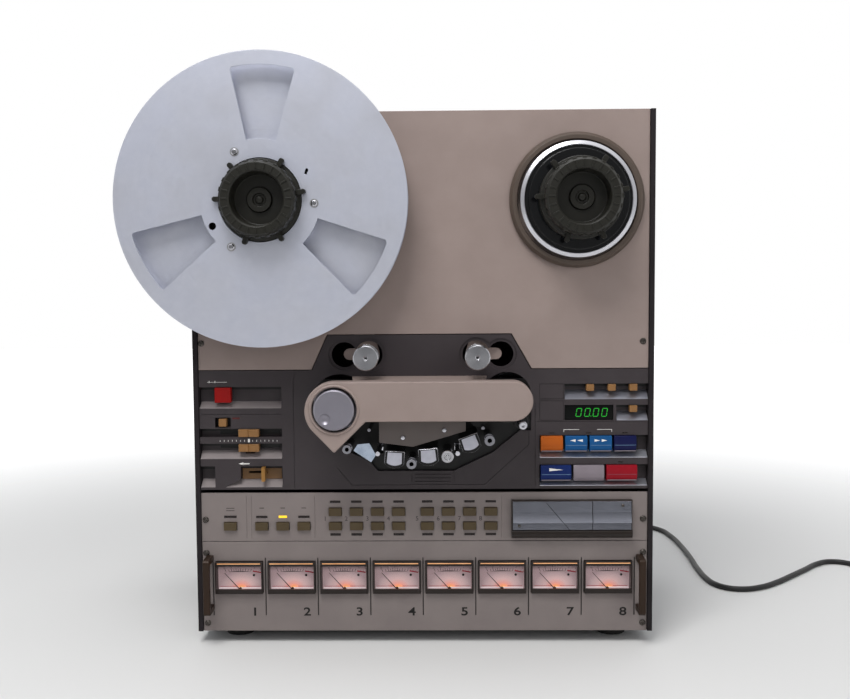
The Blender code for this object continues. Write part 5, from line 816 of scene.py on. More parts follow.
@dataclass
class Studio:
    """The plain floor, the soft lights and the camera at the photograph's angle."""

    lens_mm: float = 45.63
    spot: Corner = (0.051295, -1.10754, 0.35621)
    yaw: float = 0.0185
    pitch: float = 0.0717
    roll: float = -0.0072
    key_power: float = 21.0
    fill_power: float = 8.0
    top_power: float = 7.0

    def camera(self) -> None:
        """Make the camera that was fitted to the photograph."""
        yaw = Matrix.Rotation(-self.yaw, 3, "Z")
        pitch = Matrix.Rotation(self.pitch, 3, "X")
        roll = Matrix.Rotation(self.roll, 3, "Y")
        right, ahead, up = (roll @ pitch @ yaw)
        data = bpy.data.cameras.new("camera")
        data.lens, data.sensor_width, data.sensor_fit = self.lens_mm, 36.0, "HORIZONTAL"
        eye = linked("camera", data)
        eye.matrix_world = Matrix.Translation(self.spot) @ Matrix((right, up, -ahead)).transposed().to_4x4()
        bpy.context.scene.camera = eye

    def lamp(self, name: str, spot: Corner, aim: Corner, size: float, power: float, mirrored: bool = True) -> None:
        """Hang one large soft lamp, which polished metal mirrors or not."""
        data = bpy.data.lights.new(name, "AREA")
        data.shape, data.size, data.energy = "SQUARE", size, power
        lamp = linked(name, data)
        lamp.location = spot
        lamp.rotation_euler = (Vector(aim) - Vector(spot)).to_track_quat("-Z", "Y").to_euler()
        lamp.visible_glossy = mirrored

    def backdrop(self) -> None:
        """Lay a pale floor and surround everything with plain white light."""
        shape = bmesh.new()
        bmesh.ops.create_grid(shape, x_segments=2, y_segments=2, size=4.0)
        floor = new_piece("studio_floor", shape)
        pale = bpy.data.materials.new("pale_studio_paper")
        pale.use_nodes = True
        tree = pale.node_tree
        shader = tree.nodes["Principled BSDF"]
        for name, value in (("Base Color", linear("#D9D8D6")), ("Roughness", 0.8), ("IOR", 1.3),
                            ("Emission Color", (1.0, 1.0, 1.0, 1.0))):
            shader.inputs[name].default_value = value
        spot = add(tree, "ShaderNodeTexCoord").outputs["Object"]
        reach = add(tree, "ShaderNodeVectorMath", {"operation": "LENGTH"}, links={0: spot}).outputs["Value"]
        far = add(tree, "ShaderNodeMapRange", {"interpolation_type": "SMOOTHSTEP"},
                  {"From Min": 0.45, "From Max": 1.9, "To Max": 0.95}, {"Value": reach}).outputs[0]
        side = add(tree, "ShaderNodeSeparateXYZ", links={0: spot}).outputs["Y"]
        dim = add(tree, "ShaderNodeMapRange", values={"From Min": -1.5, "From Max": 0.0},
                  links={"Value": side}).outputs[0]
        ray = add(tree, "ShaderNodeLightPath").outputs
        mirrored = add(tree, "ShaderNodeMath", {"operation": "MULTIPLY"}, links={0: ray["Is Glossy Ray"], 1: dim})
        seen = add(tree, "ShaderNodeMath", {"operation": "MAXIMUM"},
                   links={0: ray["Is Camera Ray"], 1: mirrored.outputs[0]}).outputs[0]
        glow = add(tree, "ShaderNodeMath", {"operation": "MULTIPLY"}, links={0: far, 1: seen}).outputs[0]
        tree.links.new(glow, shader.inputs["Emission Strength"])
        floor.data.materials.append(pale)
        world = bpy.data.worlds.new("soft_room")
        bpy.context.scene.world = world
        world.use_nodes = True
        tree = world.node_tree
        tree.nodes.clear()
        ray = add(tree, "ShaderNodeLightPath").outputs
        seen = add(tree, "ShaderNodeMath", {"operation": "MAXIMUM"},
                   links={0: ray["Is Camera Ray"], 1: ray["Is Transmission Ray"]}).outputs[0]
        dim = add(tree, "ShaderNodeBackground", values={"Color": (0.92, 0.95, 1.0, 1.0), "Strength": 0.50})
        way = add(tree, "ShaderNodeSeparateXYZ", links={0: add(tree, "ShaderNodeTexCoord").outputs["Generated"]})
        ahead = add(tree, "ShaderNodeMapRange", values={"From Min": -0.8, "From Max": 0.0},
                    links={"Value": way.outputs["Y"]}).outputs[0]
        above = add(tree, "ShaderNodeMapRange", values={"From Min": 0.10, "From Max": 0.75},
                    links={"Value": way.outputs["Z"]}).outputs[0]
        most = add(tree, "ShaderNodeMath", {"operation": "MAXIMUM"}, links={0: ahead, 1: above}).outputs[0]
        lit = add(tree, "ShaderNodeMapRange", values={"To Min": 0.24, "To Max": 1.0},
                  links={"Value": most}).outputs[0]
        room = add(tree, "ShaderNodeBackground", values={"Color": (1.0, 1.0, 1.0, 1.0)}, links={"Strength": lit})
        white = add(tree, "ShaderNodeBackground", values={"Color": (1.0, 1.0, 1.0, 1.0)})
        unseen = add(tree, "ShaderNodeMixShader",
                     links={0: ray["Is Glossy Ray"], 1: dim.outputs[0], 2: room.outputs[0]})
        mixed = add(tree, "ShaderNodeMixShader", links={0: seen, 1: unseen.outputs[0], 2: white.outputs[0]})
        add(tree, "ShaderNodeOutputWorld", links={"Surface": mixed.outputs[0]})

    def build(self) -> None:
        """Set the whole studio up."""
        self.camera()
        self.lamp("key", (-0.30, -0.95, 1.65), (0.0, 0.0, 0.25), 0.7, self.key_power)
        self.lamp("fill", (1.1, -1.5, 0.8), (0.0, 0.0, 0.25), 1.2, self.fill_power, mirrored=False)
        self.lamp("top", (0.1, 0.3, 1.9), (0.0, 0.0, 0.2), 1.2, self.top_power)
        self.backdrop()
        bpy.context.scene.view_settings.view_transform = "Standard"


@dataclass
class MainsCord:
    """The mains cord with its coil, plug, strain relief and tie. The route is that of the CAD source."""

    diameter: float = 0.006
    exit_point: Corner = (0.150, 0.2749, 0.055)
    coil_middle: Point = (0.560, 0.225)
    coil_radius: float = 0.033
    coil_pitch: float = 0.0066
    coil_points: int = 24
    tail: float = 0.045
    lift: float = 0.0002
    plug_length: float = 0.038
    plug_thick: float = 0.0164
    laid: float = 0.0032
    drop: tuple[Corner, ...] = ((0.15, 0.29, 0.0665), (0.1505, 0.308, 0.063), (0.153, 0.328, 0.051),
                                (0.157, 0.348, 0.033), (0.163, 0.368, 0.015), (0.171, 0.386, 0.006))
    route: tuple[Point, ...] = ((0.182, 0.403), (0.202, 0.425), (0.23, 0.448), (0.262, 0.463), (0.291, 0.462),
                                (0.312, 0.442), (0.3205, 0.405), (0.323, 0.355), (0.3222, 0.3), (0.3195, 0.245),
                                (0.32, 0.206), (0.3245, 0.182), (0.3355, 0.1675), (0.351, 0.1635), (0.372, 0.1705),
                                (0.394, 0.188), (0.419, 0.214), (0.444, 0.241), (0.466, 0.265), (0.485, 0.276),
                                (0.503, 0.27), (0.512, 0.251), (0.513, 0.23), (0.5165, 0.21), (0.527, 0.193),
                                (0.539, 0.1865))

    def coil(self) -> tuple[list[Vector], Vector]:
        """The coil: a layer of loops winding in, a climb, a layer winding out, and a straight tail.

        Returns:
            Its points in the deck's frame, and the direction in which the tail runs.
        """
        floor = self.diameter / 2 + self.lift - SHIFT.z
        outer = self.coil_radius + self.coil_pitch
        inner = outer - 2 * self.coil_pitch
        low, climb, high = 2 * self.coil_points, self.coil_points // 2, round(1.75 * self.coil_points)
        points = []
        for k in range(low + climb + high + 1):
            turn = k / self.coil_points
            climbed = min(max((k - low) / climb, 0), 1)
            if k <= low:
                radius = outer - self.coil_pitch * turn
            elif k <= low + climb:
                radius = inner - self.coil_pitch * (0.25 - abs(turn - 2.25))
            else:
                radius = inner + self.coil_pitch * (turn - 2.5)
            angle = math.tau * (turn - 0.25)
            points.append(Vector((self.coil_middle[0] + radius * math.cos(angle),
                                  self.coil_middle[1] + radius * math.sin(angle), floor + self.coil_pitch * climbed)))
        along = points[-1] - points[-2]
        along = Vector((along.x, along.y, 0)).normalized()
        drop = points[-1].z - (self.plug_thick / 2 + self.lift - SHIFT.z)
        end = points[-1].copy()
        for k in range(1, 7):
            share = k / 6
            down = min(1.0, max(0.0, 2 * share - 1) * 2)
            points.append(end + along * (self.tail * share) - Vector((0, 0, drop * down)))
        return [points[0] - Vector((self.diameter, 0, 0))] + points, along

    def build(self) -> None:
        """Make the cord as one curve, with what is on it."""
        coil, along = self.coil()
        start = Vector(self.exit_point)
        free = [start, start + Vector((0, self.diameter, 0))]
        free += [Vector((x, y, height - SHIFT.z)) for x, y, height in
                 (*self.drop, *[(x, y, self.laid) for x, y in self.route])]
        points = [p + SHIFT for p in free + coil]
        curve = bpy.data.curves.new("mains_lead", "CURVE")
        curve.dimensions, curve.resolution_u = "3D", 6
        curve.bevel_depth, curve.bevel_resolution, curve.use_fill_caps = self.diameter / 2, 5, True
        line = curve.splines.new("BEZIER")
        line.bezier_points.add(len(points) - 1)
        for knot, spot in zip(line.bezier_points, points):
            knot.co = spot
            knot.handle_left_type = knot.handle_right_type = "AUTO"
        lead = linked("mains_lead", curve)
        curve.materials.append(PVC.material())
        bpy.context.view_layer.update()
        for a, b in zip(line.bezier_points, line.bezier_points[1:]):
            steps = interpolate_bezier(a.co, a.handle_right, b.handle_left, b.co, 7)
        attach(lead, "deck")
        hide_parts("mains_cord", "cord_coil")
        carried = [*self.plug(coil[-1], along), self.relief(), self.tie()]

    def plug(self, end: Vector, along: Vector) -> list[Piece]:
        """The moulded plug with its grip ribs and two blades."""
        turn = Matrix.Rotation(math.atan2(along.y, along.x), 4, "Z")
        spot = Matrix.Translation(end + along * 0.0003) @ turn
        neck, wide, long = self.plug_length * 0.3, 0.012, self.plug_length
        body = extruded("mains_plug_body", [eased([(0, -0.006), (neck, -wide), (long, -wide), (long, wide),
                                                   (neck, wide), (0, 0.006)], 0.003)], self.plug_thick, spot)
        soften(body, 0.0022, 4, 50)
        for k in range(5):
            u = neck + 0.004 + 0.0042 * k
            for side in (-1, 1):
                rib = oblong(u, side * wide - 0.0009, u + 0.0014, side * wide + 0.0009)
                cut(body, extruded("grip", [rib], 0.011, spot))
        blades = [oblong(long - 0.0005, side * 0.00635 - 0.00075, long + 0.017, side * 0.00635 + 0.00075)
                  for side in (-1, 1)]
        prongs = soften(extruded("mains_plug_blades", blades, 0.0064, spot), 0.0004)
        return [place(body, PVC, "deck", ["mains_plug"]),
                place(prongs, BRASS, "deck")]

    def relief(self) -> Piece:
        """The tapered and ribbed strain relief."""
        base, tip = 0.2396, 0.2746
        profile = [(0.0, tip), (0.0042, tip)]
        for k in range(6):
            y = tip - 0.004 - 0.0048 * k
            size = 0.0043 + 0.0022 * (tip - y) / (tip - base)
            profile += [(size, y), (size - 0.0009, y - 0.0004), (size - 0.0008, y - 0.0017),
                        (size + 0.0002, y - 0.0021)]
        profile += [(0.0065, base + 0.0008), (0.0065, base), (0.0030, base), (0.0030, 0.2363), (0.0, 0.2363)]
        piece = turned("cord_relief", profile, self.exit_point[0], self.exit_point[2], 40)
        return place(piece, PVC, "deck", ["strain_relief"])

    def tie(self) -> Piece:
        """A flat band that holds the coil together at the side away from the plug."""
        low, high = self.lift - SHIFT.z, 0.0134 - SHIFT.z
        near, far = self.coil_radius - 0.0110, self.coil_radius + 0.0110
        outer = eased(oblong(near, low, far, high), 0.003)
        inner = eased(oblong(near + 0.0009, low + 0.0002, far - 0.0009, high - 0.0009), 0.0024)
        band_piece = slab("coil_tie", [outer, inner], -0.004, 0.004)
        band_piece.data.transform(Matrix.Translation((*self.coil_middle, 0)) @ Matrix.Rotation(math.pi, 4, "Z"))
        return place(band_piece, PVC, "deck")


@dataclass
class Cabinet:
    """The enamelled cabinet with its rubber feet and the cover at the rear."""

    half_width: float = 0.218
    depth: float = 0.236
    cover_thick: float = 0.003
    vent_width: float = 0.110
    vent_height: float = 0.004
    vent_pitch: float = 0.010
    vent_count: int = 9
    jack_radius: float = 0.0062
    jack_length: float = 0.007
    jack_pitch: float = 0.024
    jack_count: int = 8
    jack_rows: tuple[float, float] = (0.095, 0.125)
    jack_first: float = -0.160

    def shell(self) -> None:
        """The side walls, top, bottom and motor plate, and the feet in rubber."""
        piece = refined("cabinet_frame", "cabinet_shell", 0.0007, 3)
        place(piece, [CASE_ENAMEL, RUBBER], "deck", ["cabinet_frame"],
              choose=lambda spot: 1 if spot.z < -0.00001 else 0)

    def rear(self) -> None:
        """The rear cover with its vents, two rows of sockets and its screws."""
        front = self.depth + 0.0003
        face = front + self.cover_thick
        piece = blocks("rear_panel", [((-self.half_width, front, 0.0003), (self.half_width, face, DECK_HEIGHT))])
        for side in (-1, 1):
            x = side * REEL_X
            slots = [eased(oblong(x - self.vent_width / 2, z, x + self.vent_width / 2, z + self.vent_height), 0.0019)
                     for z in (DECK_HEIGHT - 0.050 - k * self.vent_pitch for k in range(self.vent_count))]
            cut(piece, slab("vents", slots, front - OVERRUN, face + OVERRUN))
        cut(piece, rods("cord_hole", [(0.150, 0.055)], 0.0033, front - OVERRUN, face + OVERRUN, 32))
        soften(piece, 0.0005)
        place(piece, CASE_ENAMEL, "deck", ["rear_cover"])
        r, tip = self.jack_radius, face + self.jack_length
        form = turned("socket_form", [(0, face + 0.002), (0.0016, face + 0.002), (0.0016, tip - 0.0008),
                                      (r - 0.0016, tip - 0.0008), (r - 0.0016, tip), (r - 0.0004, tip),
                                      (r - 0.0004, face + 0.0024), (r, face + 0.0020), (r, face - 0.0002),
                                      (0, face - 0.0002)][::-1], 0, 0, 32)
        spots = [(self.jack_first + k * self.jack_pitch, 0.0, z) for k in range(self.jack_count)
                 for z in self.jack_rows]
        piece = grown("socket_row", Pattern.COPIES, {"Form": form, "Size": 1.0, "Finish": BRASS.material()}, spots)
        bpy.data.objects.remove(form, do_unlink=True)
        place(piece, [BRASS, BLACK_ABS], "deck",
              choose=lambda spot: 1 if self.off_socket(spot) < r - 0.0018 else 0)
        edge, low, high = self.half_width - 0.009, 0.010, DECK_HEIGHT - 0.010
        spots = [(x, face, z) for x in (-edge, edge) for z in (low, high * 0.34, high * 0.67, high)]
        spots += [(x, face, z) for x in (-0.07, 0.07) for z in (low, high)]
        screws("rear_screws", spots, 0.0030, 0.0018, BLACK_ABS, back=True)

    def off_socket(self, spot: Vector) -> float:
        """How far a point is from the axis of the nearest socket."""
        return min(math.hypot(spot.x - self.jack_first - k * self.jack_pitch, spot.z - z)
                   for k in range(self.jack_count) for z in self.jack_rows)

    def build(self) -> None:
        """Make the cabinet."""
        self.shell()
        self.rear()


@dataclass
class UpperPanel:
    """The beige upper panel and the base rings round the reel tables."""

    ring_radius: float = 0.0628
    ring_top: float = 0.0600
    ring_bore: float = 0.0556
    ring_height: float = 0.009
    ring_lip: float = 0.004
    shelf: float = 0.2859
    hub_hole: float = 0.0113

    def build(self) -> None:
        """Make the panel, its rings and its screws."""
        low = TOP + 0.0006
        outline = [(-PANEL_HALF, low), (-0.1054, low), (-0.0903, self.shelf), (0.0842, self.shelf), (0.1031, low),
                   (PANEL_HALF, low), (PANEL_HALF, DECK_HEIGHT), (-PANEL_HALF, DECK_HEIGHT)]
        piece = slab("upper_face", [outline], 0, PANEL_THICK)
        cut(piece, rods("hub_holes", [(-REEL_X, REEL_Z), (REEL_X, REEL_Z)], self.hub_hole, -OVERRUN, OVERRUN * 2))
        soften(piece, 0.0005, 3)
        place(piece, BEIGE_ENAMEL, "deck", ["upper_panel"])
        profile = [(self.ring_bore, 0.0002), (self.ring_radius, 0.0002), (self.ring_radius, -self.ring_lip),
                   (self.ring_top, -self.ring_height), (self.ring_bore, -self.ring_height)]
        for name, x in (("base_ring_supply", -REEL_X), ("base_ring_takeup", REEL_X)):
            place(turned(name, profile, x, REEL_Z, 144, ease=0.0009), RING_ENAMEL, "deck")
        screws("upper_screws", [(-0.2099, 0, 0.2782), (0.2077, 0, 0.2781)], 0.0030, 0.0016, DARK_SCREW)


@dataclass
class TransportPanel:
    """The dark middle panel: control bays at both sides, the head module between them and its printing."""

    left_bay: float = -0.1345
    right_bay: float = 0.1104
    short_bay: float = 0.1340
    reset_bay: float = 0.1830
    arm_length: float = 0.0465
    swing: float = 29.0

    def bays(self) -> list[tuple[float, float, float, float, float]]:
        """Left, right, low, high and ledge of each recessed bay."""
        left, right = -PANEL_HALF, PANEL_HALF
        return [(left, self.left_bay, 0.2213, 0.2365, 0.0053), (left, self.left_bay, 0.18845, 0.19655, 0.0),
                (left, self.left_bay, 0.17415, 0.18225, 0.0067), (left, self.left_bay, 0.1465, 0.1604, 0.0065),
                (self.short_bay, right, 0.2309, 0.2380, 0.0077), (self.reset_bay, right, 0.2106, 0.2177, 0.0077),
                (self.right_bay, right, 0.1733, 0.1890, 0.0059), (self.right_bay, right, 0.1454, 0.1610, 0.0048)]

    def keyhole(self, side: int, grow: float) -> Outline:
        """The keyhole slot of a tension roller, grown by some width."""
        far = ROLLER_X + 2 * self.arm_length * math.sin(math.radians(self.swing / 2))
        lobes = sorted([(side * ROLLER_X, 0.0130 + grow), (side * far, 0.0120 + grow)])
        (x1, r1), (x2, r2) = lobes
        apart = x2 - x1
        meet = (apart ** 2 + r1 ** 2 - r2 ** 2) / (2 * apart)
        z, half = ROLLER_Z, max(0.0055 + grow, math.sqrt(max(r1 ** 2 - meet ** 2, 0)))
        bend1, bend2 = math.degrees(math.asin(half / r1)), math.degrees(math.asin(half / r2))
        return eased(arc(x2, z, r2, bend2 - 180, 180 - bend2, 32) + arc(x1, z, r1, bend1, 360 - bend1, 32), 0.001)

    def opening(self) -> Outline:
        """The opening over the heads, the timing roller and the pinch roller."""
        low, top, shelf, pinch_z = 0.1553, 0.2419, 0.1938, 0.2267
        pinch_end = 180 - math.degrees(math.asin((top - pinch_z) / 0.0230))
        idler_start = math.degrees(math.asin((top - KNOB_Z) / 0.0268))
        return ([(-0.0689, low + 0.0177), (-0.0511, low + 0.0097), (-0.0433, low), (0.0292, low),
                 (0.0664, low + 0.0177), (CAPSTAN_X, shelf), (0.1025, shelf)]
                + arc(0.0798, pinch_z, 0.0230, 0, pinch_end, 32) + arc(KNOB_X, KNOB_Z, 0.0268, idler_start, 232, 36))

    def holes(self) -> list[tuple[Corner, Corner]]:
        """Opposite corners of the holes that stems, sliders and the display pass."""
        spots = [(-0.1901, 0.2289, 0.0086, 0.0086), (-0.1907, 0.2025, 0.0036, 0.0036),
                 (-0.1661, 0.1925, 0.0436, 0.0030), (-0.1661, 0.1782, 0.0436, 0.0030),
                 (-0.1592, 0.15345, 0.0176, 0.0056), (0.1572, 0.2105, 0.0462, 0.0146)]
        spots += [(x, z, 0.0046, 0.0046) for x, z in ((0.1581, 0.23445), (0.17845, 0.23445), (0.1988, 0.23445),
                                                      (0.1988, 0.21415))]
        spots += [(x, z, 0.0086, 0.0056) for _, x, z, _, _ in KeyRow.places()]
        return [((x - w / 2, -OVERRUN, z - h / 2), (x + w / 2, BAY_THICK + OVERRUN, z + h / 2))
                for x, z, w, h in spots]

    def panel(self) -> None:
        """The panel itself, with its grooves."""
        outline = [(-PANEL_HALF, BASE), (PANEL_HALF, BASE), (PANEL_HALF, TOP), (0.1025, TOP), (0.0836, 0.2853),
                   (-0.0897, 0.2853), (-0.1048, TOP), (-PANEL_HALF, TOP)]
        piece = slab("transport_face", [outline], 0, BAY_THICK)
        cut(piece, blocks("rear_room", [((-0.1250, 0.004, BASE + 0.004), (0.1080, 0.02, 0.30))]))
        for left, right, low, high, ledge in self.bays():
            wall = 0.0 if right < 0 else OVERRUN
            profile = [(-OVERRUN, low - ledge), (0, low - ledge), (BAY_DEPTH, low), (BAY_DEPTH, high),
                       (-OVERRUN, high)]
            cut(piece, bar("bay", profile, left - (OVERRUN - wall), right + wall))
        cut(piece, blocks("switch_pocket", [((-0.1982, -OVERRUN, 0.1977), (-0.1832, BAY_DEPTH, 0.2073))]))
        wedge = [(-0.1991, 0.1395), (-0.1901, 0.1395), (-0.1746, 0.1478), (-0.1746, 0.1609), (-0.1991, 0.1609)]
        fuse(piece, slab("lever_wedge", [wedge], 0, BAY_DEPTH + 0.0005))
        grooves = [band([(-PANEL_HALF + 0.001, 0.2103), (self.left_bay, 0.2103)], 0.0004),
                   band([(-0.1230, 0.1400), (-0.1230, 0.2445), (-0.1200, 0.2495), (-0.1155, 0.2515)], 0.0006),
                   band([(0.1064, 0.1400), (0.1064, 0.2200)], 0.0005),
                   band([(0.1075, 0.2021), (PANEL_HALF - 0.001, 0.2021)], 0.0004)]
        tip = [(-0.0820, 0.1588), (-0.0680, 0.1420), (-0.0120, 0.1420)]
        tail = [(0.0302, 0.1420), (0.0585, 0.1423), (0.1004, 0.1804), (0.1004, 0.2009)]
        tab = [(-0.0109, 0.1556), (-0.0109, 0.1424), (0.0294, 0.1424), (0.0294, 0.1556)]
        grooves += [band(tip, 0.0006), band(tail, 0.0006), band(tab, 0.0007)]
        cut(piece, *[slab("groove", [groove], -OVERRUN, 0.0007) for groove in grooves])
        for low, high in ((0.2031, 0.2222), (0.2236, 0.2383)):
            blank = [oblong(0.1104, low, 0.1334, high), oblong(0.1109, low + 0.0005, 0.1329, high - 0.0005)]
            cut(piece, slab("blank", blank, -OVERRUN, 0.0006))
        for side in (-1, 1):
            cut(piece, slab("slot_rim", [self.keyhole(side, 0.0030)], -OVERRUN, 0.0014))
            cut(piece, slab("slot", [self.keyhole(side, 0.0)], -OVERRUN, BAY_THICK + OVERRUN))
        cut(piece, slab("head_opening", [self.opening()], -OVERRUN, BAY_THICK + OVERRUN))
        cut(piece, blocks("stem_holes", self.holes()))
        soften(piece, 0.00035)
        place(piece, BROWN_ABS, "deck", ["transport_panel"])

    def trim(self) -> None:
        """The ledges of the bays, lighter under the keys as painted light, black strips of painted shadow along the
        bays, the tan plate and the ribs of the pull tab.

        Bays 0 to 3 are the left ones, 4 and 5 hold the counter's buttons, and 6 and 7 the keys.
        """
        rise = 0.0005
        for k, (left, right, low, high, ledge) in enumerate(self.bays()):
            if not ledge:
                continue
            profile = [(0.0001, low - ledge), (BAY_DEPTH, low), (BAY_DEPTH, low + rise), (0.0001, low - ledge + rise)]
            piece = bar(f"ledge_{k}", profile, left + 0.0004, right - 0.0004)
            if k == 2:
                cut(piece, slab("ledge_notch", [[(-0.1745, 0.1760), (-0.1700, 0.1718), (-0.1622, 0.1718),
                                                 (-0.1577, 0.1760)]], -OVERRUN, 0.02))
            # The ledges under the keys (bays 6 and 7) take the lighter copy of the aluminium: painted light
            place(piece, LEDGE_ABS if k < 4 else LEDGE_METAL_PAINTED_LIGHTER if k > 5 else LEDGE_METAL, "deck")
        plate = slab("lifter_plate", [oblong(-0.1743, 0.1468, -0.1362, 0.1572),
                                      oblong(-0.1682, 0.15255, -0.1502, 0.15435)],
                     BAY_DEPTH - 0.0012, BAY_DEPTH - 0.0001)
        place(soften(plate, 0.0003), replace(TAN_ABS, name="brown_tan_moulded_abs", colour="#6E5030",
                                             mottle_colour="#624629"), "deck")
        rear, deep = BAY_DEPTH - 0.0001, BAY_DEPTH + 0.0002
        # Black strips on the bay floors, longer than the slider holes: painted shade that stands for the dark inside
        # of the slots
        slots = [((-0.1951, rear, z), (-0.1374, deep, z + 0.0046)) for z in (0.1903, 0.1770)]
        place(blocks("slider_slots", slots), BLACK_ABS, "deck")
        # Black strips along the top of each bay and at the inner ends of some: painted shadow where the bays' walls
        # shade their floors
        painted_shadow_strips = []
        for k, (left, right, low, high, _) in enumerate(self.bays()):
            if k == 3:
                painted_shadow_strips.append(((left + 0.0002, rear - 0.00002, high - 0.0040), (-0.1993, deep, high - 0.0001)))
                painted_shadow_strips.append(((-0.1744, rear - 0.00002, high - 0.0022), (right - 0.0001, deep, high - 0.0001)))
            else:
                painted_shadow_strips.append(((left + 0.0002, rear - 0.00002, high - 0.0032), (right - 0.0001, deep, high - 0.0001)))
            if k < 4:
                painted_shadow_strips.append(((right - 0.0015, rear - 0.00004, low + 0.0003), (right - 0.0002, deep, high - 0.0002)))
            if k > 5:
                painted_shadow_strips.append(((left + 0.0001, rear - 0.00004, low + 0.0004), (left + 0.0945, deep, high - 0.0002)))
        place(blocks("bay_gaps", painted_shadow_strips), BLACK_ABS, "deck")
        ribs = row("pull_tab_ribs", 3, (0.00925, -0.0004, 0.1446), (0, 0, 0.0034), (0.0340, 0.0010, 0.0012),
                   BROWN_ABS)
        place(soften(ribs, 0.0003), BROWN_ABS, "deck")

    def printing(self) -> None:
        """The scale between the sliders, the arrow, the bracket and the small lamps."""
        ticks = row("pitch_ticks", 15, (-0.1937, -0.00004, 0.1850), (0.00389, 0, 0), (0.0004, 0.00012, 0.0017),
                    WHITE_INK)
        place(ticks, WHITE_INK, "deck")
        marks = [oblong(-0.1670, 0.1835, -0.1652, 0.1868), oblong(-0.1724, 0.1624, -0.1660, 0.1634),
                 arrow(-0.1742, 0.1629, -0.0046, 0.0026),
                 band([(0.1335, 0.1920), (0.1335, 0.1944), (0.1480, 0.1944)], 0.0004),
                 band([(0.1650, 0.1944), (0.1788, 0.1944), (0.1788, 0.1920)], 0.0004),
                 band([(-0.2050, 0.2412), (-0.1860, 0.2412)], 0.0003)]
        marks += [oblong(x - 0.0003, 0.2405, x + 0.0003, 0.2425) for x in (-0.2030, -0.1975)]
        print_on("transport_marks", marks, 0, WHITE_INK)
        lamps = [(0.1222, 0.19115), (0.1568, 0.19115), (0.1912, 0.19115), (0.1872, 0.16325)]
        spots = [((x - 0.0026, -0.0002, z - 0.0006), (x + 0.0026, 0.001, z + 0.0006)) for x, z in lamps]
        place(soften(blocks("key_lamps", spots), 0.00015), DARK_LAMP, "deck")
        lamp = blocks("pitch_lamp", [((-0.1815, -0.0002, 0.2057), (-0.1745, 0.001, 0.2074))])
        place(soften(lamp, 0.00015), RED_LAMP, "deck")

    def build(self) -> None:
        """Make the panel and what is on it."""
        self.panel()
        self.trim()
        self.printing()


@dataclass
class KeyRow:
    """The seven transport keys with their arrows."""

    edge: float = 0.0006
    proud: float = 0.003
    ridge: float = 0.0042

    @staticmethod
    def places() -> list[tuple[Key, float, float, float, float]]:
        """Each key with the x and z of its middle, its width and its height."""
        upper = [(Key.EDIT, 0), (Key.REWIND, 1), (Key.FORWARD, 2), (Key.PAUSE, 3)]
        lower = [(Key.PLAY, 0), (Key.STOP, 1), (Key.RECORD, 2)]
        return ([(key, 0.1114 + 0.0231 * k + 0.0105, 0.18115, 0.0210, 0.0149) for key, k in upper]
                + [(key, 0.1114 + 0.0311 * k + 0.0145, 0.1532, 0.0290, 0.0148) for key, k in lower])

    def marks(self, key: Key, x: float, z: float) -> list[Outline]:
        """The white arrows of a key."""
        if key is Key.PLAY:
            return [[(x - 0.0064, z - 0.0012), (x + 0.0064, z), (x - 0.0064, z + 0.0016)]]
        if key in (Key.REWIND, Key.FORWARD):
            way = -1 if key is Key.REWIND else 1
            return [arrow(u, z, way * 0.0052, 0.0024) for u in (x - 0.0034, x + 0.0034)]
        return []

    def build(self) -> None:
        """Make every key, its fold line with a painted highlight, its pale foot and its arrows."""
        for key, x, z, width, height in self.places():
            node, finish, slot = key.value
            piece = refined(node, node.replace("_key", "_cap"), self.edge, 3)
            low, half = z - height / 2, width / 2 - self.edge
            fold = low + height * 0.42
            for vert in piece.data.vertices:
                if vert.co.y < -0.002 and vert.co.z < fold:
                    vert.co.y += (fold - vert.co.z) * 0.20
            place(piece, finish, node, [node])
            # A thin strip along each key's fold, lighter than the coloured keys: a painted highlight where the ridge
            # catches the light
            line = bar(node + "_fold", [(-self.ridge - 0.00006, fold - 0.0002),
                                        (-self.ridge - 0.00006, fold + 0.0002), (-self.ridge + 0.0003, fold + 0.0002),
                                        (-self.ridge + 0.0003, fold - 0.0002)], x - half, x + half)
            highlight_tint = "#7A4450" if key is Key.RECORD else "#5F7C98"
            place(line, replace(finish, name=finish.name + "_fold", colour=highlight_tint, mottle_colour=highlight_tint)
                  if key not in (Key.STOP, Key.EDIT) else finish, node)
            foot = bar(node + "_foot", [(-self.proud - 0.0006, low + 0.0004), (-self.proud - 0.00075, low + 0.0011),
                                        (-self.proud + 0.0004, low + 0.0011), (-self.proud + 0.0004, low + 0.0004)],
                       x - half, x + half)
            place(foot, STOP_ABS, node)
            outlines = self.marks(key, x, z + height * 0.22)
            if outlines:
                lean = (self.ridge - self.proud) / (height * 0.58)
                front = -self.ridge + (height * 0.30) * lean
                mark = slab(node + "_arrows", outlines, -0.00010, 0.0)
                for vert in mark.data.vertices:
                    vert.co.y += front + (vert.co.z - z - height * 0.22) * lean
                place(mark, WHITE_INK, node)


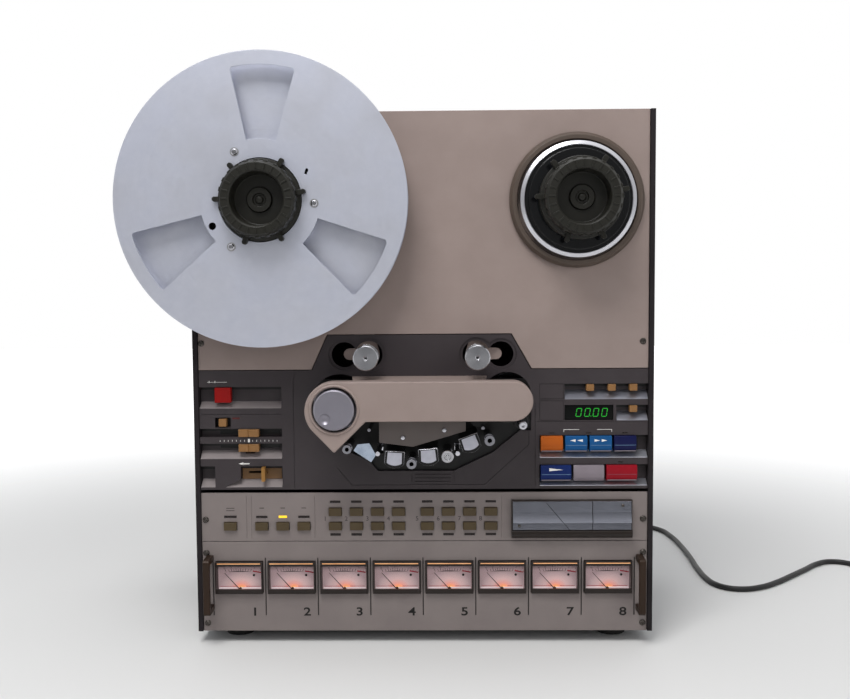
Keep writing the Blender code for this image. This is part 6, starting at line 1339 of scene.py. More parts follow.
@dataclass
class Controls:
    """The left bay's buttons, sliders and lever, the counter and its buttons."""

    digit_height: float = 0.0076
    digit_width: float = 0.0046
    stroke: float = 0.00075

    def left(self) -> None:
        """The power button, the switch, the sliders and the lever."""
        for node, name, finish, slot in (("power_button", "power_cap", RED_ABS, "power_red"),
                                         ("pitch_switch", "pitch_cap", TAN_ABS, "tan_plastic"),
                                         ("pitch_fine_slider", "fine_cap", TAN_ABS, "tan_plastic"),
                                         ("pitch_coarse_slider", "coarse_cap", TAN_ABS, "tan_plastic")):
            place(refined(node, name, 0.0005, 3), finish, node, [node])
        lever = blocks("lever_cap", [((-0.1538, -0.006, 0.1466), (-0.1506, 0.002, 0.1600))])
        fuse(lever, blocks("lever_stem", [((-0.1537, 0.0015, 0.15275), (-0.1507, 0.020, 0.15415))]))
        place(soften(lever, 0.0005, 3), replace(TAN_ABS, name="bright_tan_moulded_abs", colour="#8E6630",
                                                mottle_colour="#835D2B"),
              "lifter_lever", ["lifter_lever"])

    def segments(self, x: float, z: float) -> list[Outline]:
        """The six lit segments of a slanted nought."""
        w, h, t = self.digit_width / 2, self.digit_height / 2, self.stroke / 2
        ends = [((-w, h), (w, h)), ((w, h), (w, 0)), ((w, 0), (w, -h)), ((w, -h), (-w, -h)),
                ((-w, -h), (-w, 0)), ((-w, 0), (-w, h))]
        shapes = []
        for a, b in ends:
            start, end = Vector(a), Vector(b)
            along = (end - start).normalized()
            side = Vector((-along.y, along.x)) * t
            start, end = start + along * t * 1.5, end - along * t * 1.5
            corners = [start - along * t, start + side, end + side, end + along * t, end - side, start - side]
            shapes.append([(x + c.x + 0.17 * c.y, z + c.y) for c in corners])
        return shapes

    def counter(self) -> None:
        """The smoked display with its green figures, and the four tan buttons."""
        face = 0.0015
        window = blocks("display_window", [((0.1344, face, 0.2035), (0.1800, 0.020, 0.2175))])
        place(soften(window, 0.0003), DISPLAY_GLASS, "deck", ["counter_display"])
        outlines = [s for x in (0.1478, 0.1559, 0.1640, 0.1721) for s in self.segments(x, 0.2105)]
        outlines.append(oblong(0.1588, 0.2067, 0.1596, 0.2075))
        print_on("display_figures", outlines, face, GREEN_GLOW)
        place(refined("counter_buttons", "counter_caps", 0.0005, 3), TAN_ABS, "counter_buttons",
              ["counter_buttons"])

    def build(self) -> None:
        """Make all of them."""
        self.left()
        self.counter()


@dataclass
class ControlPanel:
    """The narrow panel with the track buttons, their lamps and the bright plate cover."""

    columns: tuple[float, ...] = (-0.0845, -0.0643, -0.0441, -0.0239, 0.0035, 0.0237, 0.0439, 0.0641)
    outputs: tuple[float, ...] = (-0.1551, -0.1349, -0.1147)
    remote: float = -0.1853

    def build(self) -> None:
        """Make the panel and everything on it."""
        piece = blocks("control_face", [((-PANEL_HALF, 0, CONTROL_BASE), (PANEL_HALF, PANEL_THICK, CONTROL_TOP))])
        spots = [(self.remote, 0.1024)] + [(x, 0.1024) for x in self.outputs]
        spots += [(x, z) for x in self.columns for z in (0.1162, 0.1024)]
        wide, high = 0.00635, 0.0040
        cut(piece, blocks("cap_holes", [((x - wide, -OVERRUN, z - high), (x + wide, OVERRUN * 2, z + high))
                                        for x, z in spots]))
        lines = [band([(x, CONTROL_BASE + 0.003), (x, CONTROL_TOP - 0.003)], 0.0004)
                 for x in (-0.1695, -0.1649, -0.1041, 0.0745)]
        cut(piece, slab("panel_lines", lines, -OVERRUN, 0.0004))
        soften(piece, 0.0004)
        place(piece, GREY_ENAMEL, "deck", ["control_panel"])
        place(refined("track_buttons", "track_caps", 0.0004, 2), replace(METER_ABS, name="olive_brown_moulded_abs",
              colour="#473A24", mottle_colour="#3F331F"), "track_buttons", ["track_buttons"])
        self.cover()
        self.lamps()

    def cover(self) -> None:
        """The ridged cover plate in its frame, with a thin slanting line."""
        low, left, right = 0.0913, 0.0836, 0.1979
        height = 0.0363
        sill = [(0.0004, low), (-0.0050, low), (-0.0078, low + 0.0018), (-0.0086, low + 0.0044),
                (-0.0080, low + 0.0074), (-0.0060, low + 0.0080), (-0.0060, low + height - 0.0008),
                (-0.0052, low + height), (0.0004, low + height)]
        place(soften(bar("plate_frame", eased(sill, 0.0012), left, right), 0.0003), METER_ABS, "deck")
        foot, ridge, step, head = 0.0998, 0.1073, 0.1184, 0.1267
        bend = [(-0.0074 - 0.0028 * (0.3 * s / 8 + 0.7 * (s / 8) ** 2), step + (ridge - step) * s / 8)
                for s in range(1, 9)]
        face = [(-0.0050, head), (-0.0060, head), (-0.0064, head - 0.0003), (-0.0074, step)] + bend
        face += [(-0.0102, ridge - 0.0004), (-0.0068, ridge - 0.0008), (-0.0078, foot), (-0.0050, foot)]
        plate = bar("plate_cover", face, left + 0.0012, right - 0.0012)
        for line in (band([(0.1137, head + 0.002), (0.1400, foot - 0.002)], 0.0005),
                     band([(0.1601, head + 0.002), (0.1601, foot - 0.002)], 0.0007)):
            cut(plate, slab("plate_line", [line], -0.0200, -0.0058))
        place(plate, PLATE_METAL, "deck", sharp=20.0)
        screws("plate_screws", [(0.0909, -0.0070, 0.1034), (0.1887, -0.0067, 0.1227)], 0.0016, 0.0008, DARK_SCREW)

    def lamps(self) -> None:
        """The small lamps and the tiny digits beside the columns."""
        spots = [(x, z, 0.0050) for x in self.columns for z in (0.1258, 0.0941)]
        spots += [(self.remote, 0.1116, 0.0060)] + [(x, 0.1114, 0.0055) for x in (self.outputs[0], self.outputs[2])]
        boxes = [((x - w, -0.0004, z - 0.0011), (x + w, 0.001, z + 0.0011)) for x, z, w in spots]
        place(soften(blocks("track_lamps", boxes), 0.0002), DARK_LAMP, "deck")
        x = self.outputs[1]
        lit = blocks("lit_lamp", [((x - 0.0040, -0.0005, 0.1103), (x + 0.0040, 0.001, 0.1125))])
        place(soften(lit, 0.0002), LIT_LAMP, "deck")
        texts = [(str(k + 1), x - 0.0098, 0.1092, 0.0042) for k, x in enumerate(self.columns)]
        place(digits("column_digits", texts, 0.0), BLACK_INK, "deck")
        marks = [oblong(self.remote - 0.004, 0.1196, self.remote + 0.004, 0.1201),
                 oblong(self.remote - 0.004, 0.1172, self.remote + 0.004, 0.1177)]
        marks += [oblong(x - 0.0022, 0.1196, x + 0.0022, 0.1202) for x in self.outputs]
        print_on("control_marks", marks, 0, BLACK_INK)


@dataclass
class MeterRow:
    """The lowest panel with its eight level meters, their scales, needles and digits."""

    count: int = 8
    pitch: float = 0.0505
    low: float = 0.0371
    window: float = 0.0430
    scale_top: float = 0.0576
    scale_bend: float = 0.18

    def middles(self) -> list[float]:
        """The x of the middle of each meter."""
        return [-0.001 + (k - (self.count - 1) / 2) * self.pitch for k in range(self.count)]

    def panel(self) -> None:
        """The panel with its windows and separating grooves."""
        piece = blocks("meter_face", [((-PANEL_HALF, 0, 0), (PANEL_HALF, PANEL_THICK, 0.0873))])
        cut(piece, blocks("windows", [((x - 0.02305, -OVERRUN, self.low - 0.0003),
                                       (x + 0.02305, OVERRUN * 2, self.low + 0.0314)) for x in self.middles()]))
        lines = [[(x - self.pitch / 2, 0.0150), (x - self.pitch / 2, 0.0715)]
                 for x in self.middles() + [self.middles()[-1] + self.pitch]]
        cut(piece, slab("separators", [band(line, 0.0011) for line in lines], -OVERRUN, 0.0006))
        print_on("separator_ink", [band(line, 0.0008) for line in lines], 0.0006, BLACK_INK,
                 0.0002)
        soften(piece, 0.0005, 3)
        place(piece, GREY_ENAMEL, "deck", ["meter_panel"])
        texts = [(str(k + 1), x + 0.0145, 0.0183, 0.0078) for k, x in enumerate(self.middles())]
        place(digits("meter_digits", texts, 0.0, bold=0.00022, wide=1.3), BLACK_INK, "deck")

    def face_finish(self) -> bpy.types.Material:
        """A translucent printed scale lit by a small lamp below its middle: pale pink, orange at the lamp, and darker
        near its top with painted shadow from the case.
        """
        made = bpy.data.materials.new("lit_printed_scale_card")
        made.use_nodes = True
        tree = made.node_tree
        shader = tree.nodes["Principled BSDF"]
        spot = add(tree, "ShaderNodeUVMap", {"uv_map": "card"}).outputs[0]
        off = add(tree, "ShaderNodeMapping", values={"Location": (-1.06, -0.16, 0), "Scale": (2.0, 1.6, 1)},
                  links={"Vector": spot}).outputs[0]
        far = add(tree, "ShaderNodeVectorMath", {"operation": "LENGTH"}, links={0: off}).outputs["Value"]
        ramp = add(tree, "ShaderNodeValToRGB", links={"Fac": far})
        stops = [(0.0, "#FFC878"), (0.10, "#F89C68"), (0.26, "#DA9488"), (0.50, "#C4A2A0"), (0.80, "#AE9495"),
                 (1.0, "#9C8486")]
        ramp.color_ramp.elements[0].color = linear(stops[0][1])
        ramp.color_ramp.elements[1].color = linear(stops[-1][1])
        for at, code in stops[1:-1]:
            ramp.color_ramp.elements.new(at).color = linear(code)
        height = add(tree, "ShaderNodeSeparateXYZ", links={0: spot}).outputs["Y"]
        # Darker towards the top of each card: painted shadow of the case over it
        shade = add(tree, "ShaderNodeMapRange", values={"From Min": 0.74, "From Max": 0.92, "To Min": 1.0,
                                                        "To Max": 0.30}, links={"Value": height}).outputs[0]
        colour = add(tree, "ShaderNodeVectorMath", {"operation": "SCALE"}, links={0: ramp.outputs[0], "Scale": shade})
        weave = add(tree, "ShaderNodeTexNoise", values={"Scale": 900.0, "Detail": 2.0},
                    links={"Vector": add(tree, "ShaderNodeTexCoord").outputs["Object"]}).outputs["Fac"]
        dull = add(tree, "ShaderNodeMapRange", values={"To Min": 0.5, "To Max": 0.65}, links={"Value": weave})
        shader.inputs["Emission Strength"].default_value = 0.46
        for name, source in (("Base Color", colour.outputs[0]), ("Emission Color", colour.outputs[0]),
                             ("Roughness", dull.outputs[0])):
            tree.links.new(source, shader.inputs[name])
        return made

    def cards(self) -> None:
        """The lit scale cards, with a place on each card for the light's fall-off."""
        shape = bmesh.new()
        card = shape.loops.layers.uv.new("card")
        half, low, high = self.window / 2 - 0.0002, self.low + 0.0014, self.low + 0.0278
        for x in self.middles():
            corners = [(x - half, low), (x + half, low), (x + half, high), (x - half, high)]
            rear = [shape.verts.new((u, 0.0044, v)) for u, v in corners]
            front = [shape.verts.new((u, CARD_FACE, v)) for u, v in corners]
            for ring in [front, rear[::-1]] + [[front[k], rear[k], rear[(k + 1) % 4], front[(k + 1) % 4]]
                                               for k in range(4)]:
                for loop in shape.faces.new(ring).loops:
                    loop[card].uv = ((loop.vert.co.x - x + half) / (2 * half), (loop.vert.co.z - low) / (high - low))
        bmesh.ops.recalc_face_normals(shape, faces=shape.faces)
        piece = new_piece("meter_cards", shape)
        place(piece, WHITE_INK, "deck")
        piece.data.materials[0] = self.face_finish()

    def scales(self) -> None:
        """The black and red arcs, their ticks, the peak lamps and the red line under each scale."""
        black, red, dots = [], [], []
        for x in self.middles():
            def at(across: float, rise: float) -> Point:
                """A point of the shallow scale arc, or above it on a line that fans out from the pivot."""
                return x + across * (1 + rise / 0.028), self.scale_top - across ** 2 / self.scale_bend + rise
            black.append(band([at(-0.0135 + 0.0257 * k / 16, 0) for k in range(17)], 0.00030))
            red.append(band([at(0.0122 + 0.0080 * k / 8, 0.0005) for k in range(9)], 0.0012))
            for k, across in enumerate((-0.0135, -0.0105, -0.0080, -0.0058, -0.0038, -0.0018, 0.0004, 0.0026, 0.0050,
                                        0.0075, 0.0100)):
                black.append(band([at(across, 0), at(across, 0.0026 if k % 2 == 0 else 0.0019)], 0.00038))
            red += [band([at(across, 0), at(across, 0.0020)], 0.00026) for across in (0.0122, 0.0146, 0.0172, 0.0200)]
            dots.append(circle(x + 0.0133, self.scale_top - 0.0041, 0.0012, 20))
            red += [oblong(x + a, 0.0423, x + b, 0.0427) for a, b in ((-0.0195, -0.0030), (0.0054, 0.0195))]
        print_on("scale_black", black, CARD_FACE, BLACK_INK, 0.00005)
        print_on("scale_red", red, CARD_FACE, RED_INK, 0.00006)
        print_on("scale_lamps", dots, CARD_FACE, DARK_LAMP, 0.0003)
        texts = [(text, x + across * 1.13, self.scale_top - across ** 2 / self.scale_bend + 0.0036, 0.0013)
                 for x in self.middles()
                 for text, across in (("20", -0.0135), ("10", -0.0080), ("5", -0.0018), ("0", 0.0122), ("3", 0.0176))]
        place(digits("scale_digits", texts, CARD_FACE, 0.00005), BLACK_INK, "deck")

    def cases(self) -> None:
        """The dark cases with their clear windows, and the needles."""
        place(refined("meter_bank", "meter_cases", 0.0005, 3), METER_ABS, "deck", ["meter_bank"])
        panes = [((x - self.window / 2 + 0.0002, -0.0029, self.low + 0.0047),
                  (x + self.window / 2 - 0.0002, -0.0024, self.low + 0.0266)) for x in self.middles()]
        place(blocks("meter_panes", panes), CLEAR_WINDOW, "deck")
        # A glowing amber strip in the top of each case's bevel: painted reflection
        bevel_reflections = [((x - 0.0208, -0.0043, self.low + 0.0290), (x + 0.0208, -0.0036, self.low + 0.0299))
                  for x in self.middles()]
        place(soften(blocks("meter_bevels", bevel_reflections), 0.0002), AMBER_PAINTED_REFLECTION, "deck")
        feet = [((x - 0.0205, 0.0034, self.low + 0.0030), (x + 0.0205, 0.0041, self.low + 0.0045))
                for x in self.middles()]
        place(soften(blocks("meter_foot_lights", feet), 0.0002), PALE_EDGE, "deck")
        for k in range(self.count):
            name = f"needle_{k + 1}"
            place(refined(name, f"pointer_{k + 1}", 0.00008, 1), BLACK_INK, name, [name])

    def build(self) -> None:
        """Make the panel and its meters."""
        self.panel()
        self.cards()
        self.scales()
        self.cases()
        for side in ("left", "right"):
            place(refined(f"handle_{side}", f"guard_{side}", 0.0009, 4), HANDLE_METAL, "deck",
                  [f"handle_{side}"])
        spots = [(side * 0.209, 0, z) for side in (-1, 1) for z in (0.1088, 0.0764, 0.0078)]
        screws("panel_screws", spots, 0.0030, 0.0018, DARK_SCREW)


@dataclass
class Reel:
    """The aluminium supply reel: two flanges with windows, a hub and its screws."""

    radius: float = 0.13335
    bore: float = 0.0381
    hub: float = 0.0530
    inner: float = 0.0547
    outer: float = 0.1207
    half_deg: float = 14.1
    first_deg: float = 88.0
    front: float = 0.0399
    rear: float = 0.0235
    thick: float = 0.0014
    hole: Point = (-0.1883, 0.3870)
    slot: Point = (-0.1025, 0.4354)

    def outlines(self, turn: float) -> list[Outline]:
        """The rim, the bore and the three windows of a flange."""
        lines = [circle(-REEL_X, REEL_Z, self.radius, 192), circle(-REEL_X, REEL_Z, self.bore, 96)]
        for k in range(3):
            middle = self.first_deg + turn + 120 * k
            low, high = middle - self.half_deg, middle + self.half_deg
            line = arc(-REEL_X, REEL_Z, self.inner, high, low, 16) + arc(-REEL_X, REEL_Z, self.outer, low, high, 32)
            corners = [line[0], line[16], line[17], line[-1]]
            rounded: Outline = []
            for n, point in enumerate(line):
                if n in (17, len(line) - 1):
                    before, after = Vector(line[n - 1]), Vector(line[(n + 1) % len(line)])
                    here = Vector(point)
                    a, b = here + (before - here).normalized() * 0.0032, here + (after - here).normalized() * 0.0032
                    rounded += [tuple(a.lerp(here, s).lerp(here.lerp(b, s), s)) for s in (0, 0.25, 0.5, 0.75, 1)]
                elif min((Vector(point) - Vector(c)).length for c in corners if c != point) > 0.0033 or n in (0, 16):
                    rounded.append(point)
            lines.append(rounded)
        return lines

    def in_pit_painted_shade(self, spot: Vector) -> bool:
        """Whether a point lies in the round hole or the slot of the hub, behind the front flange, where the faces are
        painted black as painted shade for the holes' depth.
        """
        here = (spot.x, spot.z)
        near = min(math.dist(here, self.hole) - 0.0006, math.dist(here, self.slot))
        return near < 0.0032 and -0.0380 < spot.y < -self.rear - self.thick + 0.0001

    def build(self) -> None:
        """Make both flanges, the hub and the screws."""
        finish = REEL_METAL.about("supply", -REEL_X, REEL_Z)
        pits = [circle(*self.hole, 0.0034, 32),
                slanted(eased(oblong(-0.0013, -0.0026, 0.0013, 0.0026), 0.0006), *self.slot, -20)]
        piece = slab("front_flange", self.outlines(0) + pits, -self.front, -self.front + self.thick)
        place(soften(piece, 0.00035, 2), finish, "supply_reel", ["reel_front_flange"])
        piece = slab("rear_flange", self.outlines(60), -self.rear - self.thick, -self.rear)
        soften(piece, 0.00035, 2)
        hub_front = -self.front + self.thick + 0.0001
        fuse(piece, slab("hub", [circle(-REEL_X, REEL_Z, self.hub, 144), circle(-REEL_X, REEL_Z, self.bore, 96)],
                         hub_front, -self.rear - self.thick / 2))
        cut(piece, slab("hub_pits", pits, -self.front - OVERRUN, -self.rear - self.thick - 0.0003))
        # The hole and the slot of the hub are black inside: painted shade
        place(piece, [finish, BLACK_ABS], "supply_reel", ["reel_rear_flange"],
              choose=lambda spot: 1 if self.in_pit_painted_shade(spot) else 0)
        spots = [(-0.1671, -self.front, 0.4533), (-0.0958, -self.front, 0.4068), (-0.1714, -self.front, 0.3682)]
        washers = [circle(x, z, 0.0040, 40) for x, _, z in spots]
        place(soften(slab("reel_washers", washers, -self.front - 0.0004, -self.front + 0.0001), 0.0001), STEEL,
              "supply_reel")
        screws("reel_screws", [(x, y - 0.0003, z) for x, y, z in spots], 0.0030, 0.0014, CHROME, "supply_reel")


@dataclass
class Turntable:
    """One reel table with its bright ring, and the twist lock adapter on it."""

    side: int
    radius: float = 0.0534
    ring_width: float = 0.0042
    ring_face: float = 0.0181
    disc_face: float = 0.0165
    rear_face: float = 0.0105
    seat_radius: float = 0.0460
    seat_face: float = 0.0232
    adapter_face: float = 0.0619
    adapter_radius: float = 0.0352
    cup_radius: float = 0.0240
    cup_depth: float = 0.0212
    rib_count: int = 24
    first_lug: float = 10.0
    lug_pair: float = 49.0

    def names(self) -> tuple[str, str, str, str]:
        """The node of the table, its body, the node and body of the adapter and a short name."""
        if self.side < 0:
            return "supply_reel_table", "supply_reel", "supply_hub_adapter", "supply"
        return "takeup_reel_table", "takeup_reel_table", "takeup_hub_adapter", "takeup"

    def table(self) -> None:
        """The dark table with its turned steps, its spindle and its bright ring."""
        node, body, _, short = self.names()
        x, tip = self.side * REEL_X, -self.seat_face - 0.0148
        inner = self.radius - self.ring_width
        profile = [(0, 0.075), (0.005, 0.075), (0.005, 0.010), (0.011, 0.010), (0.011, -self.rear_face),
                   (self.radius - 0.0002, -self.rear_face), (self.radius - 0.0002, -self.ring_face + 0.0020),
                   (inner, -self.ring_face + 0.0020), (inner, -self.disc_face), (self.seat_radius, -self.disc_face),
                   (self.seat_radius, -self.seat_face), (0.004, -self.seat_face), (0.004, tip), (0, tip)]
        place(turned(f"{short}_table", profile, x, REEL_Z, 128, ease=0.0004),
              replace(BLACK_ABS, name="black_lacquered_disc_" + short, colour="#0A0B0D", mottle_colour="#08090B",
                      roughness=(0.12, 0.20), coat=0.3,
                      grain=Grain.RINGS, grain_mm=1.0, centre=(x + SHIFT.x, 0, REEL_Z + SHIFT.z)),
              body, [node])
        ring = [(inner, -self.ring_face + 0.0022), (self.radius, -self.ring_face + 0.0022),
                (self.radius, -self.ring_face + 0.0018), (inner + 0.0008, -self.ring_face),
                (inner, -self.ring_face + 0.0003)]
        place(turned(f"{short}_bright_ring", ring, x, REEL_Z, 144, ease=0.0005),
              RING_METAL.about(short, x, REEL_Z), body)

    def adapter(self) -> None:
        """The adapter: a cup with a stepped cap, ribs round its grip and six lugs over the flange."""
        _, _, node, short = self.names()
        x, face, rear = self.side * REEL_X, -self.adapter_face, -0.0235
        floor, r = face + self.cup_depth, self.adapter_radius
        profile = [(0, -0.0385), (0.0043, -0.0385), (0.0043, rear), (0.0374, rear), (0.0374, -0.0399),
                   (r - 0.0012, -0.0404), (r - 0.0012, face + 0.0034), (r - 0.0034, face + 0.0008),
                   (self.cup_radius + 0.0014, face + 0.0008), (self.cup_radius, face + 0.0022),
                   (self.cup_radius - 0.0008, floor - 0.0012), (self.cup_radius - 0.0018, floor), (0.0116, floor),
                   (0.0110, floor - 0.0034), (0.0060, floor - 0.0034), (0.0056, floor - 0.0006),
                   (0.0036, floor - 0.0006), (0.0030, floor - 0.0030), (0, floor - 0.0036)]
        piece = turned(f"{short}_adapter", profile, x, REEL_Z, 120, ease=0.0007)
        place(piece, LUG_ABS, node, [node])
        length = self.adapter_face - 0.0404 - 0.0050
        ribs = grown(f"{short}_grip_ribs", Pattern.RING, {
            "Count": self.rib_count, "Middle": (x, face + 0.0026 + length / 2, REEL_Z), "Reach": (r - 0.0019, 0, 0),
            "Size": (0.0028, length, 0.0042), "Finish": LUG_ABS.material()})
        place(soften(ribs, 0.0006, 2), LUG_ABS, node)
        ridges = grown(f"{short}_face_ridges", Pattern.RING, {
            "Count": self.rib_count, "Middle": (x, face + 0.0010, REEL_Z), "Reach": (0.0288, 0, 0),
            "Size": (0.0060, 0.0020, 0.0014), "Finish": LUG_ABS.material()})
        place(soften(ridges, 0.0004, 2), LUG_ABS, node)
        lugs = []
        for k in range(6):
            outline = [(r - 0.0030, -0.0023), (0.0408, -0.0023), (0.0424, -0.0012), (0.0424, 0.0012),
                       (0.0408, 0.0023), (r - 0.0030, 0.0023)]
            lugs.append(slanted(outline, x, REEL_Z, self.first_lug + 120 * (k // 2) + self.lug_pair * (k % 2)))
        place(soften(slab(f"{short}_lugs", lugs, -0.0460, -0.0405), 0.0005, 2), LUG_ABS, node)

    def build(self) -> None:
        """Make the table and the adapter."""
        self.table()
        self.adapter()


@dataclass
class TensionRoller:
    """One tension arm in its keyhole slot with its chromed roller."""

    side: int
    cap_radius: float = 0.0115
    body_radius: float = 0.0085
    flange_radius: float = 0.0110
    face: float = 0.0440

    def build(self) -> None:
        """Make the arm and the roller."""
        short = "supply" if self.side < 0 else "takeup"
        node = f"{short}_tension_arm"
        place(refined(node, f"{short}_arm", 0.0003, 2), BEIGE_ENAMEL, node, [node])
        x, z, f = self.side * ROLLER_X, ROLLER_Z, -self.face
        profile = [(0, -0.041), (0.0028, -0.041), (0.0028, -0.0190), (self.flange_radius, -0.0190),
                   (self.flange_radius, -0.0220), (self.body_radius, -0.0224), (self.body_radius, -0.0392),
                   (self.cap_radius - 0.0006, -0.0396), (self.cap_radius, -0.0400), (self.cap_radius, f + 0.0008),
                   (self.cap_radius - 0.0008, f), (0.0022, f), (0.0010, f + 0.0011), (0, f + 0.0011)]
        roller = turned(f"{short}_roller", profile, x, z, 96, ease=0.0002)
        body = f"{short}_arm_roller"
        place(roller, [SPUN_CHROME.about(short, x, z), BLACK_ABS], body, [body],
              choose=lambda spot: 1 if -0.0394 < spot.y < -0.0222 or math.hypot(spot.x - x, spot.z - z) < 0.0013
              else 0)


@dataclass
class HeadAssembly:
    """The heads, guides, shield plate, lifter pins, capstan and pinch roller on their dark plate."""

    path_front: float = -0.042
    head_front: float = -0.0424
    head_width: float = 0.0180
    head_height: float = 0.0160
    bulge: float = 0.0040
    heads: tuple[tuple[str, float, float, float], ...] = (
        ("erase_head", -0.0255, 0.1731, -4.0), ("record_head", 0.0057, 0.1753, 4.0),
        ("playback_head", 0.0442, 0.1874, 20.0))
    shield_posts: tuple[Point, ...] = ((-0.0178, 0.1928), (0.0202, 0.1996))

    def base(self) -> None:
        """The dark plate with its holes, posts and sleeve."""
        piece = blocks("head_plate", [((-0.1120, 0.0043, 0.1421), (0.1077, BASE_REAR, 0.2431))])
        shafts = [(CAPSTAN_X, CAPSTAN_Z), (KNOB_X, KNOB_Z), (0.0515, 0.2071)]
        cut(piece, rods("shaft_holes", shafts, 0.0043, -0.02, 0.02))
        cut(piece, blocks("lifter_slots", [((x - 0.0026, -0.01, 0.1710), (x + 0.0026, 0.01, 0.1812))
                                           for x in (-0.0409, 0.0324)]))
        sleeve = turned("sleeve", [(0.0043, 0.0050), (0.0075, 0.0050), (0.0075, -0.0138), (0.0062, -0.0150),
                                   (0.0043, -0.0150)], CAPSTAN_X, CAPSTAN_Z, 48)
        fuse(piece, sleeve)
        place(soften(piece, 0.0003), BLACK_ABS, "deck", ["head_base"])
        for name, spots, radius, front, sides in (
                ("cover_posts", [(-0.030, 0.2284), (0.030, 0.2284)], 0.004, -0.0552, 32),
                ("shield_stands", self.shield_posts, 0.0025, -0.0352, 24)):
            place(soften(rods(name, spots, radius, front, 0.0046, sides), 0.0003), STEEL, "deck")

    def guides(self) -> None:
        """The four tape guides, the small posts and the mirror plate."""
        front = self.path_front
        for k, (x, z, r) in enumerate(((-0.0689, 0.1830, 0.0042), (-0.0099, 0.1693, 0.0046),
                                       (0.0616, 0.1906, 0.0048))):
            profile = [(r * 0.42, 0.0048), (r * 0.85, 0.0048), (r * 0.85, front + 0.014), (r, front + 0.0136),
                       (r, front + 0.0112), (r * 0.62, front + 0.0108), (r * 0.62, front + 0.0030),
                       (r, front + 0.0026), (r, front), (r * 0.42, front)]
            place(turned(f"tape_guide_{k}", profile, x, z, 48, ease=0.0002), GUIDE_METAL, "deck")
        x, z, r = 0.0230, 0.1761, 0.0058
        profile = [(0, 0.0048), (r * 0.8, 0.0048), (r * 0.8, front + 0.004), (r, front + 0.0036), (r, front + 0.0006),
                   (r - 0.0006, front), (r * 0.55, front), (r * 0.5, front + 0.0007), (r * 0.28, front + 0.0007),
                   (r * 0.24, front), (0, front)]
        place(turned("capped_guide", profile, x, z, 64, ease=0.0002), SPUN_CHROME.about("guide", x, z), "deck")
        spots = [(-0.0488, 0.2001), (0.0557, 0.2015)]
        posts = rods("small_posts", spots, 0.0017, -0.0360, 0.0048, 24)
        place(soften(posts, 0.0005, 2), GUIDE_METAL, "deck")
        mirror = slab("mirror_plate", [eased([(-0.0640, 0.1800), (-0.0475, 0.1690), (-0.0430, 0.1760),
                                              (-0.0490, 0.1870), (-0.0600, 0.1860)], 0.001)], -0.0300, -0.0290)
        fuse(mirror, rods("mirror_leg", [(-0.0530, 0.1790)], 0.0025, -0.0293, 0.0046, 24))
        place(soften(mirror, 0.0002), MIRROR_PLATE, "deck")

    def shield(self) -> None:
        """The grey-brown shield plate with its two screws."""
        outline = eased([(-0.0396, 0.1883), (-0.0088, 0.1843), (0.0399, 0.1987), (0.0399, 0.2100), (-0.0396, 0.2100)],
                        0.0008)
        piece = slab("shield_face", [outline], -0.0360, -0.0345)
        place(soften(piece, 0.0003), SHIELD_ENAMEL, "deck")
        screws("shield_screws", [(x, -0.0360, z) for x, z in self.shield_posts], 0.0024, 0.0016, CHROME)

    def head(self, node: str, x: float, z: float, turn: float) -> None:
        """One head: a chromed case with a rounded face, dark end cheeks and a bare silver label."""
        w, h, sag = self.head_width / 2, self.head_height / 2, self.bulge
        bend = (w * w + sag * sag) / (2 * sag)
        spread = math.degrees(math.asin(w / bend))

        def face(grow: float, wide: float) -> Outline:
            """The outline of the head, a little larger or smaller."""
            low = arc(0, -h + bend - grow, bend, -90 - spread * wide, -90 + spread * wide, 24)
            return slanted(low + [(w * wide, h + grow), (-w * wide, h + grow)], x, z, turn)
        case = slab(node + "_case", [face(0, 1.0)], -0.0405, 0.0040)
        place(soften(case, 0.0005, 3), CHROME, "deck", [node])
        cheek = slab(node + "_cheek", [face(-0.0004, 0.96)], self.head_front + 0.0004, -0.0404)
        place(soften(cheek, 0.0004, 2), BLACK_ABS, "deck")
        low = arc(0, -h * 0.62 + bend, bend, -90 - spread * 0.72, -90 + spread * 0.72, 12)
        label = slanted(low + [(w * 0.72, h * 0.86), (-w * 0.72, h * 0.86)], x, z, turn)
        print_on(node + "_label", [label], self.head_front + 0.0004, PALE_LABEL, 0.0002)

    def moving(self) -> None:
        """The tape lifter's pins, the capstan, the pinch roller and its arm."""
        place(refined("tape_lifter", "lifter_pins", 0.0003, 2), CHROME, "tape_lifter",
              ["tape_lifter"])
        profile = [(0, 0.072), (0.004, 0.072), (0.004, 0.054), (0.042, 0.054), (0.042, 0.044), (0.004, 0.044),
                   (0.004, -0.0432), (0.0034, -0.0440), (0.0012, -0.0440), (0.0008, -0.0432), (0, -0.0432)]
        place(turned("capstan_shaft", profile, CAPSTAN_X, CAPSTAN_Z, 64, ease=0.0002), CHROME, "capstan",
              ["capstan"])
        place(refined("pinch_arm", "pinch_lever", 0.0004, 2), BLACK_LACQUER, "pinch_arm",
              ["pinch_arm"])
        x, z, r = 0.0780, 0.2250, 0.0190
        profile = [(0.0028, -0.0205), (0.0075, -0.0205), (0.0078, -0.0215), (r - 0.0012, -0.0215), (r, -0.0222),
                   (r, -0.0363), (r - 0.0012, -0.0370), (0.0078, -0.0370), (0.0072, -0.0380), (0.0028, -0.0380)]
        place(turned("pinch_tyre", profile, x, z, 96, ease=0.0003), [RUBBER, STEEL], "pinch_roller",
              ["pinch_roller"], choose=lambda spot: 1 if math.hypot(spot.x - x, spot.z - z) < 0.0080 else 0)

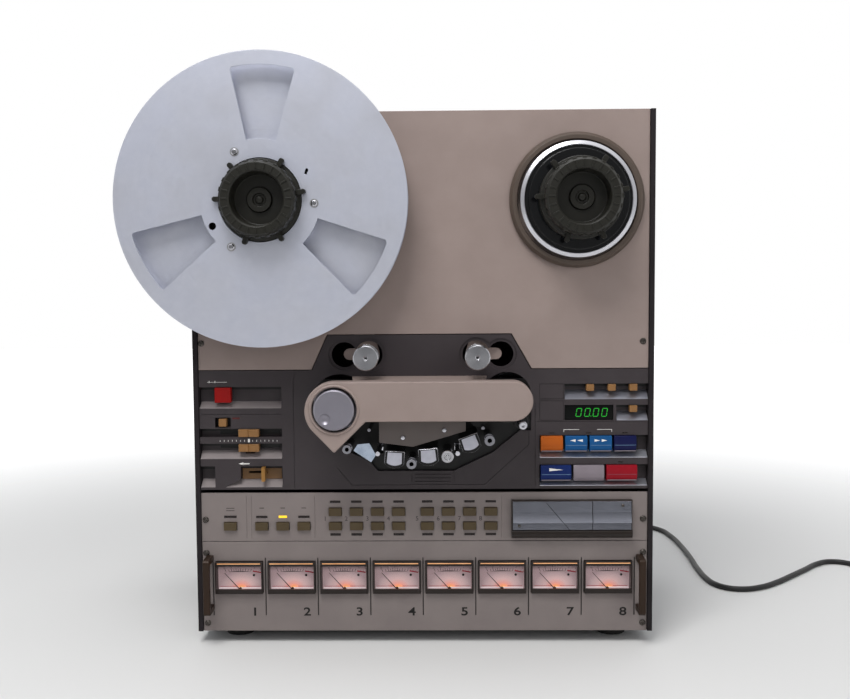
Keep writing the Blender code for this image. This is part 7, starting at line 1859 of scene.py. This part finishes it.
    def timing(self) -> None:
        """The timing roller with its satin knob and the dimple in it."""
        k = 0.0183
        profile = [(0, 0.016), (0.004, 0.016), (0.004, -0.0216), (0.0225, -0.0216), (0.0225, -0.0230),
                   (0.0210, -0.0234), (0.0210, -0.0384), (0.0202, -0.0395), (0.006, -0.0395), (0.006, -0.0500),
                   (k, -0.0500), (k, -0.0609), (k - 0.0011, -0.0620), (0, -0.0620)]
        piece = turned("timing_knob", profile, KNOB_X, KNOB_Z, 128, ease=0.0003)
        ball = bmesh.new()
        bmesh.ops.create_uvsphere(ball, u_segments=48, v_segments=32, radius=0.0070,
                                  matrix=Matrix.Translation((KNOB_X - 0.0080, -0.0669, KNOB_Z - 0.0078)))
        cut(piece, new_piece("dimple", ball))
        place(piece, KNOB_METAL.about("timing", KNOB_X, KNOB_Z), "timing_roller", ["timing_roller"])

    def build(self) -> None:
        """Make the whole tape path."""
        self.base()
        self.guides()
        self.shield()
        for node, x, z, turn in self.heads:
            self.head(node, x, z, turn)
        self.moving()
        self.timing()


@dataclass
class HeadCover:
    """The beige cover over the tape path, with its skirt and the lip round the knob."""

    face: float = 0.058
    side_rear: float = 0.040
    wall: float = 0.0025
    end_radius: float = 0.0180
    lobe_radius: float = 0.0263
    left: float = -0.0790
    right: float = 0.0820
    tip: float = 0.1822
    elbow: float = -0.0504
    skirt_left: float = -0.0669
    skirt_right: float = 0.0604
    lip_radius: float = 0.0228
    hole: float = 0.0203

    def outline(self, inset: float) -> Outline:
        """The outline of the cover, moved inwards by some distance."""
        right_z, lobe_z = COVER_TOP - self.end_radius, COVER_TOP - self.lobe_radius
        lobe = self.lobe_radius - inset
        tip = self.tip + inset * 1.45
        lean = math.degrees(math.acos(lobe / (lobe_z - tip)))
        bottom = right_z - self.end_radius + inset
        corner = self.elbow + inset * 0.45
        points = (arc(self.right, right_z, self.end_radius - inset, -90, 90, 48)
                  + arc(self.left, lobe_z, lobe, 90, 270 - lean, 48))
        tip_corner = eased([points[-1], (self.left, tip), (corner, bottom)], 0.0016, closed=False)
        return points + tip_corner[1:-1] + [(corner, bottom)]

    def build(self) -> None:
        """Make the cover as one shell."""
        piece = slab("head_cover_shell", [self.outline(0)], -self.face, -self.side_rear)
        soften(piece, 0.0011, 4, 50)
        cut(piece, slab("hollow", [self.outline(self.wall)], -self.face + self.wall, -self.side_rear + OVERRUN))
        top = COVER_TOP - 0.0002
        skirt = extruded("skirt", [[(self.skirt_left, -0.0003), (self.skirt_left + 0.0060, -self.face + 0.0030),
                                    (self.skirt_right - 0.0060, -self.face + 0.0030), (self.skirt_right, -0.0003)]],
                         self.wall, Matrix.Translation((0, 0, top - self.wall / 2)))
        fuse(piece, skirt)
        lip = [(self.hole, -self.face + 0.0012), (self.lip_radius, -self.face + 0.0012),
               (self.lip_radius, -self.face - 0.0006), (self.lip_radius - 0.0010, -self.face - 0.0015),
               (self.hole + 0.0008, -self.face - 0.0013), (self.hole, -self.face - 0.0006)]
        cut(piece, rods("knob_hole", [(KNOB_X, KNOB_Z)], self.hole, -self.face - OVERRUN,
                        -self.face + self.wall + 0.001, 128))
        fuse(piece, turned("lip", lip, KNOB_X, KNOB_Z, 128, ease=0.0003))
        place(piece, BEIGE_ENAMEL, "deck", ["head_cover"])


def innards() -> None:
    """Give the motors and the power supply, inside the cabinet, the finish of their kind."""
    for node in ("supply_motor", "takeup_motor", "capstan_motor"):
        keep_node(node, STEEL)
    keep_node("power_supply_board", BOARD_LACQUER)


def main() -> None:
    """Build the studio, the cord and then every sub-assembly from the cabinet outwards."""
    logging.basicConfig(level=logging.INFO, format="%(name)s %(message)s")
    Studio().build()
    MainsCord().build()
    for part in (Cabinet(), UpperPanel(), TransportPanel(), KeyRow(), Controls(), ControlPanel(), MeterRow(),
                 Reel(), Turntable(-1), Turntable(1), TensionRoller(-1), TensionRoller(1), HeadAssembly(),
                 HeadCover()):
        part.build()
    innards()


if __name__ == "__main__":
    main()
